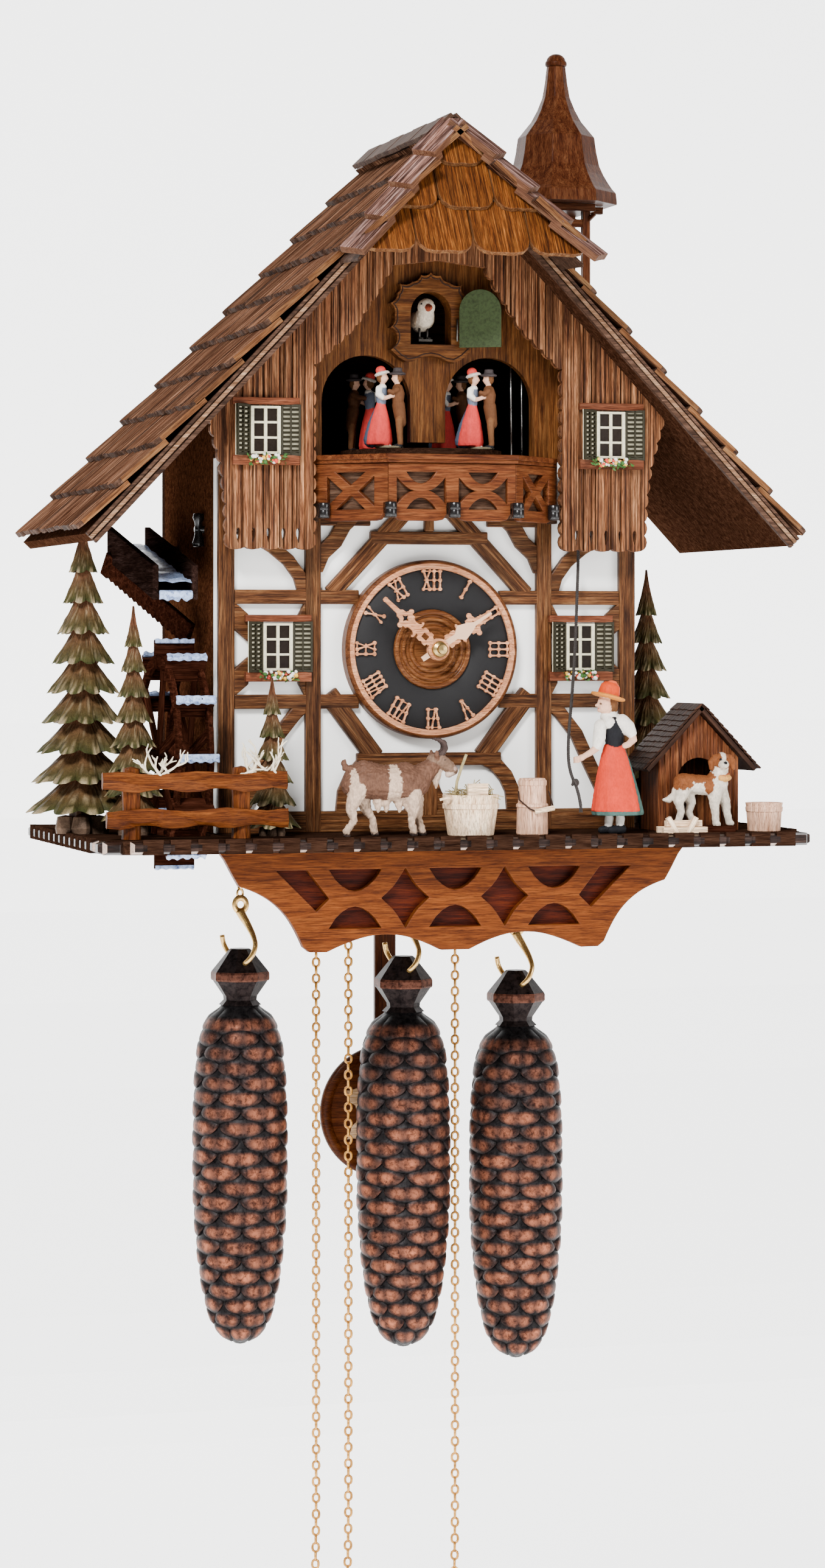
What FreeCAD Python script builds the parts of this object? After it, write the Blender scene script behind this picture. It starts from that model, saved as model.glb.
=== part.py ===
import FreeCAD, Part
import math
import os
from FreeCAD import Vector as V

# Musical chalet cuckoo clock. Millimetres, +Z up, the front looks towards -Y, the wall is the plane Y = 0.
# The origin is the centre of the hanger hole on the wall side of the back panel.

# ---- driving dimensions ----
DIAL_Z = -150.0            # height of the dial centre and the centre arbor
CASE_HALF = 107.0          # half width of the case
CASE_FRONT = -122.0        # front face of the white front wall
WALL = 8.0                 # side wall thickness
PANEL = 6.0                # front wall and back panel thickness
FRAME_T = 4.0              # timber frame thickness
BASE_TOP = -239.5          # top of the base board
BASE_T = 6.5
BASE_HALF = 175.0
BASE_FRONT = -187.0
RIDGE_Z = 105.0            # outer roof surface at the ridge
EAVE_X = 186.0
EAVE_Z = -92.0
ROOF_FRONT = -165.0
GABLE_FRONT = -143.0       # front of the grooved outer board under the roof
BOARD_T = 5.0              # roof board thickness
SHINGLE_T = 7.0            # shingle build-up at the butt end
ROWS = 10                  # shingle rows on each slope
HANGER_R = 5.0
STAGE_FLOOR = -57.0        # level where the front wall ends and the stage begins
ARCH_X, ARCH_R = 31.5, 22.5
ARCH_TOP = -5.6
CHAIN_R = 2.25
CHAIN_Y = -70.0
CHAIN_WHEEL_Z = -185.0
CHAIN_END_Z = -622.0       # where the straight free chain reaches its hank
ARBOR_R = 1.5
RUN = 0.05                 # radial running clearance
PLATE_FRONT, PLATE_BACK = -96.0, -58.0
PLATE_T = 2.0
SWING_Z = -95.0            # pendulum pivot and anchor arbor
PENDULUM_Y = -43.0
WHEEL_C = V(-123.5, -102.0, -201.3)
WHEEL_R = 57.0
TABLE_C = V(0, -110.0, -55.0)
TURRET_C = V(86.8, -60.0, 0)

# one entry per drive: weight chain X, free chain X, top of the weight's cap
DRIVES = {"left": (-82.6, -43.3, -299.6), "center": (2.3, -26.5, -305.1), "right": (62.0, 29.6, -313.6)}

X, Y, Z = V(1, 0, 0), V(0, 1, 0), V(0, 0, 1)
os.makedirs("parts", exist_ok=True)


# ---- helpers ----
def box(x0, x1, y0, y1, z0, z1):
    return Part.makeBox(x1 - x0, y1 - y0, z1 - z0, V(x0, y0, z0))


def rod(r, start, end):
    """Round bar between two points."""
    axis = end - start
    return Part.makeCylinder(r, axis.Length, start, axis)


def prism(points, direction):
    """Flat outline of points, extruded."""
    wire = Part.makePolygon(points + [points[0]])
    return Part.Face(wire).extrude(direction)


def front_plate(outline, y_front, thickness):
    """Outline of (x, z) pairs, standing parallel to the front, y_front nearest the viewer."""
    return prism([V(x, y_front, z) for x, z in outline], V(0, thickness, 0))


def side_plate(outline, x0, thickness):
    """Outline of (y, z) pairs, standing parallel to the side walls."""
    return prism([V(x0, y, z) for y, z in outline], V(thickness, 0, 0))


def turned(profile, base, axis):
    """Solid of revolution of (radius, height) pairs about an axis through base; it starts and ends on it."""
    wire = Part.makePolygon([V(r, 0, h) for r, h in profile + [profile[0]]])
    solid = Part.Face(wire).revolve(V(0, 0, 0), Z, 360)
    solid.Placement = FreeCAD.Placement(base, FreeCAD.Rotation(Z, axis))
    return solid


def ring(r_in, r_out, y0, y1, x, z):
    """Flat ring on an axis along Y."""
    return rod(r_out, V(x, y0, z), V(x, y1, z)).cut(rod(r_in, V(x, y0 - 1, z), V(x, y1 + 1, z)))


def arch(x_mid, half, z0, z_top, y0, y1):
    """Arched prism used to cut a doorway."""
    body = box(x_mid - half, x_mid + half, y0, y1, z0, z_top - half)
    return body.fuse(rod(half, V(x_mid, y0, z_top - half), V(x_mid, y1, z_top - half)))


def mirror_x(shape):
    return shape.mirror(V(0, 0, 0), X)


def join(*shapes):
    solid = shapes[0]
    for other in shapes[1:]:
        solid = solid.fuse(other)
    return solid.removeSplitter()


def save(name, *solids):
    """One STEP file per node; separate pieces of a node stay separate solids."""
    shape = solids[0] if len(solids) == 1 else Part.makeCompound(list(solids))
    if not shape.isValid():
        print("INVALID", name)
    shape.exportStep("parts/%s.step" % name)


def soffit(x, gap=0.0):
    """Height of the roof's underside at x, less a gap."""
    slope = (RIDGE_Z - EAVE_Z) / EAVE_X
    drop = (BOARD_T + SHINGLE_T) / math.cos(math.atan(slope))
    return RIDGE_Z - slope * abs(x) - drop - gap


def toothed(teeth, pitch_r, y0, thick, x, z, bore_r, first_deg=0.0):
    """Flat gear on an axis along Y, one tooth centred on first_deg (from +X towards +Z)."""
    module = 2 * pitch_r / teeth
    step = 2 * math.pi / teeth
    points = []
    for i in range(teeth):
        mid = math.radians(first_deg) + i * step
        for offset, r in ((-0.24, pitch_r - module), (-0.09, pitch_r + 0.75 * module),
                          (0.09, pitch_r + 0.75 * module), (0.24, pitch_r - module)):
            points.append(V(x + r * math.cos(mid + offset * step), y0, z + r * math.sin(mid + offset * step)))
    gear = prism(points, V(0, thick, 0))
    return gear.cut(rod(bore_r, V(x, y0 - 1, z), V(x, y0 + thick + 1, z))) if bore_r else gear


# ---- case ----
def case_walls():
    left = front_plate([(-CASE_HALF, BASE_TOP), (-CASE_HALF + WALL, BASE_TOP),
                        (-CASE_HALF + WALL, soffit(CASE_HALF - WALL, 0.3)), (-CASE_HALF, soffit(CASE_HALF, 0.3))],
                       CASE_FRONT + PANEL, -CASE_FRONT - 2 * PANEL)
    axle = rod(2.5 + RUN, V(-120, WHEEL_C.y, WHEEL_C.z), V(-90, WHEEL_C.y, WHEEL_C.z))
    lever = rod(2.0 + RUN, V(-120, -94.5, -91), V(-90, -94.5, -91))
    shelf = box(-CASE_HALF + WALL, CASE_HALF - WALL, CASE_FRONT + PANEL, -PANEL, -63.0, -59.0)
    shelf = shelf.cut(rod(2.0 + RUN, V(0, TABLE_C.y, -70), V(0, TABLE_C.y, -50)))
    save("case_walls", left.cut(axle).cut(lever), mirror_x(left), shelf)


def back_panel():
    h = CASE_HALF
    outline = [(-h, BASE_TOP), (h, BASE_TOP), (h, soffit(h, 0.3)), (0, soffit(0, 0.3)), (-h, soffit(h, 0.3))]
    save("back_panel", front_plate(outline, -PANEL, PANEL).cut(rod(HANGER_R, V(0, -PANEL - 1, 0), V(0, 1, 0))))


def front_wall():
    wall = box(-CASE_HALF, CASE_HALF, CASE_FRONT, CASE_FRONT + PANEL, BASE_TOP, STAGE_FLOOR)
    save("front_wall", wall.cut(rod(6.0, V(0, CASE_FRONT - 1, DIAL_Z), V(0, CASE_FRONT + PANEL + 1, DIAL_Z))))


def strip(x0, z0, x1, z1, width):
    """One timber of the frame, from point to point along its middle line."""
    along = V(x1 - x0, 0, z1 - z0)
    side = V(-along.z, 0, along.x).multiply(width / 2 / along.Length)
    a, b = V(x0, CASE_FRONT - FRAME_T, z0), V(x1, CASE_FRONT - FRAME_T, z1)
    return prism([a + side, b + side, b - side, a - side], V(0, FRAME_T, 0))


def timber_frame():
    top, w = -61.0, 8.2
    posts = [strip(x, BASE_TOP, x, top, w) for x in (-102.5, -56.0, 56.0, 102.5)]
    beams = [strip(-103, z, 103, z, w) for z in (top - w / 2, -124.0, -176.5, BASE_TOP + w / 2)]
    octagon = [strip(-24, -95, 24, -95, w), strip(-24, -205, 24, -205, w)]
    for side in (-1, 1):
        octagon += [strip(side * 24, -95, side * 56, -124, w), strip(side * 24, -205, side * 56, -176.5, w),
                    strip(side * 60, -72, side * 84, -96, 6.5), strip(side * 60, -228, side * 84, -204, 6.5)]
    frame = join(*(posts + beams + octagon))
    frame = frame.cut(rod(44.3, V(0, -130, DIAL_Z), V(0, -120, DIAL_Z)))
    save("timber_frame", frame)


def gable_board():
    """Grooved outer board: two legs beside the stage joined above it."""
    leg_in, leg_out, foot = 63.5, 106.0, -100.5
    right = [(leg_in, foot), (leg_out, foot), (106, -80), (109, -60), (116, soffit(116, 0.5)),
             (34, soffit(34, 0.5)), (0, soffit(34, 0.5)), (0, 40), (24, 37), (31, 25), (43, 7), (leg_in, -12)]
    half = front_plate(right, GABLE_FRONT, 14.0)
    for i in range(5):
        x = 70.9 + 7.5 * i
        half = half.cut(rod(1.6, V(x, -145, -95), V(x, -125, -95)))
    save("gable_board", join(half, mirror_x(half)))


def stage_front():
    top_x, top_z = 26.0, 58.0
    h = CASE_HALF - 0.2
    panel = front_plate([(-h, STAGE_FLOOR), (h, STAGE_FLOOR), (h, soffit(h, 0.5)), (top_x, top_z),
                         (-top_x, top_z), (-h, soffit(h, 0.5))], CASE_FRONT, 5.0)
    for side in (-1, 1):
        panel = panel.cut(arch(side * ARCH_X, ARCH_R, STAGE_FLOOR - 1, ARCH_TOP, -130, -110))
    panel = panel.cut(box(-43, 43, -130, -110, STAGE_FLOOR - 1, -48.0))
    plaque = front_plate([(-20, -2), (-17, 9), (-20, 16), (-15, 27), (-7, 31), (0, 33), (7, 31), (15, 27),
                          (20, 16), (17, 9), (20, -2), (12, -9), (0, -6), (-12, -9)], -128.0, 6.0)
    hole = arch(0, 10.4, -0.1, 25.9, -140, -100)
    save("stage_front", panel.cut(hole), plaque.cut(hole))


def base_board():
    """Base with its notched edging, chain holes, pendulum slot and water wheel slot."""
    low = BASE_TOP - BASE_T
    board = box(-BASE_HALF, BASE_HALF, BASE_FRONT, 0, low, BASE_TOP)
    corners = [e for e in board.Edges if abs(e.Vertexes[0].X) > 170 and e.Vertexes[0].Y < -100
               and abs(e.Vertexes[0].X - e.Vertexes[1].X) < 0.1 and abs(e.Vertexes[0].Y - e.Vertexes[1].Y) < 0.1]
    board = board.makeFillet(14.0, corners)
    board = board.cut(box(-136.5, -110.5, -147, -57, low - 1, BASE_TOP + 1))
    board = board.cut(box(-20, 20, -49, -37, low - 1, BASE_TOP + 1))
    for x_weight, x_free, cap_top in DRIVES.values():
        for x in (x_weight, x_free):
            board = board.cut(rod(4.0, V(x, CHAIN_Y, low - 1), V(x, CHAIN_Y, BASE_TOP + 1)))
    pitch, tooth = 13.15, 9.8
    count = 24
    edging = [box(-pitch * count / 2 + pitch * i, -pitch * count / 2 + pitch * i + tooth,
                  BASE_FRONT - 3, BASE_FRONT, low, BASE_TOP + 0.6) for i in range(count + 1)]
    for side in (-1, 1):
        for i in range(12):
            y = -165.0 + pitch * i
            x = side * BASE_HALF
            edging.append(box(min(x, x + 3 * side), max(x, x + 3 * side), y, y + tooth, low, BASE_TOP + 0.6))
    save("base_board", join(board, *edging))


def skirt_outline(inset=0.0):
    right = [(117 - inset, -246), (109 - inset, -256), (97 - inset, -267), (90 - inset, -271),
             (80 - inset, -281), (71 - inset, -294.6 + inset), (63 - inset, -294.6 + inset),
             (50, -289 + inset), (35, -287 + inset), (20, -289 + inset), (6, -294.6 + inset)]
    return right + [(-x, z) for x, z in reversed(right)]


def lens(x_mid, z_flat, rise, half):
    """Half-lens cut-out: straight on one side, bowed on the other."""
    return front_plate([(x_mid - half, z_flat), (x_mid - half * 0.4, z_flat + rise * 0.85), (x_mid, z_flat + rise),
                        (x_mid + half * 0.4, z_flat + rise * 0.85), (x_mid + half, z_flat)], -175.0, 20.0)


def skirt():
    board = front_plate(skirt_outline(), -170.0, 5.0)
    for x_mid in (-50, 0, 50):
        board = board.cut(lens(x_mid, -255.5, -10, 13)).cut(lens(x_mid, -282.5, 10, 13))
    for x_mid in (-25, 25):
        board = board.cut(front_plate([(x_mid - 12, -269), (x_mid, -254.5), (x_mid + 12, -269),
                                       (x_mid, -283.5)], -175.0, 20.0))
    for side in (-1, 1):
        bar = [(84, -255.5), (97, -255.5), (79, -270), (73, -275), (68, -269.5)]
        board = board.cut(front_plate([(side * x, z) for x, z in bar], -175.0, 20.0))
    save("skirt_board", board)
    save("skirt_backing", front_plate(skirt_outline(3.0), -165.0, 3.0))


# ---- roof ----
def slope_point(s, n, side, y):
    """Point on a roof slope: s down from the ridge, n out from the top of the boards."""
    length = math.hypot(EAVE_X, RIDGE_Z - EAVE_Z)
    ux, uz = EAVE_X / length, (RIDGE_Z - EAVE_Z) / length
    return V(side * (s * ux + (n - SHINGLE_T) * uz), y, RIDGE_Z - s * uz + (n - SHINGLE_T) * ux)


def roof():
    length = math.hypot(EAVE_X, RIDGE_Z - EAVE_Z)
    start = SHINGLE_T * (RIDGE_Z - EAVE_Z) / EAVE_X
    lower_start = (SHINGLE_T + BOARD_T) * (RIDGE_Z - EAVE_Z) / EAVE_X
    boards, shingles = [], []
    for side in (-1, 1):
        outline = [slope_point(start, 0, side, 0), slope_point(length - 2, 0, side, 0),
                   slope_point(length - 2, -BOARD_T, side, 0), slope_point(lower_start, -BOARD_T, side, 0)]
        boards.append(prism(outline, V(0, ROOF_FRONT + 3, 0)))
        row = (length - start) / ROWS
        saw = [slope_point(start, 0, side, 0)]
        for i in range(ROWS):
            saw.append(slope_point(start + row * i, 2.2 if i else 0.5, side, 0))
            saw.append(slope_point(start + row * (i + 1), SHINGLE_T, side, 0))
        saw.append(slope_point(length, 0, side, 0))
        shingles.append(prism(saw[1:], V(0, ROOF_FRONT, 0)))
    save("roof_boards", *boards)
    hip_face = [V(0, -168, RIDGE_Z), V(57, -203, 38), V(-57, -203, 38)]
    hip = prism(hip_face, V(0, 5.3, -2.7)).common(box(-80, 80, -220, ROOF_FRONT - 0.5, 0, 130))
    caps = []
    for side in (-1, 1):
        cap = [V(0, -168.4, RIDGE_Z + 0.2), V(side * 60, -204, 37), V(side * 66, -200, 34), V(side * 8, -165.4, 102)]
        top = V(0, -1.6, 3.6)
        face = Part.Face(Part.makePolygon([cap[0], cap[1], cap[2], cap[0]]))
        caps.append(face.extrude(top))
    save("roof_shingles", shingles[0], shingles[1], join(hip, *caps))


# ---- turret ----
def octagon(center, half, z):
    r = half / math.cos(math.pi / 8)
    pts = [V(center.x + r * math.cos(math.pi / 8 + i * math.pi / 4),
             center.y + r * math.sin(math.pi / 8 + i * math.pi / 4), z) for i in range(8)]
    return Part.makePolygon(pts + [pts[0]])


def turret():
    levels = [(29.1, 78.0), (28.6, 84.0), (25.0, 89.0), (20.7, 98.0), (18.3, 112.7), (12.0, 121.0), (6.6, 133.5),
              (4.5, 149.4)]
    roof_solid = Part.makeLoft([octagon(TURRET_C, half, z) for half, z in levels], True, True)
    inner = Part.makeLoft([octagon(TURRET_C, half, z) for half, z in ((25.5, 77.9), (22.0, 84.0), (14.0, 98.0))],
                          True, True)
    knob = turned([(0, 0), (5.5, 0), (5.5, 2.2), (4.2, 5.0), (2.0, 6.4), (0, 6.6)],
                  V(TURRET_C.x, TURRET_C.y, 149.4), Z)
    roof_solid = roof_solid.cut(inner)
    roof_solid = join(roof_solid, knob)
    pieces = [roof_solid]
    ceiling = box(TURRET_C.x - 16, TURRET_C.x + 16, TURRET_C.y - 16, TURRET_C.y + 16, 74.0, 77.9)
    slope_cut = prism([slope_point(0, SHINGLE_T + 0.3, 1, -200), slope_point(260, SHINGLE_T + 0.3, 1, -200),
                       V(200, -200, -200), V(0, -200, -200)], V(0, 200, 0))
    frame = [ceiling]
    for dx in (-12, 12):
        for dy in (-12, 12):
            px, py = TURRET_C.x + dx, TURRET_C.y + dy
            frame.append(box(px - 2, px + 2, py - 2, py + 2, -20, 74.5))
    frame.append(rod(1.2, V(TURRET_C.x, TURRET_C.y - 12, 68), V(TURRET_C.x, TURRET_C.y + 12, 68)))
    brace = box(TURRET_C.x - 25, TURRET_C.x + 25, TURRET_C.y - 1.5, TURRET_C.y + 1.5, 74.0, 77.9)
    frame.append(brace)
    for dy in (-12, 12):
        py = TURRET_C.y + dy
        frame.append(box(TURRET_C.x - 12, TURRET_C.x + 12, py - 1.5, py + 1.5, 66, 70))
    pieces.append(join(*frame).cut(slope_cut))
    save("turret", *pieces)
    bell = turned([(1.2 + RUN, -2.4), (2.6, -2.4), (3.0, -6), (5.0, -9), (6.4, -16), (8.6, -20), (7.8, -20),
                   (5.4, -16), (4.0, -10), (1.2 + RUN, -8.0)], V(TURRET_C.x, TURRET_C.y, 68), Z)
    eye = ring(1.2 + RUN, 3.0, TURRET_C.y - 2.5, TURRET_C.y + 2.5, TURRET_C.x, 68)
    clapper = rod(0.8, V(TURRET_C.x, TURRET_C.y, 66), V(TURRET_C.x, TURRET_C.y, 52))
    plug = rod(3.0, V(TURRET_C.x, TURRET_C.y, 58.5), V(TURRET_C.x, TURRET_C.y, 65.9))
    bulb = Part.makeSphere(2.2, V(TURRET_C.x, TURRET_C.y, 51.5))
    hollow = rod(1.2 + RUN, V(TURRET_C.x, TURRET_C.y - 9, 68), V(TURRET_C.x, TURRET_C.y + 9, 68))
    save("turret_bell", join(eye, plug, bell, clapper, bulb).cut(hollow))


# ---- front furniture ----
def balcony():
    z0, z1 = -88.0, -60.0
    rails = []
    lattice = box(-32, 32, -165, -161, z0, z1)
    for x_mid in (-16, 16):
        for dz, rise in ((z1 - 5, -6), (z0 + 9, 6)):
            cut = front_plate([(x_mid - 9, dz), (x_mid, dz + rise), (x_mid + 9, dz)], -170, 12)
            lattice = lattice.cut(cut)
        for side in (-1, 1):
            cut = front_plate([(x_mid + side * 12, z0 + 9), (x_mid + side * 12, z1 - 7), (x_mid + side * 4, -73)],
                              -170, 12)
            lattice = lattice.cut(cut)
    rails.append(lattice)
    for side in (-1, 1):
        plan = [(32, -165), (62, -136), (59, -133.2), (32, -159.4)]
        panel = prism([V(side * x, y, z0) for x, y in plan], V(0, 0, z1 - z0))
        rails.append(panel.cut(box(-32, 32, -200, -100, -200, 0)))
    cap = [(-62.5, -136), (-32.5, -167), (32.5, -167), (62.5, -136), (58.5, -132.5), (31, -159), (-31, -159),
           (-58.5, -132.5)]
    top_rail = prism([V(x, y, z1) for x, y in cap], V(0, 0, 4.4))
    plan = [(-56, -122), (-56, -136.5), (-30.5, -160.8), (30.5, -160.8), (56, -136.5), (56, -122)]
    floor = prism([V(x, y, -60.5) for x, y in plan], V(0, 0, 3.3))
    solid = join(top_rail, *rails)
    solid = join(solid.cut(box(-31, 31, -160.9, -158, -56.5, -50)), floor)
    pegs = [turned([(0, 0), (2.6, 0), (3.4, 2), (3.4, 5), (2.4, 7), (0, 7)], V(x, -162.5 - 6.4, -86.5), Z)
            for x in (-32, 0, 32)]
    pegs += [turned([(0, 0), (2.6, 0), (3.4, 2), (3.4, 5), (2.4, 7), (0, 7)], V(s * 58.5, -143.5, -86.5), Z)
             for s in (-1, 1)]
    save("balcony", solid, *pegs)


def window(x, z, y_back):
    """Window on a front surface: lintel, frame with bars, two open shutters, sill with a flower box."""
    pieces = []
    lintel = box(x - 16.5, x + 16.5, y_back - 3, y_back, z + 12, z + 16)
    sill = box(x - 16.5, x + 16.5, y_back - 4, y_back, z - 17, z - 12)
    frame = box(x - 7.4, x + 7.4, y_back - 2, y_back, z - 11.6, z + 11.6)
    for ix in (-1, 1):
        for iz in (-1, 0, 1):
            cx, cz = x + ix * 3.3, z + iz * 7.4
            frame = frame.cut(box(cx - 2.6, cx + 2.6, y_back - 3, y_back - 1, cz - 3.1, cz + 3.1))
    pieces += [lintel, sill, frame]
    for side in (-1, 1):
        a, b = x + side * 7.6, x + side * 16.5
        pieces.append(box(min(a, b), max(a, b), y_back - 2.2, y_back - 0.6, z - 11.6, z + 11.6))
        pieces.append(box(min(a, b), max(a, b), y_back - 0.6, y_back, z - 1.5, z + 1.5))
    flowers = box(x - 8, x + 8, y_back - 6.5, y_back - 4.0, z - 16, z - 11.8)
    pieces.append(flowers)
    return pieces


def windows():
    pieces = []
    for side in (-1, 1):
        pieces += window(side * 77.5, -148.8, CASE_FRONT - FRAME_T)
        pieces += window(side * 87.8, -44.2, GABLE_FRONT)
    save("windows", *pieces)


def dial():
    """Turned dial: raised rim, flat numeral ring, stepped centre, with twelve applied numeral blocks."""
    profile = [(3.2, 0), (44, 0), (44, 8), (42.5, 9.5), (40, 9.3), (39.6, 7.6), (18.4, 7.6), (18.0, 9.0), (15, 9.0),
               (14.6, 6.5), (11, 6.5), (10.6, 8.0), (8, 8.0), (7.6, 6.5), (3.2, 6.5)]
    body = turned(profile, V(0, CASE_FRONT, DIAL_Z), V(0, -1, 0))
    pieces = [body]
    for hour in range(12):
        numeral = box(-2.6, 2.6, CASE_FRONT - 9.2, CASE_FRONT - 7.6, DIAL_Z + 28.5, DIAL_Z + 38.5)
        numeral.rotate(V(0, 0, DIAL_Z), Y, 30 * hour)
        pieces.append(numeral)
    save("dial", *pieces)


def hand(length, width, y0, angle, hub_r, bore_r):
    """Carved hand, tip up, then turned clockwise by angle as seen from the front."""
    outline = [(-1.2, -9), (1.2, -9), (1.5, 0), (1.4, length * 0.35), (width, length * 0.45),
               (width * 0.6, length * 0.6), (1.0, length * 0.7), (0.5, length), (-0.5, length),
               (-1.0, length * 0.7), (-width * 0.6, length * 0.6), (-width, length * 0.45),
               (-1.4, length * 0.35), (-1.5, 0)]
    blade = front_plate([(x, DIAL_Z + z) for x, z in outline], y0, 1.2)
    hub = rod(hub_r, V(0, y0, DIAL_Z), V(0, y0 + 1.2, DIAL_Z))
    solid = join(blade, hub).cut(rod(bore_r, V(0, y0 - 1, DIAL_Z), V(0, y0 + 3, DIAL_Z)))
    solid.rotate(V(0, 0, DIAL_Z), Y, angle)
    return solid


MINUTE_DEG, HOUR_DEG = 312.0, 57.0


def hands():
    save("minute_hand", hand(37.5, 3.6, -142.0, MINUTE_DEG, 3.6, ARBOR_R))
    pipe = ring(ARBOR_R + RUN, 2.6, -139.2, -106.0, 0, DIAL_Z)
    hour_blade = hand(33.0, 4.2, -139.2, HOUR_DEG, 4.0, 2.0)
    wheel = toothed(48, 12.8, -108.0, 2.0, 0, DIAL_Z, 2.0, 0.0)
    save("hour_hand", join(pipe, hour_blade, wheel).cut(rod(ARBOR_R + RUN, V(0, -150, DIAL_Z), V(0, -100, DIAL_Z))))


# ---- movement ----
THIRD = V(12.0, 0, -130.8)
ESCAPE = V(0, 0, -114.3)
MOTION_X = 16.0


def drive_wheel(side):
    """Chain wheel with its great wheel on one arbor."""
    x_weight, x_free, cap_top = DRIVES[side]
    x, pitch_r = (x_weight + x_free) / 2, abs(x_weight - x_free) / 2
    sprocket_r = pitch_r - CHAIN_R - 0.6
    arbor = rod(ARBOR_R, V(x, PLATE_FRONT, CHAIN_WHEEL_Z), V(x, PLATE_BACK + PLATE_T, CHAIN_WHEEL_Z))
    sprocket = rod(sprocket_r, V(x, CHAIN_Y - 2.5, CHAIN_WHEEL_Z), V(x, CHAIN_Y + 2.5, CHAIN_WHEEL_Z))
    great_y, great_r, teeth = (-92.0, 32.2, 72) if side == "center" else (-82.0, 21.0, 48)
    great = toothed(teeth, great_r, great_y, 1.8, x, CHAIN_WHEEL_Z, 0)
    save("chain_wheel_" + side, join(arbor, sprocket, great))


def movement():
    plates = []
    for y in (PLATE_FRONT, PLATE_BACK):
        plate = box(-70, 62, y, y + PLATE_T, -215, -78)
        centers = [(0, DIAL_Z), (THIRD.x, THIRD.z), (ESCAPE.x, ESCAPE.z), (0, SWING_Z)]
        centers += [((w + f) / 2, CHAIN_WHEEL_Z) for w, f, c in DRIVES.values()]
        for x, z in centers:
            plate = plate.cut(rod(ARBOR_R + RUN, V(x, y - 1, z), V(x, y + PLATE_T + 1, z)))
        plates.append(plate)
    pillars = [rod(2.5, V(x, PLATE_FRONT + PLATE_T, z), V(x, PLATE_BACK, z))
               for x in (-65, 57) for z in (-210, -84)]
    stud = rod(ARBOR_R, V(MOTION_X, -109.0, DIAL_Z), V(MOTION_X, PLATE_FRONT, DIAL_Z))
    arm = box(-3, 3, PLATE_BACK + PLATE_T, -38, -86, -83)
    drop = box(-3, 3, -40, -38, -98, -86)
    pin = rod(1.1, V(0, -47, SWING_Z), V(0, -40, SWING_Z))
    feet = [box(x - 4, x + 4, PLATE_BACK + PLATE_T, -PANEL, -214, -206) for x in (-65, 57)]
    save("movement_plates", *plates, *pillars, stud, join(arm, drop, pin), *feet)


def going_train():
    rear = PLATE_BACK + PLATE_T
    arbor = rod(ARBOR_R, V(0, -146.0, DIAL_Z), V(0, rear, DIAL_Z))
    center_wheel = toothed(60, 20.0, -88.0, 1.5, 0, DIAL_Z, 0, 58.0)
    drive_pinion = rod(3.0, V(0, -92.0, DIAL_Z), V(0, -90.2, DIAL_Z))
    cannon = toothed(16, 4.0, -104.0, 2.0, 0, DIAL_Z, 0, 0.0)
    nut = turned([(0, 0), (3.4, 0), (3.4, 1.8), (2.2, 2.6), (2.2, 5.5), (0, 5.8)], V(0, -143.4, DIAL_Z), V(0, -1, 0))
    save("center_arbor", join(arbor, center_wheel, drive_pinion, cannon, nut))
    bore = ARBOR_R + RUN
    wheel = toothed(48, 12.0, -104.0, 2.0, MOTION_X, DIAL_Z, bore, 180.0 + 3.75)
    pinion = toothed(12, 3.2, -108.0, 2.0, MOTION_X, DIAL_Z, bore, 180.0 + 15.0)
    spacer = ring(bore, 2.3, -106.0, -104.0, MOTION_X, DIAL_Z)
    save("minute_wheel", join(wheel, pinion, spacer))
    angle = math.degrees(math.atan2(THIRD.z - DIAL_Z, THIRD.x))
    third_pinion = toothed(8, 2.67, -88.0, 1.5, THIRD.x, THIRD.z, 0, angle + 180 + 22.5)
    third_wheel = toothed(60, 18.0, -66.0, 1.5, THIRD.x, THIRD.z, 0, 0.0)
    save("third_wheel", join(rod(1.5, V(THIRD.x, PLATE_FRONT, THIRD.z), V(THIRD.x, rear, THIRD.z)),
                             third_pinion, third_wheel))
    pinion = rod(1.9, V(0, -66.0, ESCAPE.z), V(0, -64.5, ESCAPE.z))
    wheel = toothed(30, 11.0, -62.0, 1.2, 0, ESCAPE.z, 0)
    save("escape_wheel", join(rod(1.5, V(0, PLATE_FRONT, ESCAPE.z), V(0, rear, ESCAPE.z)), pinion, wheel))


def anchor():
    y0, y1 = -62.0, -60.8
    bow = ring(13.8, 16.4, y0, y1, 0, ESCAPE.z).common(box(-13, 13, -70, -50, ESCAPE.z + 5, ESCAPE.z + 30))
    stem = box(-1.6, 1.6, y0, y1, ESCAPE.z + 15, SWING_Z)
    arbor = rod(ARBOR_R, V(0, PLATE_FRONT, SWING_Z), V(0, -49.5, SWING_Z))
    hub = rod(2.6, V(0, -51.0, SWING_Z), V(0, -49.5, SWING_Z))
    wire = rod(0.7, V(0, -50.2, SWING_Z), V(0, -50.2, -124))
    bridge = box(-2.6, 2.6, -50.9, -49.5, -126, -124)
    prongs = [box(s * 1.9 - 0.6, s * 1.9 + 0.6, -50.9, PENDULUM_Y + 1, -126, -124) for s in (-1, 1)]
    save("anchor", join(bow, stem, arbor, hub, wire, bridge, *prongs))


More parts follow.
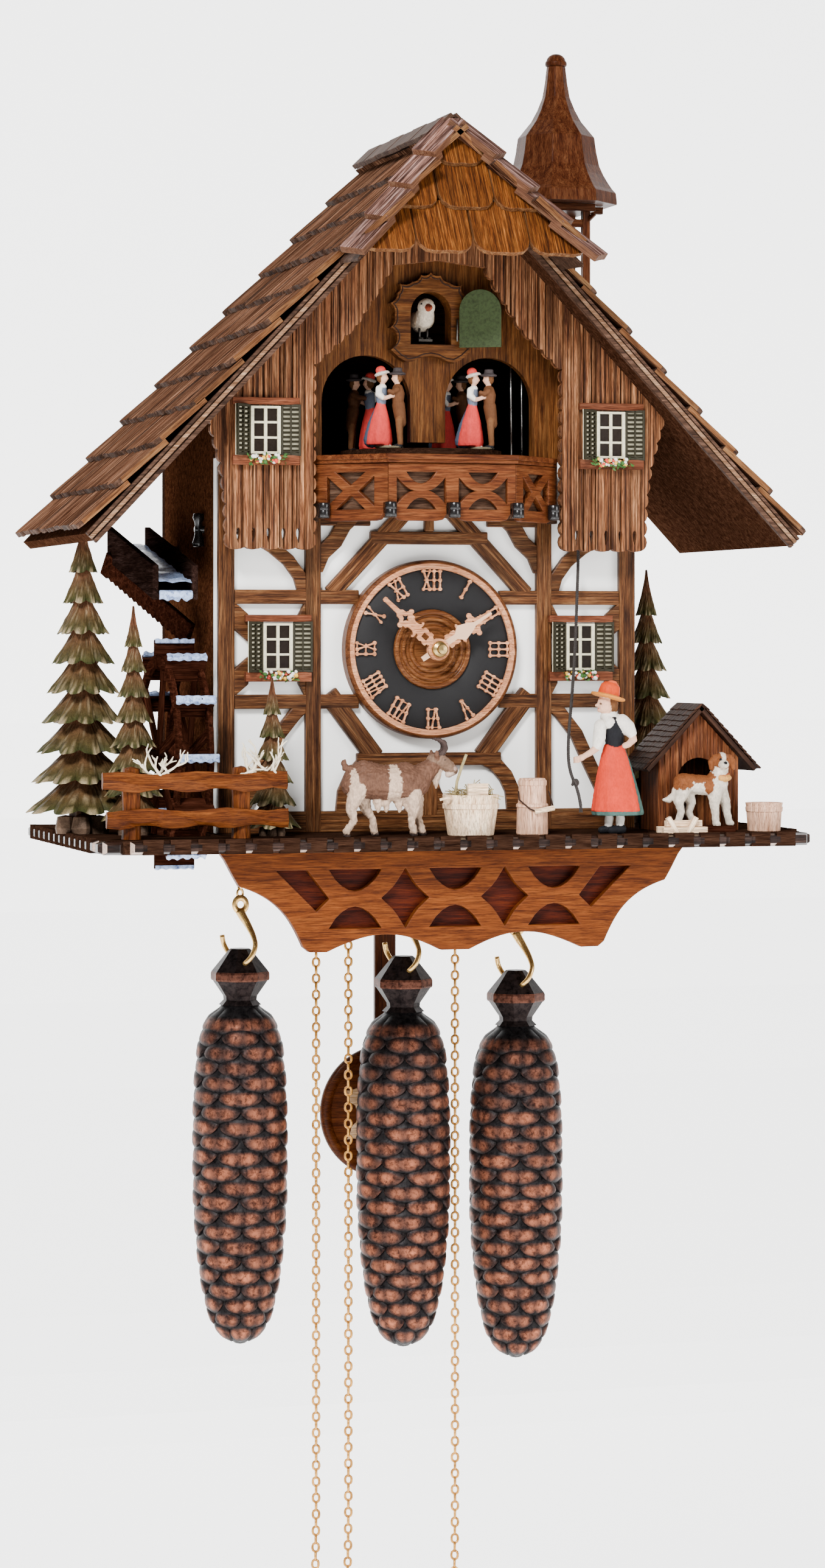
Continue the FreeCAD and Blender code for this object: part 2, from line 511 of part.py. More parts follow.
def pendulum():
    eye = ring(1.1 + RUN, 2.2, PENDULUM_Y - 0.8, PENDULUM_Y + 0.8, 0, SWING_Z)
    leader = rod(0.9, V(0, PENDULUM_Y, SWING_Z - 1.8), V(0, PENDULUM_Y, -219))
    rod_solid = box(-5.5, 5.5, PENDULUM_Y - 1.5, PENDULUM_Y + 1.5, -372, -218)
    bob_z = -386.6
    bob = turned([(0, -3.5), (30, -3.5), (34, -1.5), (34, 1.0), (32.5, 2.2), (29, 2.2), (28, 1.4), (0, 1.4)],
                 V(0, PENDULUM_Y, bob_z), V(0, -1, 0))
    save("pendulum", join(eye, leader, rod_solid, bob))


def bellows():
    fixed = []
    for side in (-1, 1):
        low, high = sorted((side * 73.0, side * 97.0))
        fixed.append(box(low, high, -108, -48, -118, -86))
        fixed.append(box(low + 1, high - 1, -107, -49, -86, -80.3))
        top = box(low, high, -108, -48, -80.0, -77.5)
        pin = rod(0.9, V(low, -48, -80), V(high, -48, -80))
        save("bellows_top_" + ("left" if side < 0 else "right"), join(top, pin))
    save("bellows", *fixed)


def music_movement():
    bed = box(16, 60, -50, -12, -94, -90)
    drum = rod(6, V(20, -30, -82), V(56, -30, -82))
    cheeks = [box(x, x + 2, -38, -22, -90, -72) for x in (17, 57)]
    comb = box(22, 54, -49, -38, -84, -82.5)
    foot = box(22, 54, -49, -44, -90, -84)
    bracket = box(30, 46, -12, -PANEL, -94, -74)
    save("music_movement", bed, drum, cheeks[0], cheeks[1], comb, foot, bracket)


# ---- cuckoo, door and dancers ----
def cuckoo():
    body = Part.makeSphere(1, V(0, 0, 0))
    stretch = FreeCAD.Matrix()
    stretch.scale(5.0, 9.5, 6.0)
    body = body.transformGeometry(stretch)
    body.translate(V(-1, -116.5, 12))
    head = Part.makeSphere(4.4, V(-1, -123, 18))
    beak = Part.makeCone(1.5, 0.2, 4.5, V(-1, -126.8, 18), V(0, -1, 0))
    tail = box(-3.5, 1.5, -109, -100, 11, 13)
    legs = [rod(0.7, V(x, -118, 3.4), V(x, -118, 8)) for x in (-3, 1)]
    perch = box(-4.5, 2.5, -122, -95, 1.8, 3.4)
    save("cuckoo_bird", join(body, head, beak, tail), join(perch, *legs))


DOOR_HINGE = V(12.9, -129.8, 0)
DOOR_OPEN = 150.0


def cuckoo_door():
    """Modelled shut in front of the opening, then swung open about its hinge."""
    panel = arch(DOOR_HINGE.x - 11.6, 10.6, -1.5, 27.0, -131.0, -129.4).fuse(
        rod(0.8, V(DOOR_HINGE.x, DOOR_HINGE.y, 2), V(DOOR_HINGE.x, DOOR_HINGE.y, 12)))
    panel.rotate(DOOR_HINGE, Z, DOOR_OPEN)
    save("cuckoo_door", panel.removeSplitter())


def turntable():
    disc = rod(40.0, TABLE_C, TABLE_C + V(0, 0, 3))
    shaft = rod(2.0, V(0, TABLE_C.y, -72), V(0, TABLE_C.y, -54))
    wheel = rod(5.5, V(0, TABLE_C.y, -72), V(0, TABLE_C.y, -69))
    save("turntable", join(disc, shaft, wheel))


def dancers():
    """Four couples, each a skirted figure and a figure in a jacket, on the turntable."""
    pieces = []
    top = TABLE_C.z + 3
    for quarter in range(4):
        angle = math.radians(45 + 90 * quarter)
        middle = V(33 * math.cos(angle), TABLE_C.y + 33 * math.sin(angle), top)
        around = math.radians(-20 + 90 * quarter)
        step = V(4.2 * math.cos(around), 4.2 * math.sin(around), 0)
        lady = turned([(0, 0), (7.0, 0.6), (6.6, 6), (2.6, 22), (3.6, 30), (1.6, 32.5), (3.1, 35), (3.6, 39), (0, 41)],
                      middle - step, Z)
        man = turned([(0, 0), (4.2, 0.6), (3.2, 6), (3.6, 18), (4.2, 30), (1.8, 32.5), (3.1, 35), (4.6, 37.5),
                      (2.6, 41), (0, 41.5)], middle + step, Z)
        pieces.append(join(lady, man))
    save("dancers", *pieces)


# ---- water works ----
def water_wheel():
    c = WHEEL_C
    pieces = []
    for x in (c.x - 9.0, c.x + 6.5):
        outer = rod(49, V(x, c.y, c.z), V(x + 2.5, c.y, c.z))
        pieces.append(outer.cut(rod(43, V(x - 1, c.y, c.z), V(x + 4, c.y, c.z))))
        for k in range(3):
            spoke = box(x, x + 2.5, c.y - 45, c.y + 45, c.z - 2.5, c.z + 2.5)
            spoke.rotate(c, X, 60 * k)
            pieces.append(spoke)
    for k in range(12):
        paddle = box(c.x - 10, c.x + 10, c.y - 1.2, c.y + 1.2, c.z + 42, c.z + WHEEL_R)
        paddle.rotate(c, X, 30 * k)
        pieces.append(paddle)
    pieces.append(rod(6, V(c.x - 9, c.y, c.z), V(c.x + 9, c.y, c.z)))
    pieces.append(rod(2.5, V(c.x - 14, c.y, c.z), V(-95, c.y, c.z)))
    save("water_wheel", join(*pieces))


def water_chute():
    outline = [(-15, -105), (-15, -87.6), (-124, -109.2), (-124, -126)]
    floor = [(-15, -105), (-15, -101), (-124, -122), (-124, -126)]
    sides = [side_plate(outline, -139.0, 3.0), side_plate(outline, -119.5, 3.0)]
    bed = side_plate(floor, -136.0, 16.5)
    bracket = box(-116.5, -CASE_HALF, -40, -34, -112, -98)
    save("water_chute", sides[0], sides[1], bed, bracket)


# ---- yard ----
def fir(x, y, height, spread, tiers):
    """Carved fir: a cone of tiers on a short trunk."""
    trunk = 0.08 * height
    profile = [(0, 0), (spread * 0.22, 0), (spread * 0.2, trunk)]
    for i in range(tiers):
        share = 1 - i / tiers
        z = trunk + (height - trunk) * i / tiers
        profile += [(spread * share, z), (spread * share * 0.62, z + (height - trunk) / tiers * 0.9)]
    profile.append((0, height))
    return turned(profile, V(x, y, BASE_TOP), Z)


def fir_trees():
    save("fir_trees", fir(-168, -98, 144, 23, 9), fir(-86, -150, 70, 12.5, 6), fir(136, -60, 123, 19, 8))


def fence():
    pieces = [box(-175, -86, -180, -177, z - 4, z + 4) for z in (-213, -230)]
    pieces += [box(x - 4.5, x + 4.5, -177, -172, BASE_TOP, -205) for x in (-158, -105)]
    save("fence", *pieces)


def goat():
    x, y, z = -35.0, -172.0, BASE_TOP
    trunk = box(x - 19, x + 15, y - 5.5, y + 5.5, z + 16, z + 31)
    neck = prism([V(x + 12, y - 4, z + 24), V(x + 15, y - 4, z + 22), V(x + 26, y - 4, z + 38),
                  V(x + 20, y - 4, z + 44), V(x + 10, y - 4, z + 31)], V(0, 8, 0))
    head = box(x + 18, x + 31, y - 3, y + 3, z + 35, z + 43)
    legs = [box(x + dx - 2, x + dx + 2, y + dy - 1.8, y + dy + 1.8, z, z + 18)
            for dx in (-17, 12) for dy in (-3.4, 3.4)]
    save("goat", join(trunk, neck, head, *legs))


def tubs():
    tub = turned([(0, 0), (12.0, 0), (13.8, 20), (0, 20)], V(7.1, -172, BASE_TOP), Z)
    hay = turned([(0, 20), (11.5, 20), (8, 25), (0, 26)], V(7.1, -172, BASE_TOP), Z)
    churn = turned([(0, 0), (8.2, 0), (6.2, 22), (0, 22)], V(38.2, -172, BASE_TOP), Z)
    bucket = turned([(0, 0), (7.6, 0), (9.4, 14), (0, 14)], V(159.5, -168, BASE_TOP), Z)
    log = [rod(1.8, V(101, y, BASE_TOP + 1.8), V(122, y + 2, BASE_TOP + 1.8)) for y in (-183.2, -179.0)]
    save("tubs", join(tub, hay), churn, bucket, *log)


def kennel():
    x0, x1, y0, y1 = 108.0, 150.0, -158.0, -128.5
    mid, wall_top, peak = 129.0, BASE_TOP + 36, BASE_TOP + 58
    body = front_plate([(x0, BASE_TOP), (x1, BASE_TOP), (x1, wall_top), (mid, peak), (x0, wall_top)], y0, y1 - y0)
    body = body.cut(arch(mid, 11, BASE_TOP + 2, BASE_TOP + 36, y0 - 1, y1 - 3))
    slabs = []
    for side in (-1, 1):
        outline = [(mid, peak), (mid + side * 30, wall_top - 9), (mid + side * 30, wall_top - 3), (mid, peak + 7)]
        slabs.append(front_plate(outline, y0 - 5, y1 - y0 + 6))
    save("kennel", body, *slabs)


def dog():
    x, y, z = 126.0, -169.5, BASE_TOP
    plank = box(x - 16, x + 16, y - 5.5, y + 5.5, z, z + 3)
    trunk = box(x - 14, x + 10, y - 4.5, y + 4.5, z + 16, z + 27)
    neck = box(x + 5, x + 13, y - 3.5, y + 3.5, z + 22, z + 34)
    head = box(x + 6, x + 17, y - 4, y + 4, z + 31, z + 41)
    legs = [box(x + dx - 2, x + dx + 2, y + dy - 2, y + dy + 2, z + 3, z + 17) for dx in (-11, 8) for dy in (-2.5, 2.5)]
    save("dog", plank, join(trunk, neck, head, *legs))


RINGER = V(78.0, -177.0, BASE_TOP)
SHOULDER = V(71.0, -177.0, BASE_TOP + 53)


def bell_ringer():
    figure = turned([(0, 0), (5, 0), (5, 6), (12.5, 8), (9.5, 22), (4.6, 40), (5.2, 50), (5, 56), (2.2, 58), (4.6, 62),
                     (4.8, 68), (7.5, 70), (4, 75), (0, 75.5)], RINGER, Z)
    save("bell_ringer", figure.cut(rod(2.8, SHOULDER - V(0, 12, 0), SHOULDER + V(0, 12, 0))))
    hand_at = V(58.2, -177.0, BASE_TOP + 38)
    pivot = rod(2.6, SHOULDER - V(0, 3, 0), SHOULDER + V(0, 3, 0))
    save("ringer_arm", join(rod(2.2, SHOULDER, hand_at), Part.makeSphere(2.2, hand_at), pivot))


# ---- bell rope: straight runs joined by tangent arcs ----
ROPE_R = 0.8
ROPE = [V(76.5, -127.5, -86), V(76.5, -127.6, -104), V(74.0, -133.5, -119), V(69.0, -146, -143), V(62.0, -162, -171),
        V(55.0, -175.8, -196), V(54.6, -179.5, -209), V(58.6, -181.5, -218), V(59.5, -182.5, -226)]


def tube(points, radius):
    edges, start, lengths = [], points[0], 0
    for before, corner, after in zip(points, points[1:], points[2:]):
        a, b = corner - before, after - corner
        turn = a.getAngle(b)
        arc_r = 0.45 * min(a.Length, b.Length) / math.tan(turn / 2)
        reach = arc_r * math.tan(turn / 2)
        p = corner - V(a).normalize() * reach
        q = corner + V(b).normalize() * reach
        middle = corner + (p + q - corner * 2).normalize() * (arc_r / math.cos(turn / 2) - arc_r)
        edges += [Part.LineSegment(start, p).toShape(), Part.Arc(p, middle, q).toShape()]
        start = q
        print("rope radius %.1f" % arc_r)
    edges.append(Part.LineSegment(start, points[-1]).toShape())
    path = Part.Wire(edges)
    circle = Part.Wire(Part.makeCircle(radius, points[0], points[1] - points[0]))
    solid = path.makePipeShell([circle], True, False, 2)
    print("rope length %.1f volume ratio %.3f" % (path.Length, solid.Volume / (math.pi * radius ** 2 * path.Length)))
    return solid


def bell_rope():
    save("bell_rope", tube(ROPE, ROPE_R))


# ---- weights and chains ----
def weight(side):
    """Cast pinecone with a faceted cap that has a hole for the hook."""
    x, x_free, top = DRIVES[side]
    base = V(x, CHAIN_Y, top)
    cap = turned([(0, 0), (5.5, 0), (13.6, -12), (13.6, -15.5), (8.0, -24.6), (8.0, -28), (0, -28)], base, Z)
    cone = turned([(0, -24.6), (8.0, -24.6), (16.5, -36), (21.2, -48), (23.5, -68), (24, -90), (24, -115),
                   (22.8, -140), (20.6, -161), (17.2, -178), (12.2, -191), (5, -197.5), (0, -197.5)], base, Z)
    hole = rod(3.0, V(x, CHAIN_Y - 20, top - 8), V(x, CHAIN_Y + 20, top - 8))
    save("weight_" + side, join(cap, cone).cut(hole))


def weight_chain(side):
    x, x_free, top = DRIVES[side]
    hook_top = top + 20
    pin = rod(1.3, V(x, CHAIN_Y - 9, top - 8), V(x, CHAIN_Y + 9, top - 8))
    rise = rod(1.3, V(x, CHAIN_Y - 9, top - 8), V(x, CHAIN_Y - 9, top + 6))
    elbow = rod(1.3, V(x, CHAIN_Y - 9, top + 6), V(x, CHAIN_Y, hook_top))
    bends = [Part.makeSphere(1.3, V(x, CHAIN_Y - 9, z)) for z in (top - 8, top + 6)]
    chain = rod(CHAIN_R, V(x, CHAIN_Y, hook_top - 1), V(x, CHAIN_Y, -172))
    save("weight_chain_" + side, join(pin, rise, elbow, chain, *bends))


def free_chain(side):
    """Free end of the chain: a straight fall and the tied hank of its remaining length."""
    x = DRIVES[side][1]
    save("free_chain_" + side, rod(CHAIN_R, V(x, CHAIN_Y, CHAIN_END_Z), V(x, CHAIN_Y, CHAIN_WHEEL_Z)))
    half_w, half_h, thick = 16.0, 42.5, 14.0
    z = CHAIN_END_Z - half_h
    outer = box(x - thick / 2, x + thick / 2, CHAIN_Y - half_w, CHAIN_Y + half_w, z - half_h + half_w,
                z + half_h - half_w)
    for dz in (-half_h + half_w, half_h - half_w):
        outer = outer.fuse(rod(half_w, V(x - thick / 2, CHAIN_Y, z + dz), V(x + thick / 2, CHAIN_Y, z + dz)))
    save("chain_hank_" + side, outer.removeSplitter())


def shutoff_lever():
    pin = rod(2.0, V(-112.0, -94.5, -91), V(-97.0, -94.5, -91))
    knob = box(-112.0, -108.0, -97, -92, -99.5, -83)
    save("shutoff_lever", join(pin, knob))


def build():
    for make in (case_walls, back_panel, front_wall, timber_frame, gable_board, stage_front, base_board, skirt, roof,
                 turret, balcony, windows, dial, hands, movement, going_train, anchor, pendulum, bellows,
                 music_movement, cuckoo, cuckoo_door, turntable, dancers, water_wheel, water_chute, fir_trees, fence,
                 goat, tubs, kennel, dog, bell_ringer, bell_rope, shutoff_lever):
        make()
    for side in DRIVES:
        drive_wheel(side)
        weight(side)
        weight_chain(side)
        free_chain(side)


build()
print(len(os.listdir("parts")), "nodes")
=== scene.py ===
import math
import random

import bpy
from mathutils import Euler, Matrix, Vector, geometry, noise
from mathutils.bvhtree import BVHTree


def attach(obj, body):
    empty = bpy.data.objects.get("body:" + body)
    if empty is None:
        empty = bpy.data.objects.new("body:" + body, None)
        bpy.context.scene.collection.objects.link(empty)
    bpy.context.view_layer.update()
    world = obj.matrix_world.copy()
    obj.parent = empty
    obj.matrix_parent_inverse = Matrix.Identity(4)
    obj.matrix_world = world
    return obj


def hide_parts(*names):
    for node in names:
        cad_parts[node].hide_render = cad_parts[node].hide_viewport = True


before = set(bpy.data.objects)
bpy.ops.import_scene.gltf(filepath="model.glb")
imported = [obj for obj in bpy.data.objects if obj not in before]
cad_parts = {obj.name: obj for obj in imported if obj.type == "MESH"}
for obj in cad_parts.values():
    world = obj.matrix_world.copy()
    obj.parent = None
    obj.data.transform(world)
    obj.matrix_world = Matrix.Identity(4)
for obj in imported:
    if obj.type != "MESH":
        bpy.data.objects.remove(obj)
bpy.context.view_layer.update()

# Looks of the chalet cuckoo clock. Lengths in the builders below are millimetres in the clock's own frame;
# Build.finish turns them into metres. The front of the clock looks towards -Y.
MM = 0.001
rnd = random.Random(11)

# ---- places that the pieces share ----
DIAL_Z = -150.0
WALL_Y = -122.0
BASE_TOP = -239.5
BASE_LOW = -246.0
RIDGE_Z, EAVE_X, EAVE_Z = 105.0, 186.0, -92.0
SLOPE = math.hypot(EAVE_X, RIDGE_Z - EAVE_Z)
DOWN_X, DOWN_Z = EAVE_X / SLOPE, (RIDGE_Z - EAVE_Z) / SLOPE
SHINGLE_T = 7.0
DRIVES = {"left": (-82.6, -43.3, -299.6), "center": (2.3, -26.5, -305.1), "right": (62.0, 29.6, -313.6)}
CHAIN_Y = -70.0
HANK_TOP, HANK_LOW = -627.5, -701.0
NUMERAL_FOOT = 28.7
SWING_TOP, BOB_Z = -95.0, -386.6


# ---- camera, light and floor ----
def set_camera():
    cam = bpy.data.cameras.new("camera")
    cam.lens, cam.sensor_width = 91.54, 36.0
    cam.shift_y = -0.0877
    cam.clip_start = 0.05
    obj = bpy.data.objects.new("camera", cam)
    obj.location = (-0.5493, -2.0106, -0.1486)
    obj.rotation_euler = (math.radians(90), 0, math.radians(-16))
    bpy.context.collection.objects.link(obj)
    bpy.context.scene.camera = obj


def area_light(name, location, target, size, watts):
    light = bpy.data.lights.new(name, "AREA")
    light.shape, light.size, light.energy = "DISK", size, watts
    obj = bpy.data.objects.new(name, light)
    obj.location = location
    obj.rotation_euler = (Vector(target) - Vector(location)).to_track_quat("-Z", "Y").to_euler()
    bpy.context.collection.objects.link(obj)


def set_light():
    area_light("key", (-1.3, -2.3, 1.5), (0, -0.1, -0.2), 0.8, 185)
    area_light("fill", (1.7, -2.0, 0.3), (0, -0.1, -0.2), 1.4, 46)
    area_light("low", (-0.3, -2.0, -1.2), (0, -0.1, -0.25), 1.2, 16)
    world = bpy.data.worlds.new("room")
    world.use_nodes = True
    shade = world.node_tree.nodes["Background"]
    shade.inputs["Color"].default_value = (1.0, 0.99, 0.97, 1)
    shade.inputs["Strength"].default_value = 0.26
    bpy.context.scene.world = world


def set_stage():
    """Pale floor that curves up into the backdrop behind the clock."""
    mat = bpy.data.materials.new("stage_paper")
    mat.use_nodes = True
    shader = mat.node_tree.nodes["Principled BSDF"]
    shader.inputs["Base Color"].default_value = (0.93, 0.93, 0.92, 1)
    shader.inputs["Roughness"].default_value = 0.9
    shader.inputs["Emission Color"].default_value = (1, 1, 1, 1)
    shader.inputs["Emission Strength"].default_value = 2.2
    floor_z, wall_y, bend, half = -1.05, 3.2, 0.8, 7.0
    line = [(-5.0, floor_z), (wall_y - bend, floor_z)]
    line += [(wall_y - bend + bend * math.sin(a), floor_z + bend - bend * math.cos(a))
             for a in (math.radians(9 * i) for i in range(1, 11))]
    line.append((wall_y, 5.5))
    verts = [(x, y, z) for y, z in line for x in (-half, half)]
    faces = [(2 * i, 2 * i + 1, 2 * i + 3, 2 * i + 2) for i in range(len(line) - 1)]
    mesh = bpy.data.meshes.new("stage_floor")
    mesh.from_pydata(verts, [], faces)
    mesh.materials.append(mat)
    obj = bpy.data.objects.new("stage_floor", mesh)
    bpy.context.collection.objects.link(obj)


# ---- materials ----
class Nodes:
    """Small helper that builds one procedural material."""

    def __init__(self, name, rough=0.5, metallic=0.0, specular=0.22):
        self.mat = bpy.data.materials.new(name)
        self.mat.use_nodes = True
        self.tree = self.mat.node_tree
        self.shader = self.tree.nodes["Principled BSDF"]
        self.shader.inputs["Roughness"].default_value = rough
        self.shader.inputs["Metallic"].default_value = metallic
        self.shader.inputs["Specular IOR Level"].default_value = specular

    def node(self, kind, **inputs):
        n = self.tree.nodes.new(kind)
        for key, value in inputs.items():
            n.inputs[key.replace("_", " ")].default_value = value
        return n

    def link(self, a, b):
        self.tree.links.new(a, b)

    def coords(self, scale, own_grain=True, turn=(0, 0, 0)):
        """Grain coordinates of a built piece, or a CAD node's own place, scaled for a texture."""
        if own_grain:
            source = self.node("ShaderNodeAttribute")
            source.attribute_name = "grain"
            out = source.outputs["Vector"]
        else:
            out = self.node("ShaderNodeTexCoord").outputs["Object"]
        mapping = self.node("ShaderNodeMapping")
        mapping.inputs["Rotation"].default_value = turn
        mapping.inputs["Scale"].default_value = scale
        self.link(out, mapping.inputs["Vector"])
        return mapping.outputs["Vector"]

    def noise(self, vector, scale, detail=4.0, rough=0.6, distort=0.0):
        n = self.node("ShaderNodeTexNoise", Scale=scale, Detail=detail, Roughness=rough, Distortion=distort)
        self.link(vector, n.inputs["Vector"])
        return n.outputs["Fac"]

    def ramp(self, value, stops):
        n = self.tree.nodes.new("ShaderNodeValToRGB")
        ramp = n.color_ramp
        while len(ramp.elements) < len(stops):
            ramp.elements.new(0.5)
        for element, (at, color) in zip(ramp.elements, stops):
            element.position = at
            element.color = (*color, 1) if len(color) == 3 else color
        self.link(value, n.inputs["Fac"])
        return n.outputs["Color"]

    def math(self, kind, a, b):
        n = self.tree.nodes.new("ShaderNodeMath")
        n.operation = kind
        for slot_, value in zip(n.inputs, (a, b)):
            if isinstance(value, (int, float)):
                slot_.default_value = value
            else:
                self.link(value, slot_)
        return n.outputs[0]

    def mix(self, factor, a, b, blend="MIX"):
        n = self.tree.nodes.new("ShaderNodeMix")
        n.data_type, n.blend_type = "RGBA", blend
        for slot_, value in zip((n.inputs[0], n.inputs[6], n.inputs[7]), (factor, a, b)):
            if isinstance(value, (int, float)):
                slot_.default_value = value
            elif isinstance(value, tuple):
                slot_.default_value = (*value, 1)
            else:
                self.link(value, slot_)
        return n.outputs[2]

    def tone(self):
        source = self.node("ShaderNodeAttribute")
        source.attribute_name = "tone"
        return source.outputs["Fac"]

    def bump(self, height, strength, distance):
        n = self.node("ShaderNodeBump", Strength=strength, Distance=distance)
        self.link(height, n.inputs["Height"])
        self.link(n.outputs["Normal"], self.shader.inputs["Normal"])

    def color(self, value):
        self.link(value, self.shader.inputs["Base Color"])

    def rough(self, value):
        self.link(value, self.shader.inputs["Roughness"])


def wood(name, dark, mid, light, rough=0.5, scale=1.0, own_grain=True, turn=(0, 0, 0), grit=0.35, coat=0.0,
         vary=0.5, specular=0.08, ridges_and_groove_shade=0.0):
    """Wood with its grain along local X: broad streaks, fine pores, and a shade of its own for each piece."""
    n = Nodes(name, rough, 0.0, specular)
    unit = 1.0 if own_grain else 1000.0
    long_way = n.coords((0.035 * unit * scale, 0.5 * unit * scale, 0.5 * unit * scale), own_grain, turn)
    fine_way = n.coords((0.12 * unit * scale, 2.6 * unit * scale, 2.6 * unit * scale), own_grain, turn)
    streak = n.noise(long_way, 1.0, 5.0, 0.65, 0.6)
    pores = n.noise(fine_way, 1.0, 3.0, 0.7, 0.0)
    base = n.ramp(streak, [(0.33, dark), (0.5, mid), (0.68, light)])
    speck = n.ramp(pores, [(0.36, (0.30, 0.24, 0.20)), (0.54, (1.0, 1.0, 1.0)), (0.70, (1.35, 1.3, 1.25))])
    color = n.mix(0.85, base, speck, "MULTIPLY")
    # Optional stripes across the grain, dark in the grooves and pale on the ridges: partly weathered grain,
    # partly painted shade in the grooves and a painted highlight on the ridges.
    if ridges_and_groove_shade:
        deep_way = n.coords((0.012 * unit * scale, 1.15 * unit * scale, 1.15 * unit * scale), own_grain,
                            turn)
        deep = n.ramp(n.noise(deep_way, 1.0, 2.0, 0.5, 0.2),
                      [(0.38, (0.12, 0.09, 0.08)), (0.5, (0.8, 0.78, 0.75)),
                                                              (0.64, (1.9, 1.75, 1.6))])
        color = n.mix(ridges_and_groove_shade, color, deep, "MULTIPLY")
    shade = n.math("MULTIPLY", n.tone() if own_grain else 0.5, vary)
    shade = n.math("ADD", shade, 1.0 - vary * 0.5)
    gray = n.tree.nodes.new("ShaderNodeCombineColor")
    for slot_ in gray.inputs:
        n.link(shade, slot_)
    n.color(n.mix(1.0, color, gray.outputs["Color"], "MULTIPLY"))
    n.rough(n.math("ADD", n.math("MULTIPLY", pores, 0.25), rough - 0.1))
    n.bump(n.math("ADD", n.math("MULTIPLY", streak, 0.6), n.math("MULTIPLY", pores, 0.5)), grit, 0.0004)
    n.shader.inputs["Coat Weight"].default_value = coat
    n.shader.inputs["Coat Roughness"].default_value = 0.25
    return n.mat


def paint(name, color, rough=0.45, worn=0.25, scale=0.6, coat=0.0, second=None):
    """Hand-laid paint: slow shade changes, brush texture and a thinner second shade here and there."""
    n = Nodes(name, rough)
    blotch = n.noise(n.coords((scale, scale, scale)), 1.0, 5.0, 0.6, 0.4)
    brush = n.noise(n.coords((scale * 1.5, scale * 6, scale * 6)), 1.0, 2.0, 0.5)
    low = second or tuple(c * (1 - worn) for c in color)
    high = tuple(min(1, c * (1 + worn * 0.5)) for c in color)
    n.color(n.ramp(blotch, [(0.3, low), (0.52, color), (0.75, high)]))
    n.rough(n.math("ADD", n.math("MULTIPLY", brush, 0.3), rough - 0.15))
    n.bump(brush, 0.25, 0.0002)
    n.shader.inputs["Coat Weight"].default_value = coat
    return n.mat


def tinted(name, rough=0.5, scale=0.8, depth=0.35, coat=0.0, streaks=None):
    """Paint whose colour each piece carries point by point, broken up by brush marks and rubbed shades."""
    n = Nodes(name, rough, 0.0, 0.05)
    source = n.node("ShaderNodeAttribute")
    source.attribute_name = "tint"
    blotch = n.noise(n.coords((scale, scale, scale)), 1.0, 6.0, 0.65, 0.5)
    brush = n.noise(n.coords(streaks or (scale * 2, scale * 5, scale * 5)), 1.0, 3.0, 0.6)
    shade = n.ramp(blotch, [(0.3, (1 - depth,) * 3), (0.7, (1 + depth * 0.3,) * 3)])
    fine = n.ramp(brush, [(0.35, (1 - depth * 0.7,) * 3), (0.6, (1.0, 1.0, 1.0))])
    n.color(n.mix(1.0, n.mix(1.0, source.outputs["Color"], shade, "MULTIPLY"), fine, "MULTIPLY"))
    n.rough(n.math("ADD", n.math("MULTIPLY", brush, 0.3), rough - 0.15))
    n.bump(brush, 0.35, 0.0003)
    n.shader.inputs["Coat Weight"].default_value = coat
    return n.mat


def metal(name, color, rough, tarnish, scale=0.4, own_grain=True, metallic=1.0):
    n = Nodes(name, rough, metallic)
    unit = 1.0 if own_grain else 1000.0
    spots = n.noise(n.coords((scale * unit,) * 3, own_grain), 1.0, 4.0, 0.6, 0.3)
    n.color(n.ramp(spots, [(0.3, tarnish), (0.6, color)]))
    n.rough(n.math("ADD", n.math("MULTIPLY", spots, -0.25), rough + 0.12))
    n.bump(spots, 0.12, 0.0002)
    return n.mat


def cast_metal(name, rough=0.42):
    """Dark casting with copper on its raised parts, carried by each piece's own tint: partly a rubbed copper
    finish, partly a painted highlight on the crests.
    """
    n = Nodes(name, rough, 0.35, 0.04)
    source = n.node("ShaderNodeAttribute")
    source.attribute_name = "tint"
    spots = n.noise(n.coords((0.35, 0.35, 0.35)), 1.0, 5.0, 0.7, 0.4)
    lines = n.noise(n.coords((0.25, 1.6, 0.25)), 1.0, 3.0, 0.6)
    worn = n.ramp(spots, [(0.36, (0.22, 0.22, 0.24)), (0.58, (1.15, 1.1, 1.05))])
    n.color(n.mix(1.0, source.outputs["Color"], worn, "MULTIPLY"))
    n.rough(n.math("ADD", n.math("MULTIPLY", lines, 0.25), rough - 0.1))
    n.bump(n.math("ADD", n.math("MULTIPLY", lines, 0.7), n.math("MULTIPLY", spots, 0.4)), 0.3, 0.0003)
    return n.mat


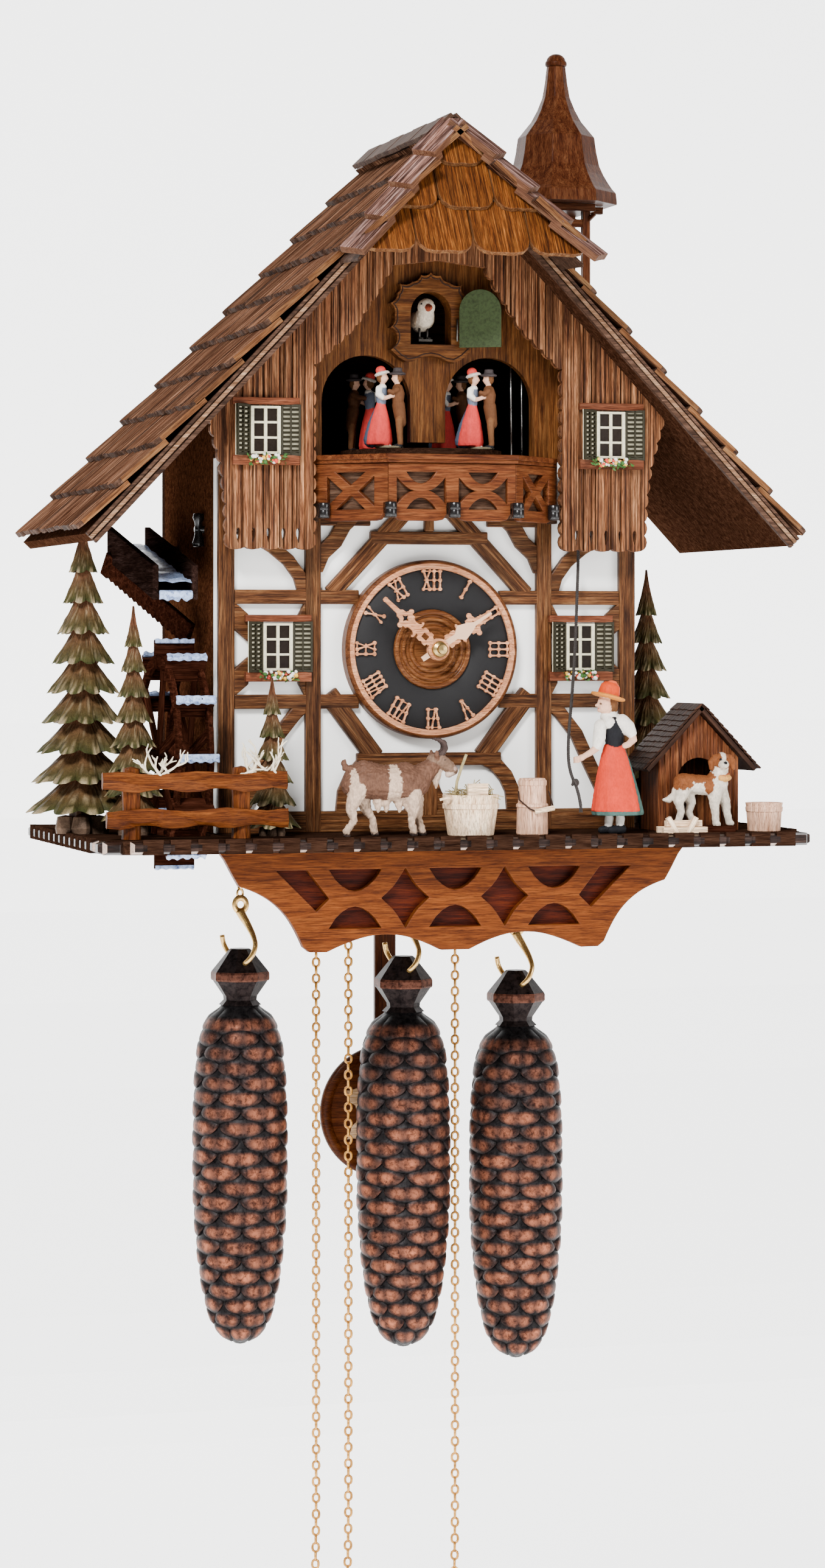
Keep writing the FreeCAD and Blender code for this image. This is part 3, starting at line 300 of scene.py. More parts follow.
# ---- mesh building ----
class Build:
    """Collects shapes in millimetres into one mesh. Each shape keeps its own grain coordinates and tone."""

    def __init__(self):
        self.verts, self.grain, self.tints = [], [], []
        self.faces, self.slots, self.tones, self.smooth = [], [], [], []

    def add(self, shape, mat=0, tone=None, place=None, grain="x", smooth=False, pick=None, tint=None):
        verts, faces = shape
        start = len(self.verts)
        tone = rnd.random() if tone is None else tone
        shift = Vector((rnd.uniform(0, 300), rnd.uniform(0, 300), rnd.uniform(0, 300)))
        for i, v in enumerate(verts):
            v = Vector(v)
            local = {"x": v, "y": Vector((v.y, v.z, v.x)), "z": Vector((v.z, v.x, v.y))}[grain]
            self.grain.append(local + shift)
            shade = tint(v) if callable(tint) else tint[i] if isinstance(tint, list) else tint or (0.5, 0.5,
                                                                                                   0.5)
            self.tints.append((*shade, 1.0))
            self.verts.append(place @ v if place is not None else v)
        for i, f in enumerate(faces):
            self.faces.append([start + k for k in f])
            self.slots.append(pick(i) if pick else mat)
            self.tones.append(tone)
            self.smooth.append(smooth)

    def finish(self, name, mats, body, replaces=(), slot=None, bevel=0.0, segments=1, angle=38):
        mesh = bpy.data.meshes.new(name)
        mesh.from_pydata([v * MM for v in self.verts], [], self.faces)
        for m in mats:
            mesh.materials.append(m)
        mesh.polygons.foreach_set("material_index", self.slots)
        mesh.polygons.foreach_set("use_smooth", self.smooth)
        grain = mesh.attributes.new("grain", "FLOAT_VECTOR", "POINT")
        grain.data.foreach_set("vector", [c for v in self.grain for c in v])
        tone = mesh.attributes.new("tone", "FLOAT", "FACE")
        tone.data.foreach_set("value", self.tones)
        tint = mesh.attributes.new("tint", "FLOAT_COLOR", "POINT")
        tint.data.foreach_set("color", [c for t in self.tints for c in t])
        mesh.validate(clean_customdata=False)
        mesh.update()
        obj = bpy.data.objects.new(name, mesh)
        bpy.context.collection.objects.link(obj)
        if bevel:
            mod = obj.modifiers.new("edge", "BEVEL")
            mod.width, mod.segments = bevel * MM, segments
            mod.limit_method, mod.angle_limit = "ANGLE", math.radians(angle)
        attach(obj, body)
        for node in ([replaces] if isinstance(replaces, str) else replaces):
            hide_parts(node)
        return obj


def move(x=0, y=0, z=0, turn=(0, 0, 0), size=(1, 1, 1)):
    """Placement: size, then turn (degrees about X, Y, Z), then shift."""
    return (Matrix.Translation((x, y, z)) @ Euler([math.radians(a) for a in turn]).to_matrix().to_4x4()
            @ Matrix.Diagonal((*size, 1)))


def block(x0, x1, y0, y1, z0, z1):
    verts = [(x, y, z) for x in (x0, x1) for y in (y0, y1) for z in (z0, z1)]
    return verts, [(0, 1, 3, 2), (4, 6, 7, 5), (0, 4, 5, 1), (2, 3, 7, 6), (0, 2, 6, 4), (1, 5, 7, 3)]


def lathe(profile, sides=32, wobble=None):
    """Turned shape about local Z from (radius, height) pairs; an end on the axis closes it."""
    verts, faces = [], []
    for k, (r, h) in enumerate(profile):
        for i in range(sides):
            a = 2 * math.pi * i / sides
            rr = r * (wobble(a, h) if wobble else 1.0)
            verts.append((rr * math.cos(a), rr * math.sin(a), h))
    for k in range(len(profile) - 1):
        for i in range(sides):
            j = (i + 1) % sides
            faces.append((k * sides + i, k * sides + j, (k + 1) * sides + j, (k + 1) * sides + i))
    for k, order in ((0, -1), (len(profile) - 1, 1)):
        faces.append([k * sides + i for i in range(sides)][::order])
    return verts, faces


def closed_lathe(profile, sides=32):
    """Turned ring about local Z whose section is a closed loop of (radius, height) pairs."""
    verts, faces = [], []
    count = len(profile)
    for r, h in profile:
        for i in range(sides):
            a = 2 * math.pi * i / sides
            verts.append((r * math.cos(a), r * math.sin(a), h))
    for k in range(count):
        n = (k + 1) % count
        for i in range(sides):
            j = (i + 1) % sides
            faces.append((k * sides + i, k * sides + j, n * sides + j, n * sides + i))
    return verts, faces


def tube(points, radius, sides=8, closed=False):
    """Round bar along points; radius may be a number or one for each point."""
    points = [Vector(p) for p in points]
    radii = radius if isinstance(radius, (list, tuple)) else [radius] * len(points)
    count = len(points)
    verts, faces = [], []
    side = None
    for i, p in enumerate(points):
        before = points[i - 1] if i or closed else p
        after = points[(i + 1) % count] if i < count - 1 or closed else p
        along = (after - before).normalized()
        if side is None:
            side = along.orthogonal().normalized()
        side = (side - along * side.dot(along)).normalized()
        other = along.cross(side)
        for k in range(sides):
            a = 2 * math.pi * k / sides
            verts.append(p + (side * math.cos(a) + other * math.sin(a)) * radii[i])
    rings = count if closed else count - 1
    for i in range(rings):
        n = (i + 1) % count
        for k in range(sides):
            j = (k + 1) % sides
            faces.append((i * sides + k, i * sides + j, n * sides + j, n * sides + k))
    if not closed:
        faces.append([k for k in range(sides)][::-1])
        faces.append([(count - 1) * sides + k for k in range(sides)])
    return verts, faces


def ball(rx, ry, rz, rings=10, sides=16):
    profile = [(math.sin(math.pi * k / rings), -math.cos(math.pi * k / rings)) for k in range(rings + 1)]
    verts, faces = lathe([(max(r, 1e-4), h) for r, h in profile], sides)
    return [(x * rx, y * ry, z * rz) for x, y, z in verts], faces


def inside(point, loop):
    x, y = point
    hit = False
    for (x0, y0), (x1, y1) in zip(loop, loop[1:] + loop[:1]):
        if (y0 > y) != (y1 > y) and x < (x1 - x0) * (y - y0) / (y1 - y0) + x0:
            hit = not hit
    return hit


def plate(outline, y_front, thick, holes=(), lines=(), depth=None):
    """Board standing parallel to the front. outline and holes are loops of (x, z); lines are cuts across
    the face, and depth(x, z) gives how far its front face is set back there."""
    loops = [list(outline)] + [list(h) for h in holes]
    points, edges = [], []
    for loop in loops:
        start = len(points)
        points += [Vector(p) for p in loop]
        edges += [(start + i, start + (i + 1) % len(loop)) for i in range(len(loop))]
    for a, b in lines:
        edges.append((len(points), len(points) + 1))
        points += [Vector(a), Vector(b)]
    verts2, _, faces2, _, _, _ = geometry.delaunay_2d_cdt(points, edges, [], 0, 1e-4)
    kept = []
    for f in faces2:
        mid = (verts2[f[0]] + verts2[f[1]] + verts2[f[2]]) / 3
        if inside((mid.x, mid.y), loops[0]) and not any(inside((mid.x, mid.y), h) for h in loops[1:]):
            kept.append(tuple(f))
    used = sorted({i for f in kept for i in f})
    index = {old: new for new, old in enumerate(used)}
    count = len(used)
    verts = []
    for i in used:
        p = verts2[i]
        verts.append((p.x, y_front + (depth(p.x, p.y) if depth else 0.0), p.y))
    verts += [(verts2[i].x, y_front + thick, verts2[i].y) for i in used]
    faces, border = [], {}
    for f in kept:
        a, b, c = (index[i] for i in f)
        faces.append((a, b, c))
        faces.append((count + c, count + b, count + a))
        for e in ((a, b), (b, c), (c, a)):
            border[e] = border.get(e, 0) + 1
    for (a, b) in border:
        if (b, a) not in border:
            faces.append((b, a, count + a, count + b))
    return verts, faces


def arc(cx, cz, r, a0, a1, steps):
    """Points on a circle, angles in degrees from +X."""
    return [(cx + r * math.cos(math.radians(a0 + (a1 - a0) * i / steps)),
             cz + r * math.sin(math.radians(a0 + (a1 - a0) * i / steps))) for i in range(steps + 1)]


def arch_loop(x, half, z0, top, steps=16):
    return [(x - half, z0), (x + half, z0)] + arc(x, top - half, half, 0, 180, steps)


def scallop(points, bite, pitch):
    """The same line with small bites along it, for a carved edge."""
    out = []
    for (x0, z0), (x1, z1) in zip(points, points[1:]):
        length = math.hypot(x1 - x0, z1 - z0)
        count = max(1, round(length / pitch))
        nx, nz = (z1 - z0) / length, -(x1 - x0) / length
        for i in range(count):
            for t in (0.0, 0.2, 0.5, 0.8):
                s = (i + t) / count
                deep = bite * (math.sin(math.pi * t) ** 0.7 if t else 0.0)
                out.append((x0 + (x1 - x0) * s + nx * deep, z0 + (z1 - z0) * s + nz * deep))
    out.append(points[-1])
    return out


def turns(count):
    """Angles of a full turn in equal steps, in radians."""
    return [2 * math.pi * i / count for i in range(count)]


def prism_faces(n):
    """Faces of a prism whose points are its two end loops of n points, one after the other."""
    faces = [list(range(n)), [n + i for i in range(n)][::-1]]
    return faces + [(i, n + i, n + (i + 1) % n, (i + 1) % n) for i in range(n)]


def placed(shape, place):
    """The same shape with its points moved by a placement."""
    return [tuple(place @ Vector(v)) for v in shape[0]], shape[1]


# ---- chains and rope: the cords come first ----
def nurbs_line(points_mm, name, resolution=24):
    """Smooth line of a cord's route, in millimetres, read from a NURBS curve with the route's points."""
    curve = bpy.data.curves.new(name, "CURVE")
    curve.dimensions = "3D"
    spline = curve.splines.new("NURBS")
    spline.points.add(len(points_mm) - 1)
    for p, co in zip(spline.points, points_mm):
        p.co = (co[0] * MM, co[1] * MM, co[2] * MM, 1)
    spline.order_u = 3
    spline.use_endpoint_u = True
    spline.resolution_u = resolution
    obj = bpy.data.objects.new(name, curve)
    bpy.context.collection.objects.link(obj)
    bpy.context.view_layer.update()
    mesh = bpy.data.meshes.new_from_object(obj)
    line = [v.co / MM for v in mesh.vertices]
    bpy.data.objects.remove(obj)
    return line


def even_points(line, pitch):
    """Points a fixed pitch apart along a line, each with its direction."""
    out, left = [], 0.0
    for a, b in zip(line, line[1:]):
        step = (b - a).length
        if step < 1e-9:
            continue
        along = (b - a) / step
        at = left
        while at < step:
            out.append((a + along * at, along))
            at += pitch
        left = at - step
    return out


def link_shape(length, width, wire, sides=6, steps=10):
    """One oval chain link lying in the XZ plane, long way up Z."""
    r = width / 2 - wire
    half = length / 2 - wire - r
    points = [(r * math.cos(a), 0, half + r * math.sin(a)) for a in
              (math.pi * i / (steps / 2) for i in range(int(steps / 2) + 1))]
    points += [(-r * math.cos(a), 0, -half - r * math.sin(a)) for a in
               (math.pi * i / (steps / 2) for i in range(int(steps / 2) + 1))]
    return tube(points, wire, sides, closed=True)


LINK_L, LINK_W, LINK_WIRE = 5.6, 4.5, 0.66
LINK_PITCH = LINK_L - 2 * LINK_WIRE - 0.2


def chain_links(build, line, start_turn=0.0):
    """Oval links along a line, each turned a quarter from the one before."""
    shape = link_shape(LINK_L, LINK_W, LINK_WIRE)
    side = Vector((0, 1, 0))
    for i, (p, along) in enumerate(even_points(line, LINK_PITCH)):
        side = side - along * side.dot(along)
        side = side.normalized() if side.length > 1e-6 else along.orthogonal().normalized()
        turn = Matrix.Rotation(start_turn + (math.pi / 2 if i % 2 else 0) + math.radians(18), 3, along)
        y = turn @ side
        x = y.cross(along)
        frame_ = Matrix((x, y, along)).transposed().to_4x4()
        build.add(shape, 0, place=Matrix.Translation(p) @ frame_, grain="z", smooth=True)


def chain_route(x):
    """Straight down from the chain wheel, then nine turns of a tied hank: three lanes, three layers."""
    y = CHAIN_Y
    points = [(x, y, z) for z in (-185, -245, -305, -365, -425, -485, -545, -600)]
    for i in range(9):
        lane = x + 4.7 * (i % 3 - 1)
        layer = i // 3
        reach = 13.4 - 4.6 * layer
        up = HANK_TOP - 4.6 * layer
        low = HANK_LOW + 4.6 * layer
        points += [(lane, y - reach, up - 6), (lane, y - reach, up - 26), (lane, y - reach, low + 26),
                   (lane, y - reach, low + 6), (lane, y - reach * 0.4, low), (lane, y + reach * 0.4, low),
                   (lane, y + reach, low + 6), (lane, y + reach, low + 26), (lane, y + reach, up - 26),
                   (lane, y + reach, up - 6), (lane, y + reach * 0.4, up), (lane, y - reach * 0.4, up)]
    points += [(x + 3, y, -646), (x, y, -668)]
    return points


def softened(value):
    """Squares off a circle's sine or cosine."""
    return math.copysign(abs(value) ** 0.45, value)


def free_chains(mat):
    for side, (_, x, _) in DRIVES.items():
        line = nurbs_line(chain_route(x), "route_" + side)
        build = Build()
        chain_links(build, line)
        chain = build.finish("free_chain_links_" + side, [mat], "free_chain_" + side,
                             replaces=("free_chain_" + side, "chain_hank_" + side), slot="chain_brass")
        length = sum((b - a).length for a, b in zip(line, line[1:])) * MM
        ring = Build()
        circle = [(x + 3.4 * math.cos(a), CHAIN_Y, -676.0 + 3.4 * math.sin(a)) for a in turns(20)]
        ring.add(tube(circle, 0.8, 8, closed=True), smooth=True)
        band = [(x + 7.4 * softened(math.cos(a)), CHAIN_Y + 16.2 * softened(math.sin(a)), -664.0)
                for a in turns(32)]
        ring.add(tube(band, 0.9, 8, closed=True), smooth=True)
        end = ring.finish("chain_end_ring_" + side, [mat], "free_chain_" + side, slot="chain_brass")


ROPE = [(76.5, -127.5, -86), (76.5, -127.6, -104), (74.0, -133.5, -119), (69.0, -146, -143),
        (62.0, -162, -171),
        (55.0, -175.8, -196), (54.6, -179.5, -209), (58.6, -181.5, -218), (59.5, -182.5, -226)]


def bell_rope(mat):
    """Three plaited strands round the rope's line, with an overhand knot near the end."""
    line = nurbs_line(ROPE, "route_rope")
    points = even_points(line, 0.35)
    build = Build()
    for strand in range(3):
        phase = 2 * math.pi * strand / 3
        path = []
        for i, (p, along) in enumerate(points):
            a = phase + i * 0.35 / 3.4 * 2 * math.pi
            side = along.orthogonal().normalized()
            other = along.cross(side)
            path.append(p + (side * math.cos(a) + other * math.sin(a)) * 0.38)
        build.add(tube(path, 0.46, 7), smooth=True)
    rope = build.finish("bell_rope_plait", [mat], "bell_rope", replaces="bell_rope", slot="rope")
    knot = Build()
    knot_at = min(line, key=lambda p: abs(p.z + 214.5))
    loop = [knot_at + Vector((1.15 * math.cos(a) * (1 + 0.25 * math.cos(3 * a)), 1.0 * math.sin(a),
                              1.1 * math.sin(2 * a) + 0.4)) for a in turns(40)]
    knot.add(tube(loop, 0.75, 8, closed=True), smooth=True)
    tip = points[-1][0]
    for i in range(9):
        a = 2 * math.pi * i / 9
        fray = [tip + Vector((0.3 * math.cos(a), 0.3 * math.sin(a), 0.6)),
                tip + Vector((0.7 * math.cos(a), 0.7 * math.sin(a), -1.2)),
                tip + Vector((0.8 * math.cos(a + 0.4), 0.8 * math.sin(a + 0.4), -2.8))]
        knot.add(tube(fray, 0.16, 5))
    end = knot.finish("bell_rope_knot", [mat], "bell_rope", slot="rope")
    length = sum((b - a).length for a, b in zip(line, line[1:])) * MM
    tuple(c * MM for c in ROPE[0])


# ---- weights ----
def cone_radius(t):
    """Outline of the cast pinecone; t runs from 0 under the cap to 1 at the tip."""
    points = [(0, 9.0), (0.024, 12.2), (0.049, 15.8), (0.073, 18.3), (0.098, 20.0), (0.123, 21.2),
              (0.172, 22.4),
              (0.246, 23.4), (0.345, 24.0), (0.52, 24.0), (0.59, 23.8), (0.666, 23.0), (0.74, 21.8),
              (0.79, 20.9),
              (0.838, 19.5), (0.887, 17.8), (0.937, 15.0), (0.961, 12.6), (0.986, 9.0), (1.0, 5.0)]
    for (t0, r0), (t1, r1) in zip(points, points[1:]):
        if t <= t1:
            u = (t - t0) / (t1 - t0)
            return r0 + (r1 - r0) * u
    return points[-1][1]


COPPER, SOOT = Vector((0.34, 0.115, 0.06)), Vector((0.014, 0.013, 0.014))


def ease(x):
    """Smooth step from 0 to 1."""
    x = min(1.0, max(0.0, x))
    return x * x * (3 - 2 * x)


def cone_scale(t, span, height, a_mid, half, worn):
    """One wide lens-shaped scale of the cone with its rim, and the colour of each of its points: copper on
    the convex crest, partly a rubbed finish and partly a painted highlight, fading to black at the sides and
    the rim.
    """
    cols, lines = 14, 16
    verts, faces, shades = [], [], []
    for i in range(lines + 1):
        v = i / lines
        reach = math.sqrt(max(0.0, 1 - ((v - 0.45) / 0.55) ** 2)) if v > 0.45 else 1.0
        for j in range(cols + 1):
            u = (j / cols - 0.5) * 2
            across = u * max(reach, 0.05)
            a = a_mid + half * across
            rr = cone_radius(min(1.0, t + height * v / span))
            rise = ease((v - 0.20 - 0.30 * across * across) / 0.34)
            rr += -2.5 + 2.5 * rise - 0.5 * across * across - 1.5 * ease((v - 0.74) / 0.26) ** 2
            rr = min(rr, 24.3)
            verts.append((rr * math.cos(a), rr * math.sin(a), -height * v))
            # Copper on the convex crest of the scale: partly the rubbed copper finish, partly a painted
            # highlight where light catches the crest.
            copper_and_highlight = ease((v - 0.50 - 0.10 * across * across) / 0.14) * (1 - ease((v - 0.74) / 0.20))
            fade = 1 - 0.8 * ease((abs(across) - 0.35) / 0.45)
            copper_and_highlight *= worn * (0.65 + 0.35 * math.cos(7 * u + 5 * worn)) * fade
            shades.append(tuple(SOOT.lerp(COPPER, min(1.0, copper_and_highlight))))
    for i in range(lines):
        for j in range(cols):
            b = i * (cols + 1) + j
            faces.append((b, b + cols + 1, b + cols + 2, b + 1))
    edge = [i * (cols + 1) for i in range(lines // 3, lines)]
    edge += [lines * (cols + 1) + j for j in range(cols + 1)]
    edge += [i * (cols + 1) + cols for i in range(lines - 1, lines // 3 - 1, -1)]
    count = len(verts)
    for k in edge:
        vx, vy, vz = verts[k]
        keep = 1 - 2.4 / math.hypot(vx, vy)
        verts.append((vx * keep, vy * keep, vz + 0.7))
        shades.append(tuple(SOOT))
    for k in range(len(edge) - 1):
        faces.append((edge[k], count + k, count + k + 1, edge[k + 1]))
    return (verts, faces), shades


def weights(mat_iron, mat_brass):
    rows, around = 23, 6
    for side, (x, _, top) in DRIVES.items():
        build = Build()
        body_top, span = top - 24.6, 172.5
        core = [(max(cone_radius(i / 40) - 2.3, 2.5), body_top - span * i / 40) for i in range(41)]
        core = [(0.01, body_top + 1)] + core + [(0.01, body_top - span - 0.6)]
        build.add(lathe(core[::-1], 40), 0, place=move(x, CHAIN_Y), grain="z", smooth=True, tone=0.1,
                  tint=tuple(SOOT))
        for row in range(rows):
            t = (row - 1.1) / (rows + 0.35)
            lead = max(t, 0.0)
            height = span / (rows + 0.35) * 2.32
            for k in range(around):
                a_mid = 2 * math.pi * (k + 0.5 * (row % 2) + rnd.uniform(-0.04, 0.04)) / around + 0.3
                half = math.pi / around * 1.06
                worn = rnd.uniform(0.5, 1.0) * (0.55 + 0.45 * ease(lead / 0.4))
                shape, shades = cone_scale(lead, span, min(height, span * (1 - lead)), a_mid, half, worn)
                build.add(shape, 0, place=move(x, CHAIN_Y, body_top - span * lead), grain="z", smooth=True,
                          tone=worn, tint=shades)
        cap = [(0.01, 0), (5.0, 0), (6.0, -0.9), (14.4, -11.2), (14.6, -12.2), (14.4, -15.2), (8.6, -23.6),
               (8.4, -25.5),
               (10.8, -28.0), (0.01, -29.0)]
        ribs = [(14.5, -11.3), (14.9, -12.3), (14.9, -15.0), (14.5, -15.8)]
        build.add(lathe(cap[::-1], 8), 0, place=move(x, CHAIN_Y, top, turn=(0, 0, 22.5)), grain="z",
                  tone=0.3,
                  tint=lambda v: tuple(SOOT.lerp(COPPER, 0.22 if math.hypot(v.x, v.y) > 14.5 else 0.02)))
        build.add(lathe(ribs[::-1], 8), 0, place=move(x, CHAIN_Y, top, turn=(0, 0, 22.5)), grain="z",
                  tone=0.3,
                  tint=tuple(SOOT.lerp(COPPER, 0.25)))
        build.finish("weight_cone_" + side, [mat_iron], "weight_" + side, replaces="weight_" + side,
                     slot="iron_copper")
        weight_hook(side, mat_brass)


def nurbs_point(points, u):
    """Point of a smooth curve through the points, u from 0 to 1."""
    span = u * (len(points) - 1)
    k = min(int(span), len(points) - 2)
    f = span - k
    p0, p1, p2, p3 = (Vector(points[min(max(k + d, 0), len(points) - 1)]) for d in (-1, 0, 1, 2))
    return 0.5 * (2 * p1 + (p2 - p0) * f + (2 * p0 - 5 * p1 + 4 * p2 - p3) * f * f
                  + (3 * p1 - p0 - 3 * p2 + p3) * f * f * f)


def weight_hook(side, mat):
    """Flat brass S-hook through the cap and the chain above it."""
    x, _, top = DRIVES[side]
    build = Build()
    eye_z = top + 22.0
    flat = move(x, CHAIN_Y - 1, eye_z, size=(1, 0.55, 1.12))
    eye = [(3.0 * math.cos(a), 0, 3.0 * math.sin(a))
           for a in (math.radians(360 * i / 24) for i in range(24))]
    build.add(tube(eye, 1.45, 10, closed=True), 0, place=flat, grain="z", smooth=True)
    stem = [(x - 0.4, CHAIN_Y - 1, eye_z - 3.2), (x + 1.2, CHAIN_Y - 2.4, eye_z - 6.5),
            (x + 3.2, CHAIN_Y - 4.6, eye_z - 10.5), (x + 4.8, CHAIN_Y - 8.6, eye_z - 15.5),
            (x + 5.0, CHAIN_Y - 11.6, eye_z - 20), (x + 3.0, CHAIN_Y - 12.4, eye_z - 25),
            (x + 0.2, CHAIN_Y - 10.5, eye_z - 28.6),
            (x - 0.6, CHAIN_Y - 4.0, eye_z - 29.8), (x - 0.8, CHAIN_Y + 3.0, eye_z - 29.8),
            (x - 2.6, CHAIN_Y + 8.5, eye_z - 26.5), (x - 5.4, CHAIN_Y + 11.6, eye_z - 21.0),
            (x - 6.6, CHAIN_Y + 11.4, eye_z - 16.0)]
    route = [nurbs_point(stem, i / 40) for i in range(41)]
    radii = [2.3 - 1.0 * ease(i / 14) for i in range(41)]
    build.add(tube(route, radii, 10), 0, grain="z", smooth=True)
    line = [Vector((x, CHAIN_Y, z)) for z in (eye_z + 5.5, -172.5)]
    chain_links(build, line)
    build.finish("weight_hook_" + side, [mat], "weight_" + side, replaces="weight_chain_" + side,
                 slot="chain_brass")


# ---- roof ----
def slope_frame(side):
    """Axes of a roof slope: down the slope, across it, and out of it."""
    return Vector((side * DOWN_X, 0, -DOWN_Z)), Vector((0, side, 0)), Vector((side * DOWN_Z, 0, DOWN_X))


def slope_point(s, n, side, y):
    down, _, out = slope_frame(side)
    return Vector((0, y, RIDGE_Z)) + down * s + out * (n - SHINGLE_T)


def axes_matrix(x, y, z, origin):
    m = Matrix((x, y, z)).transposed().to_4x4()
    m.translation = origin
    return m


def shingle_shape(length, width, thick, round_r, ragged):
    """Flat shingle: length along local X, butt end rounded, a little uneven."""
    h = width / 2
    loop = [(0, -h), (length - round_r, -h)]
    for i in range(1, 4):
        a = math.radians(-90 + 30 * i)
        loop.append((length - round_r + round_r * math.cos(a), -h + round_r + round_r * math.sin(a)))
    steps = 4
    for i in range(1, steps):
        loop.append((length + rnd.uniform(-ragged, ragged * 0.4),
                     -h + round_r + (width - 2 * round_r) * i / steps))
    for i in range(0, 3):
        a = math.radians(30 * i)
        loop.append((length - round_r + round_r * math.cos(a), h - round_r + round_r * math.sin(a)))
    loop += [(length - round_r, h), (0, h)]
    count = len(loop)
    verts = [(x, y, 0.0) for x, y in loop] + [(x, y, thick) for x, y in loop]
    faces = [list(range(count))[::-1], [count + i for i in range(count)]]
    faces += [(i, (i + 1) % count, count + (i + 1) % count, count + i) for i in range(count)]
    return (verts, faces), count


def roof(mats):
    """Rows of split shingles on both slopes; the side faces at the verge show fresh wood."""
    first = SHINGLE_T * (RIDGE_Z - EAVE_Z) / EAVE_X
    rows = 10
    pitch = (SLOPE - first) / rows
    build = Build()
    for side in (-1, 1):
        down, across, out = slope_frame(side)
        for row in range(rows):
            butt = first + pitch * (row + 1) - 1.0
            x_butt = butt * DOWN_X
            front = -164.5 - (38.0 * x_butt / 57.0 if x_butt < 60 else 0.0)
            y = front
            while y < -1.0:
                width = min(rnd.uniform(15.0, 23.0), -0.4 - y)
                if -0.4 - (y + width) < 8:
                    width = -0.4 - y
                length = min(34.0 + rnd.uniform(-1.5, 1.0), butt - 1.0)
                thick = rnd.uniform(2.3, 3.0)
                shape, count = shingle_shape(length, width - 0.5, thick, rnd.uniform(3.0, 5.0), 0.9)
                tilt = math.atan2(3.4, 34.0) + rnd.uniform(-0.008, 0.012)
                lift = 0.5 + rnd.uniform(0, 0.3)
                slip = rnd.uniform(-1.2, 0.3)
                origin = slope_point(butt - length * math.cos(tilt) + slip, lift, side, y + width / 2)
                x_axis = (down * math.cos(tilt) + out * math.sin(tilt)).normalized()
                z_axis = x_axis.cross(across).normalized()
                place = axes_matrix(x_axis, across, z_axis, origin)
                verge = y == front

                def pick(i, verge=verge, count=count, side=side):
                    if i < 2:
                        return 0
                    k = i - 2
                    if k in (0, count - 2):
                        near_front = (k == 0) == (side > 0)
                        return 1 if verge and near_front else 2
                    return 2
                build.add(shape, place=place, pick=pick)
                y += width
    build.finish("roof_shingle_rows", mats, "case", replaces="roof_shingles", slot="shingle_wood",
                 bevel=0.35)
    hip(mats)
    verge_boards(mats)


def hip(mats):
    """Front half-hip: three rows of rounded shingles and overlapping caps on both edges."""
    apex, foot = Vector((0, -168, RIDGE_Z)), Vector((0, -203, 38))
    down = (foot - apex).normalized()
    length = (foot - apex).length
    out = down.cross(Vector((1, 0, 0)))
    build = Build()
    for butt, count, width in ((26.0, 1, 25.0), (51.0, 3, 27.5), (length + 0.5, 4, 28.4)):
        for i in range(count):
            x = (i - (count - 1) / 2) * width
            shape, _ = shingle_shape(31.0, width - 0.7 + rnd.uniform(-0.5, 0.5), 2.6, 7.5, 0.5)
            tilt = math.atan2(3.2, 31.0)
            x_axis = (down * math.cos(tilt) + out * math.sin(tilt)).normalized()
            y_axis = Vector((1, 0, 0))
            z_axis = x_axis.cross(y_axis)
            origin = apex + down * (butt - 31.0) + out * (-4.6) + Vector((x, 0, 0))
            place = axes_matrix(x_axis, y_axis, z_axis, origin)
            back, verts = place.inverted(), []
            for v in shape[0]:
                p = place @ Vector(v)
                limit = max(1.5, 0.754 * (p - apex).dot(down) + 2.0)
                p.x = max(-limit, min(limit, p.x))
                verts.append(tuple(back @ p))
            build.add((verts, shape[1]), 3, place=place, tone=0.35 + 0.5 * rnd.random(),
                      pick=lambda i: 3 if i < 2 else 1)
    for side in (-1, 1):
        edge = Vector((side * 57, -35, -67)).normalized()
        normal = (Vector((side * DOWN_Z, 0, DOWN_X)) + out).normalized()
        normal = (normal - edge * normal.dot(edge)).normalized()
        across = normal.cross(edge)
        for i in range(4):
            shape, _ = shingle_shape(29.0, 13.5, 3.6, 0.8, 0.3)
            tilt = math.atan2(3.8, 29.0)
            x_axis = (edge * math.cos(tilt) + normal * math.sin(tilt)).normalized()
            z_axis = x_axis.cross(across).normalized()
            origin = apex + edge * (23.6 * i + 0.5) + normal * (-2.0)
            build.add(shape, place=axes_matrix(x_axis, across, z_axis, origin),
                      pick=lambda i: 4 if i < 2 else 5)
    # soffit that closes the hip from below, and the ridge cap
    for side in (-1, 1):
        loop = [apex - out * 5, Vector((side * 56, -200, 36)) - out * 3, Vector((side * 56, -160, 36.5)),
                Vector((0, -160, RIDGE_Z - 12))]
        verts = [tuple(p) for p in loop] + [tuple(p + Vector((0, 0, -1.6))) for p in loop]
        faces = [(0, 1, 2, 3), (7, 6, 5, 4), (0, 4, 5, 1), (1, 5, 6, 2), (2, 6, 7, 3), (3, 7, 4, 0)]
        build.add((verts, faces), 2, tone=0.2)
    for side in (-1, 1):
        down_, across_, out_ = slope_frame(side)
        for i in range(8):
            shape, _ = shingle_shape(13.0, 24.0, 2.6, 1.0, 0.4)
            x_axis = (down_ + out_ * 0.05).normalized()
            origin = Vector((side * -0.4, -166 + 10.5 + 21 * i, RIDGE_Z + 2.2 - 0.3 * (i % 2)))
            if origin.y > -10:
                continue
            build.add(shape, 2, place=axes_matrix(x_axis, across_, x_axis.cross(across_), origin),
                      tone=0.2 + 0.3 * rnd.random())
    build.finish("hip_shingles", mats, "case", slot="shingle_wood", bevel=0.45, segments=2)


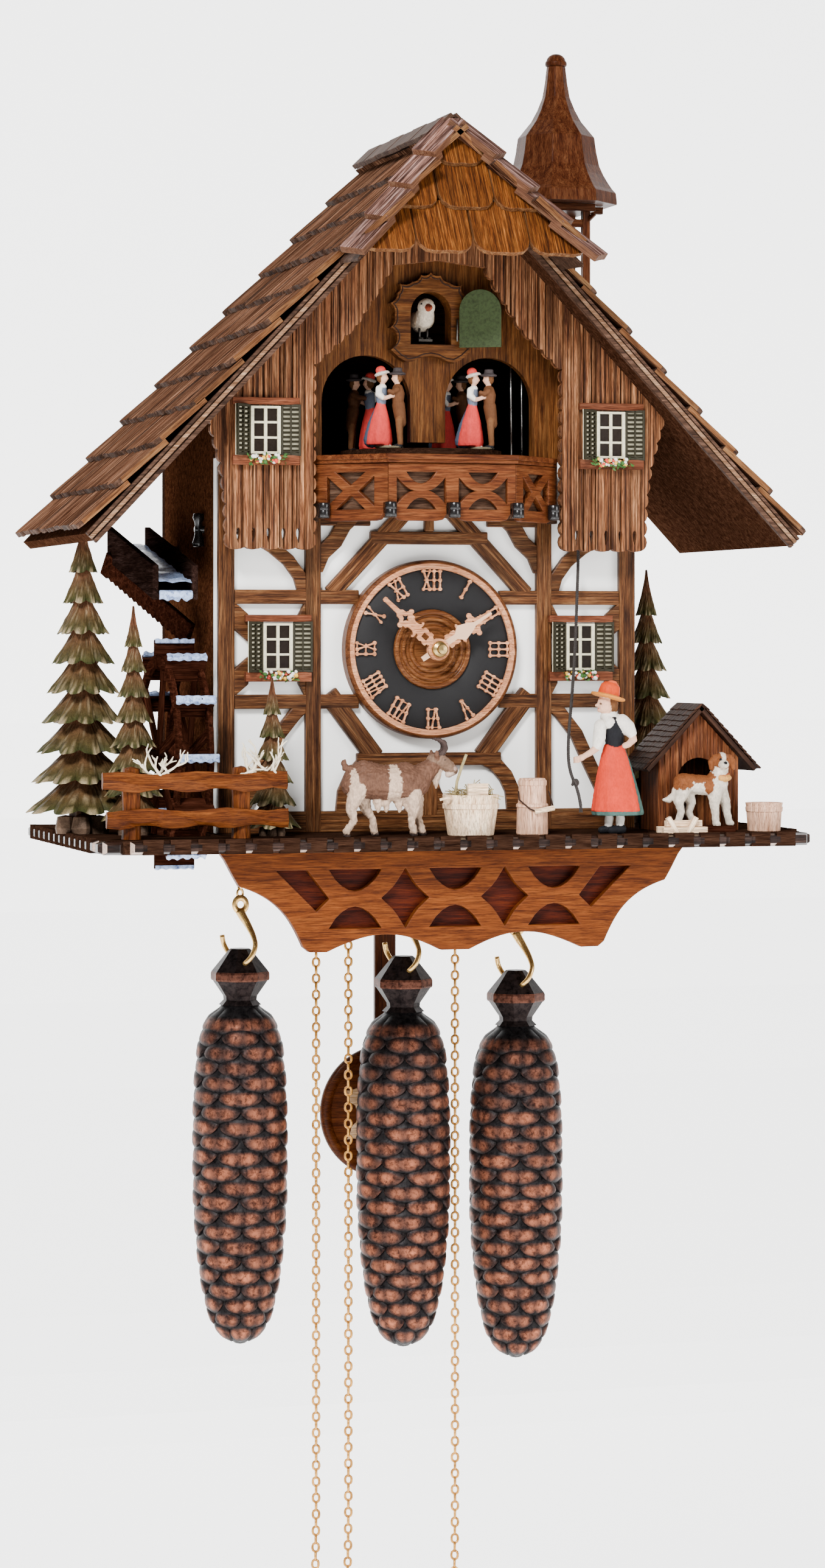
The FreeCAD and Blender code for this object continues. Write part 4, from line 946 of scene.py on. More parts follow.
def verge_boards(mats):
    """Moulded boards under the shingles along the front of each slope; the middle proud strip takes a paler
    wood as a painted highlight.
    """
    build = Build()
    for side in (-1, 1):
        for n0, n1, y0, y1, mat in ((-6.4, -4.4, -165.3, -162, 2), (-4.4, -3.6, -163.6, -162, 2),
                                    (-3.6, -1.8, -164.9, -162, 6), (-1.8, -1.1, -163.4, -162, 2),
                                    (-1.1, 0.3, -164.6, -162, 2)):
            s0, s1 = 14.0, SLOPE - 2
            verts = []
            for s in (s0, s1):
                for n in (n0, n1):
                    for y in (y0, y1):
                        verts.append(slope_point(s, n, side, y))
            faces = [(0, 1, 3, 2), (4, 6, 7, 5), (0, 4, 5, 1), (2, 3, 7, 6), (0, 2, 6, 4), (1, 5, 7, 3)]
            build.add((verts, faces), mat)
    build.finish("verge_boards", mats, "case", slot="roof_wood")


# ---- gable, stage and frame ----
def gable(mat, mat_back):
    """Weathered grooved boards with carved edges and teardrop cut-outs."""
    leg_in, leg_out, foot = 63.5, 106.0, -100.5
    slope = (RIDGE_Z - EAVE_Z) / EAVE_X
    roof_low = lambda x: RIDGE_Z - slope * x - 17.5
    bottom = scallop([(leg_in, foot), (leg_out, foot)], 1.3, 8.7)
    outer = scallop([(leg_out, foot), (106.5, -80), (109, -60), (116, roof_low(116))], 1.4, 7.0)
    inner = scallop([(24, 37), (31, 25), (43, 7), (leg_in, -12), (leg_in, foot)], 1.5, 7.0)
    half = bottom[:-1] + outer[:-1] + [(116, roof_low(116)), (34, roof_low(34)), (0, roof_low(34)),
                                       (0, 40)] + inner[:-1]
    strips, x = [], 20.0
    while x < 120:
        w = rnd.choice((1.3, 2.0, 2.8, 3.6, 4.6))
        strips.append((x, x + w, rnd.choice((0.0, 0.1, 0.35, 0.55, 0.8))))
        x += w
        strips.append((x, x + 0.7, rnd.choice((0.9, 1.4, 1.8))))
        x += 0.7

    def depth(px, pz):
        ax = abs(px)
        for a, b, d in strips:
            if a <= ax < b:
                return d
        return 0.0
    for side in (-1, 1):
        build = Build()
        loop = [(side * px, pz) for px, pz in half]
        cuts = []
        for a, b, d in strips:
            for xx in (a + 0.06, b - 0.06):
                cuts.append(((side * xx, -103), (side * xx, 90)))
        holes = []
        for i in range(5):
            cx = 70.9 + 7.5 * i
            holes.append([(side * (cx + 1.5 * math.sin(t) * (0.6 + 0.4 * math.cos(t))),
                           -95.0 + 3.8 * math.cos(t))
                          for t in turns(12)])
        build.add(plate(loop, -143.0, 5.0, holes, cuts, depth), 0, grain="z", tone=0.5)
        back = [(67.5, -90), (102, -90), (103, -60), (108, roof_low(108)), (34, roof_low(34)),
                (0, roof_low(34)),
                (0, 44), (27, 41), (35, 28), (47, 10), (67.5, -9)]
        build.add(plate([(side * px, pz) for px, pz in back], -138.0, 9.0), 1, grain="z", tone=0.2)
        build.finish("gable_boards_" + ("left" if side < 0 else "right"), [mat, mat_back], "case",
                     replaces="gable_board", slot="gable_wood")


def stage(mat, mat_edge):
    """Smooth front with two arches and the carved plaque round the cuckoo's doorway."""
    h = 106.6
    slope = (RIDGE_Z - EAVE_Z) / EAVE_X
    low = lambda x: RIDGE_Z - slope * x - 18
    loop = [(-h, -57), (-54, -57)] + [(-54, -28)] + arc(-31.5, -28.1, 22.5, 180, 0, 24)
    loop += [(-9, -48), (9, -48)] + arc(31.5, -28.1, 22.5, 180, 0, 24) + [(54, -57), (h, -57), (h, low(h)),
                                                                          (26, 58),
                                                                        (-26, 58), (-h, low(h))]
    doorway = arch_loop(0, 10.4, -0.1, 25.9)
    build = Build()
    build.add(plate(loop, WALL_Y, 5.0, [doorway]), 0, grain="z", tone=0.5)
    corners = [(20.5, -3), (17.2, 3), (20.5, 8), (18.5, 14), (20.5, 20), (17.0, 25), (16.0, 29.5),
               (9.5, 30.5), (5.0, 34.0),
               (0, 35.4)]
    right = scallop(corners, -1.0, 5.0)
    under = [(20.5, -3), (16.5, -6.6), (12.5, -8.8), (8.5, -8.2), (4.2, -6.2), (0, -5.6)]
    ring = [(x, z) for x, z in under[::-1]] + right[1:]
    full = ring + [(-x, z) for x, z in ring[::-1][1:-1]]
    build.add(plate(full, -128.0, 6.0, [doorway]), 0, grain="x", tone=0.4)
    # A thin dark cord inset along the plaque's outline, in place of a carved groove: painted shade of the
    # groove.
    rim = [(x * 0.93, z * 0.93 + 0.9) for x, z in full]
    build.add(tube([(x, -128.1, z) for x, z in rim], 0.32, 5, closed=True), 1, tone=0.2)
    build.finish("stage_and_plaque", [mat, mat_edge], "case", replaces="stage_front", slot="stage_wood",
                 bevel=0.5,
                 segments=2)


def plank(build, x0, z0, x1, z1, width, y_front, y_back, mat=0):
    """One timber lying on the front, its grain along its length."""
    a, b = Vector((x0, 0, z0)), Vector((x1, 0, z1))
    along = (b - a).normalized()
    length = (b - a).length
    place = axes_matrix(along, Vector((0, 1, 0)), along.cross(Vector((0, 1, 0))), a)
    build.add(block(0, length, y_front, y_back, -width / 2, width / 2), mat, place=place)


def curved_timber(build, points, width, y_front, y_back, mat=0):
    """Bent timber: the band of a given width along a line of (x, z) points."""
    left, right = [], []
    for i, p in enumerate(points):
        a = Vector(points[max(i - 1, 0)])
        b = Vector(points[min(i + 1, len(points) - 1)])
        along = (b - a).normalized()
        off = Vector((-along.y, along.x)) * width / 2
        left.append((p[0] + off.x, p[1] + off.y))
        right.append((p[0] - off.x, p[1] - off.y))
    build.add(plate(right + left[::-1], y_front, y_back - y_front), mat)


def timber_frame(mat):
    build = Build()
    y0, y1 = -126.0, WALL_Y
    for x, w in ((-102.8, 8.2), (-59.2, 7.8), (59.2, 7.8), (102.8, 8.2)):
        plank(build, x, BASE_TOP, x, -61.0, w, y0, y1)
    for z in (-124.4, -175.5):
        for side in (-1, 1):
            plank(build, side * 98.6, z, side * 36, z, 7.0, y0 + 0.25, y1)
    plank(build, -98, BASE_TOP + 5.2, 98, BASE_TOP + 5.2, 10.4, y0 + 0.35, y1)
    plank(build, -30, -95.2, 30, -95.2, 6.4, y0 + 0.2, y1)
    plank(build, -37, -204.0, 37, -204.0, 6.4, y0 + 0.2, y1)
    plank(build, 0, -92, 0, -80, 4.8, y0 + 0.3, y1)
    plank(build, 0, -207, 0, -232, 8.6, y0 + 0.3, y1)
    for side in (-1, 1):
        plank(build, side * 12, -82.2, side * 50, -122.8, 8.2, y0 + 0.3, y1)
        plank(build, side * 27.5, -203.0, side * 51.5, -171.5, 9.6, y0 + 0.3, y1)
        bracket = [(side * x, z) for x, z in ((58, -111), (54.5, -103), (48, -97), (43.5, -89), (36, -82))]
        curved_timber(build, bracket, 8.0, y0 + 0.45, y1)
        build.add(block(*sorted((side * 30, side * 57)), y0 + 0.5, y1, -89.5, -62), 0)
        foot = [(side * x, z) for x, z in ((0.5, -213), (3.5, -221), (7.5, -228), (14, -234))]
        curved_timber(build, foot, 6.0, y0 + 0.45, y1)
        arc_line = [(side * x, z) for x, z in ((27, -203), (34, -206.5), (39.5, -212.5), (43, -220),
                                               (44.5, -235))]
        curved_timber(build, arc_line, 7.4, y0 + 0.45, y1)
        upper = [(side * x, z) for x, z in ((96, -91), (88, -95), (79.5, -100), (71.5, -106.5), (66, -114),
                                            (63, -124))]
        curved_timber(build, upper, 6.4, y0 + 0.5, y1)
        lower = [(side * x, z) for x, z in ((60, -174), (68, -181.5), (76.5, -192), (83, -206), (90, -220),
                                            (100, -237))]
        curved_timber(build, lower, 6.6, y0 + 0.5, y1)
        for post, sill in ((99.2, 91.5), (62.9, 66.5)):
            for away in (-1, 1):
                z0, z1, z2, z3 = (-149.9 + away * d for d in (23.5, 10.0, 3.4, 17.0))
                arm = [(side * post, z0), (side * post, z1), (side * sill, z2), (side * sill, z3)]
                turn = sum(a[0] * b[1] - b[0] * a[1] for a, b in zip(arm, arm[1:] + arm[:1]))
                build.add(plate(arm if turn > 0 else arm[::-1], y0 + 0.55, y1 - y0 - 0.55), 0)
    build.finish("timber_beams", [mat], "case", replaces="timber_frame", slot="beam_wood", bevel=0.6,
                 segments=2)


def cover_hanger_hole_with_shade(mat):
    """Dark board inside the back panel over the hanger hole: it stands for the shade inside the case, so
    nothing bright shows through the hole.
    """
    build = Build()
    build.add(block(-16, 16, -9.5, -6.6, -16, 14), 0)
    build.finish("hanger_hole_shade_board", [mat], "case", slot="case_wood", bevel=0.4)


# ---- windows ----
def window(build, x, z, y_wall):
    """Frame with bars over dark panes, louvred shutters, lintel, sill and a box of flowers.
    Slots: 0 cream frame, 1 olive shutter, 2 brown wood, 3 pane, 4 leaves, 5 white, 6 yellow, 7 red."""
    half_w, half_h = 7.4, 11.6
    build.add(block(x - half_w, x + half_w, y_wall - 1.0, y_wall - 0.2, z - half_h, z + half_h), 3)
    for dx in (-half_w + 0.8, half_w - 0.8):
        build.add(block(x + dx - 0.8, x + dx + 0.8, y_wall - 2.2, y_wall - 0.2, z - half_h, z + half_h), 0,
                  grain="z")
    for dz in (-half_h + 0.6, half_h - 0.6):
        build.add(block(x - half_w, x + half_w, y_wall - 2.15, y_wall - 0.2, z + dz - 0.6, z + dz + 0.6), 0)
    build.add(block(x - 0.75, x + 0.75, y_wall - 1.9, y_wall - 0.3, z - half_h + 1, z + half_h - 1), 0,
              grain="z")
    for dz in (-3.7, 3.7):
        build.add(block(x - half_w + 1, x + half_w - 1, y_wall - 1.8, y_wall - 0.3, z + dz - 0.55,
                        z + dz + 0.55), 0)
    for side in (-1, 1):
        turn = 12 if side > 0 else 36
        place = (Matrix.Translation((x + side * (half_w + 0.3), y_wall - 1.3, z))
                 @ Matrix.Rotation(math.radians(-side * turn), 4, "Z"))
        w, t = 9.6, 0.7
        top = half_h + 0.8
        for a, b in ((0, 1.1), (w / 2 - 0.45, w / 2 + 0.45), (w - 1.1, w)):
            lo, hi = sorted((side * a, side * b))
            build.add(block(lo, hi, -t, t, -top, top), 1, place=place, grain="z")
        for dz in (-top + 0.7, top - 0.7):
            lo, hi = sorted((side * 1.0, side * (w - 1.0)))
            build.add(block(lo, hi, -t, t, dz - 0.7, dz + 0.7), 1, place=place)
        for i in range(10):
            dz = -top + 2.4 + 2.2 * i
            tilt = place @ Matrix.Translation((side * w / 2, 0, dz)) @ Matrix.Rotation(math.radians(38), 4,
                                                                                       "X")
            build.add(block(-w / 2 + 0.9, w / 2 - 0.9, -0.85, 0.85, -0.26, 0.26), 1, place=tilt)
        lo, hi = sorted((side * 0.1, side * (w - 0.1)))
        build.add(block(lo, hi, t, t + 0.5, -top, top), 0, place=place)
    build.add(block(x - 16.5, x + 16.5, y_wall - 3.2, y_wall, z + 12.2, z + 15.6), 2)
    build.add(block(x - 16.5, x + 16.5, y_wall - 3.4, y_wall, z - 16.9, z - 12.2), 2)
    for i in range(42):
        dx = rnd.uniform(-8.2, 8.2)
        dy, dz = rnd.uniform(-6.2, -3.6), rnd.uniform(-15.6, -12.0)
        petal = (5, 6, 5, 7, 4, 5, 6)[i % 7]
        r = rnd.uniform(0.7, 1.35)
        place = move(x + dx, y_wall + dy, z + dz, turn=(rnd.uniform(0, 90), rnd.uniform(0, 90), 0))
        build.add(ball(r, r * 0.75, r * 0.85, 5, 7), petal, place=place, smooth=True)
    for i in range(44):
        dx, dz = rnd.uniform(-9.4, 9.4), rnd.uniform(-16.2, -12.2)
        leaf = ([(0, 0, 0), (1.5, 0.4, 0.5), (2.8, 0, 0), (1.5, -0.3, -0.5)], [(0, 1, 2, 3), (3, 2, 1, 0)])
        place = move(x + dx, y_wall - 4.4, z + dz,
                     turn=(rnd.uniform(0, 360), rnd.uniform(-60, 60), rnd.uniform(0, 360)))
        build.add(leaf, 4, place=place)


def windows(mats):
    build = Build()
    for side in (-1, 1):
        window(build, side * 77.5, -148.8, -126.0)
        window(build, side * 87.8, -44.2, -142.8)
    build.finish("windows_and_shutters", mats, "case", replaces="windows", slot="window_paint", bevel=0.12)


# ---- turret, balcony and dial ----
def facing_front(x, y, z):
    """Placement that turns local Z towards the front."""
    return Matrix.Translation((x, y, z)) @ Matrix.Rotation(math.radians(90), 4, "X")


def octagonal(profile, place):
    wide = 1 / math.cos(math.radians(22.5))
    return lathe([(r * wide, h) for r, h in profile], 8), place @ Matrix.Rotation(math.radians(22.5), 4,
                                                                                  "Z")


def turret(mat, mat_brass):
    """Bell turret: eight-sided bell-cast roof on four posts, with its bell."""
    x, y = 86.8, -60.0
    build = Build()
    levels = [(0.01, 78.2), (25.0, 78.2), (29.1, 78.0), (29.1, 79.2), (28.6, 84.0), (26.9, 86.0),
              (25.0, 89.0),
              (22.6, 93.4), (20.7, 98.0), (19.3, 105.0), (18.3, 112.7), (12.0, 121.0), (9.0, 127.0),
              (6.6, 133.5),
              (5.4, 141.0), (4.5, 149.4), (0.01, 149.5)]
    shape, place = octagonal(levels, move(x, y))
    build.add(shape, 0, place=place, grain="z", tone=0.5)
    build.add(lathe([(0.01, 149.4), (5.0, 149.4), (5.6, 150.0), (5.6, 151.6), (5.0, 152.4), (4.6, 153.6),
                     (3.4, 155.0),
                     (1.8, 155.8), (0.01, 156.0)], 24), 0, place=move(x, y), grain="z", smooth=True,
              tone=0.4)
    for dx in (-12, 12):
        for dy in (-12, 12):
            foot = RIDGE_Z - (x + dx) * DOWN_Z / DOWN_X - 1
            build.add(block(x + dx - 2, x + dx + 2, y + dy - 2, y + dy + 2, foot, 75.5), 0, grain="z")
            turn = math.degrees(math.atan2(dy, dx))
            build.add(block(0, 9, -1, 1, -1, 1), 0, place=move(x + dx * 0.9, y + dy * 0.9, 67,
                                                               turn=(0, -40, turn)))
    build.add(block(x - 16, x + 16, y - 16, y + 16, 74.0, 77.9), 0, tone=0.2)
    build.add(block(x - 25, x + 25, y - 2, y + 2, 74.2, 77.8), 0, tone=0.2)
    for dy in (-12, 12):
        build.add(block(x - 12, x + 12, y + dy - 1.5, y + dy + 1.5, 66, 70), 0)
    build.add(tube([(x, y - 12, 68), (x, y + 12, 68)], 1.2, 12), 1, smooth=True)
    build.finish("turret_house", [mat, mat_brass], "case", replaces="turret", slot="turret_wood", bevel=0.5,
                 segments=2,
                 angle=24)
    bell = Build()
    profile = [(1.25, -2.4), (2.6, -2.4), (3.2, -4.5), (4.6, -7.5), (5.4, -11), (6.2, -15.5), (7.4, -18.4),
               (8.6, -20),
               (7.8, -20), (6.6, -18.2), (5.4, -15.5), (4.4, -10), (3.0, -8.0), (1.25, -8.0)]
    bell.add(closed_lathe(profile, 32), 0, place=move(x, y, 68), smooth=True)
    eye = [(x + 2.2 * math.cos(a), y, 68 + 2.2 * math.sin(a)) for a in turns(24)]
    bell.add(tube(eye, 0.9, 8, closed=True), 0, smooth=True)
    bell.add(tube([(x, y, 66.0), (x, y, 52)], 0.8, 8), 0, smooth=True)
    bell.add(ball(2.2, 2.2, 2.4), 0, place=move(x, y, 51.3), smooth=True)
    bell.finish("turret_bell_cast", [mat_brass], "turret_bell", replaces="turret_bell", slot="brass",
                bevel=0.2)


def bow(x0, x1, z, rise, steps=8):
    """Half-lens cut-out: straight along z, bowed by rise on the other side."""
    pts = [(x0 + (x1 - x0) * i / steps, z + rise * math.sin(math.pi * i / steps) ** 0.8)
           for i in range(steps + 1)]
    return pts


def dart(x_flat, x_tip, z, half, steps=6):
    """Triangle with its two long sides curved inwards."""
    pts = [(x_flat, z - half), (x_flat, z + half)]
    for i in range(1, steps):
        u = i / steps
        pts.append((x_flat + (x_tip - x_flat) * u, z + half * (1 - u) ** 1.7))
    pts.append((x_tip, z))
    for i in range(steps - 1, 0, -1):
        u = i / steps
        pts.append((x_flat + (x_tip - x_flat) * u, z - half * (1 - u) ** 1.7))
    return pts


def balcony(mat, mat_back, mat_black):
    """Carved front in two panels and two angled sides, top rail, floor and turned black pegs."""
    build = Build()
    top, low = -60.2, -88.0
    outline = [(-32, top), (-32, -79.2), (-29.5, -79.2), (-29.5, -84.5), (-27.5, -87.4), (-24.5, low),
               (-7.5, low),
               (-4.5, -87.4), (-2.8, -84.5), (-2.8, -79.2), (2.8, -79.2), (2.8, -84.5), (4.5, -87.4),
               (7.5, low),
               (24.5, low), (27.5, -87.4), (29.5, -84.5), (29.5, -79.2), (32, -79.2), (32, top)]
    holes = []
    for x in (-15.6, 15.6):
        holes += [bow(x - 7.4, x + 7.4, top - 4.2, -5.6)[::-1], bow(x - 7.4, x + 7.4, low + 5.6, 5.6)]
        holes += [dart(x - 12.2, x - 3.4, -73.4, 6.4), dart(x + 12.2, x + 3.4, -73.4, 6.4)]
    build.add(plate(outline, -165.0, 3.6, holes), 0, tone=0.6)
    build.add(block(-31.5, 31.5, -161.2, -160.4, -86.5, -57.4), 1, tone=0.3)
    for side in (-1, 1):
        start, end = Vector((side * 32.3, -164.6, 0)), Vector((side * 62, -136, 0))
        along = (end - start).normalized()
        length = (end - start).length
        inward = Vector((-along.y, along.x, 0)) * side
        place = Matrix(((along.x, inward.x, 0, start.x), (along.y, inward.y, 0, start.y), (0, 0, 1, 0),
                        (0, 0, 0, 1)))
        panel = [(0, top), (0, -79.2), (2.6, -79.2), (2.6, -84.5), (4.6, -87.4), (7.6, low),
                 (length - 9.5, low),
                 (length - 6.5, -87.4), (length - 4.6, -84.5), (length - 4.6, -79.2), (length, -79.2),
                 (length, top)]
        m = length / 2
        cuts = [[(m - 8, top - 4.2), (m + 8, top - 4.2), (m, top - 10.5)],
                [(m - 8, low + 5.6), (m, low + 12.5), (m + 8, low + 5.6)],
                [(m - 13, -80.6), (m - 4.4, -73.4), (m - 13, -66.4)],
                [(m + 13, -80.6), (m + 13, -66.4), (m + 4.4, -73.4)]]
        panel_shape, board = plate(panel, 0.0, 3.4, cuts), block(0.5, length - 0.5, 3.4, 4.2, -86.5, -57.4)
        if place.determinant() < 0:
            panel_shape, board = ((v, [f[::-1] for f in faces]) for v, faces in (panel_shape, board))
        build.add(panel_shape, 0, place=place, tone=0.5)
        build.add(board, 1, place=place, tone=0.3)
    cap = [(-62.5, -136), (-32.5, -167), (32.5, -167), (62.5, -136), (58.5, -132.5), (31, -159),
           (-31, -159),
           (-58.5, -132.5)]
    for z0, z1, grow in ((-60.0, -58.4, 0.0), (-58.4, -55.8, 0.6)):
        verts = []
        for z in (z0, z1):
            for x, y in cap:
                off = grow if y < -150 or abs(x) > 60 else 0
                verts.append((x + math.copysign(off, x) * 0.5, y - off * 0.7, z))
        build.add((verts, prism_faces(len(cap))), 0, tone=0.45)
    plan = [(-56, -122), (-56, -136.5), (-30.5, -160.8), (30.5, -160.8), (56, -136.5), (56, -122)]
    verts = [(x, y, z) for z in (-60.5, -57.2) for x, y in plan]
    build.add((verts, prism_faces(len(plan))), 1, tone=0.4)
    # Dark blocks in the darkest backing wood closing the gap between each angled panel and the gable leg:
    # they stand for the shadow there.
    for side in (-1, 1):
        x0, x1 = sorted((side * 58.8, side * 63.3))
        build.add(block(x0, x1, -134.5, -130.5, -88.0, -57.4), 1, tone=0.1)
    peg = [(0.01, 0), (2.7, 0), (3.0, 0.4), (3.0, 3.4), (2.8, 3.8), (3.0, 4.2), (3.0, 7.1), (2.7, 7.5),
           (0.01, 7.5)]
    for x, y in [(x, -168.9) for x in (-32, 0, 32)] + [(s * 58.5, -143.5) for s in (-1, 1)]:
        build.add(lathe(peg, 24), 2, place=move(x, y, -86.5), smooth=True)
        reach = 5.5 if y < -150 else 0
        build.add(block(x - 1.6, x + 1.6, y, y + 2.6 + reach, -84.5, -81.5), 2)
    build.finish("balcony_carved", [mat, mat_back, mat_black], "case", replaces="balcony",
                 slot="balcony_wood",
                 bevel=0.4, segments=2)


def turn_2d(points, angle, cx=0.0, cz=0.0, reach=0.0):
    """Points turned clockwise about (cx, cz) as seen from the front, after moving out by reach."""
    c, s = math.cos(angle), math.sin(angle)
    return [(cx + px * c + (pz + reach) * s, cz - px * s + (pz + reach) * c) for px, pz in points]


def carved_stroke(x0, z0, x1, z1, w):
    """Numeral stroke with a bead at each end and one halfway."""
    a, b = Vector((x0, z0)), Vector((x1, z1))
    along = (b - a).normalized()
    off = Vector((-along.y, along.x))
    length = (b - a).length
    right = [(0, 0.5), (0.04, 1.5), (0.10, 1.7), (0.16, 0.75), (0.40, 0.62), (0.45, 1.2), (0.5, 1.45),
             (0.55, 1.2),
             (0.60, 0.62), (0.84, 0.75), (0.90, 1.7), (0.96, 1.5), (1.0, 0.5)]
    loop = [a + along * (t * length) - off * (k * w) for t, k in right]
    loop += [a + along * (t * length) + off * (k * w) for t, k in right[::-1]]
    return [tuple(p) for p in loop]


NUMERALS = ("XII", "I", "II", "III", "IIII", "V", "VI", "VII", "VIII", "IX", "X", "XI")


def dial(mat_black, mat_tan, mat_turned, mat_case):
    """Black numeral ring with a tan rim, turned centre and carved numerals."""
    build = Build()
    front = facing_front(0, WALL_Y, DIAL_Z)
    build.add(closed_lathe([(39.2, 0.2), (44.0, 0.2), (44.0, 7.2), (43.4, 8.4), (42.6, 9.0), (42.2, 9.0),
                            (41.9, 8.7),
                            (39.9, 9.2), (39.5, 8.6), (39.4, 7.4)], 96), place=front, smooth=False,
              pick=lambda i: 3 if i < 96 * 5 else 1, tone=0.5)
    build.add(closed_lathe([(18.6, 0.4), (40.0, 0.4), (40.0, 7.6), (30, 7.9), (18.6, 7.6)], 96), 0,
              place=front,
              smooth=True, tone=0.5)
    rings = [(0.01, 0.5), (19.6, 0.5), (19.6, 8.2), (19.2, 9.0), (18.2, 9.3), (17.2, 9.0), (16.9, 8.0),
             (16.0, 7.7),
             (15.8, 8.5), (15.2, 9.1), (14.3, 9.1), (13.8, 8.5), (13.6, 7.4), (12.4, 7.1), (11.9, 7.6),
             (11.6, 8.4),
             (10.8, 8.7), (9.9, 8.4), (9.4, 7.6), (8.8, 7.1), (0.01, 7.1)]
    build.add(lathe(rings, 96), 2, place=front, smooth=True, tone=0.5)
    gap = 3.1
    for hour, word in enumerate(NUMERALS):
        width = sum(4.6 if c in "XV" else gap for c in word)
        x = -width / 2
        squeeze = min(1.0, 10.6 / width)
        strokes = []
        for c in word:
            if c == "I":
                strokes.append((x + gap / 2, 0, x + gap / 2, 10.6, 0.62))
                x += gap
            elif c == "V":
                strokes += [(x + 2.3, 0, x + 0.3, 10.6, 0.62), (x + 2.4, 0, x + 4.3, 10.6, 0.45)]
                x += 4.6
            else:
                strokes += [(x + 4.2, 0, x + 0.4, 10.6, 0.62), (x + 0.4, 0, x + 4.2, 10.6, 0.42)]
                x += 4.6
        angle = math.radians(30 * hour)
        for k, (x0, z0, x1, z1, w) in enumerate(strokes):
            loop = carved_stroke(x0 * squeeze, z0, x1 * squeeze, z1, w)
            loop = turn_2d(loop, angle, 0, DIAL_Z, NUMERAL_FOOT)
            build.add(plate(loop, WALL_Y - 9.35 - 0.04 * k, 1.6), 1, tone=0.5 + 0.04 * k)
            if abs(x0 - x1) < 0.1:
                tick = turn_2d([(x1 * squeeze - 0.2, 9.6), (x1 * squeeze + 0.2, 9.6),
                                (x1 * squeeze + 0.12, 11.8),
                                (x1 * squeeze - 0.12, 11.8)], angle, 0, DIAL_Z, NUMERAL_FOOT)
                build.add(plate(tick, WALL_Y - 9.2, 1.2), 1, tone=0.5)
        if len(word) > 1:
            span = width / 2 * squeeze - 1.0
            for zz in (0.9, 5.3, 9.7):
                bar = turn_2d([(-span, zz - 0.28), (span, zz - 0.28), (span, zz + 0.28),
                               (-span, zz + 0.28)], angle, 0,
                              DIAL_Z, NUMERAL_FOOT)
                build.add(plate(bar, WALL_Y - 9.15, 1.2), 1, tone=0.5)
    build.finish("dial_turned", [mat_black, mat_tan, mat_turned, mat_case], "case", replaces="dial",
                 slot="dial_wood",
                 bevel=0.12)


def carved_hand(build, length, y0, angle, grow):
    """Openwork hand: hub, square eye, scrolled heart and slender tip; y0 is its front face."""
    thick = 1.2
    g = grow

    def add(loop, holes=(), dy=0.0):
        turned = turn_2d(loop, angle, 0, DIAL_Z)
        build.add(plate(turned, y0 + dy, thick - dy, [turn_2d(h, angle, 0, DIAL_Z) for h in holes]), 0,
                  tone=0.5)
    circle = lambda cx, cz, r, n=24: [(cx + r * math.sin(2 * math.pi * i / n),
                                       cz + r * math.cos(2 * math.pi * i / n))
                                      for i in range(n)]
    add(circle(0, 0, 5.4), [circle(0, 0, 2.9)])
    add([(-1.7, 4.6), (1.7, 4.6), (2.4, 6.2), (3.6, 6.6), (3.6, 8.2), (3.0, 9.2), (3.6, 10.4), (3.4, 12.2),
         (2.0, 12.6),
         (1.5, 15.5), (1.7, 18.2), (-1.7, 18.2), (-1.5, 15.5), (-2.0, 12.6), (-3.4, 12.2), (-3.6, 10.4),
         (-3.0, 9.2),
         (-3.6, 8.2), (-3.6, 6.6), (-2.4, 6.2)], [[(-1.3, 7.6), (1.3, 7.6), (1.3, 10.9), (-1.3, 10.9)]],
        0.02)
    for side in (-1, 1):
        curl = [(side * (1.4 + 3.3 * g * (1 - math.cos(a)) / 2 * 1.15), 16.0 + 3.1 * math.sin(a) + 1.2)
                for a in (math.radians(100 - 230 * i / 14) for i in range(15))]
        left, right = [], []
        for i, p in enumerate(curl):
            a, b = Vector(curl[max(i - 1, 0)]), Vector(curl[min(i + 1, 14)])
            d = (b - a).normalized()
            wdt = 0.85 if i < 11 else 0.6
            left.append((p[0] - d.y * wdt, p[1] + d.x * wdt))
            right.append((p[0] + d.y * wdt, p[1] - d.x * wdt))
        loop = right + left[::-1]
        add(loop, (), 0.05)
        add(circle(side * 4.3 * g, 22.6, 1.35, 12), (), 0.07)
    add([(-1.6, 17.8), (1.6, 17.8), (2.8, 20.0), (4.0 * g, 21.6), (4.0 * g, 23.6), (2.4, 24.6), (2.2, 26.6),
         (1.25, 27.6),
         (1.05, length - 2.0), (1.35, length - 1.2), (0.9, length - 0.1), (0, length), (-0.9, length - 0.1),
         (-1.35, length - 1.2), (-1.05, length - 2.0), (-1.25, 27.6), (-2.2, 26.6), (-2.4, 24.6),
         (-4.0 * g, 23.6),
         (-4.0 * g, 21.6), (-2.8, 20.0)],
        [[(0, 20.6), (0.7, 22.0), (2.0, 22.7), (0.7, 23.4), (0, 24.9), (-0.7, 23.4), (-2.0, 22.7),
          (-0.7, 22.0)]], 0.03)


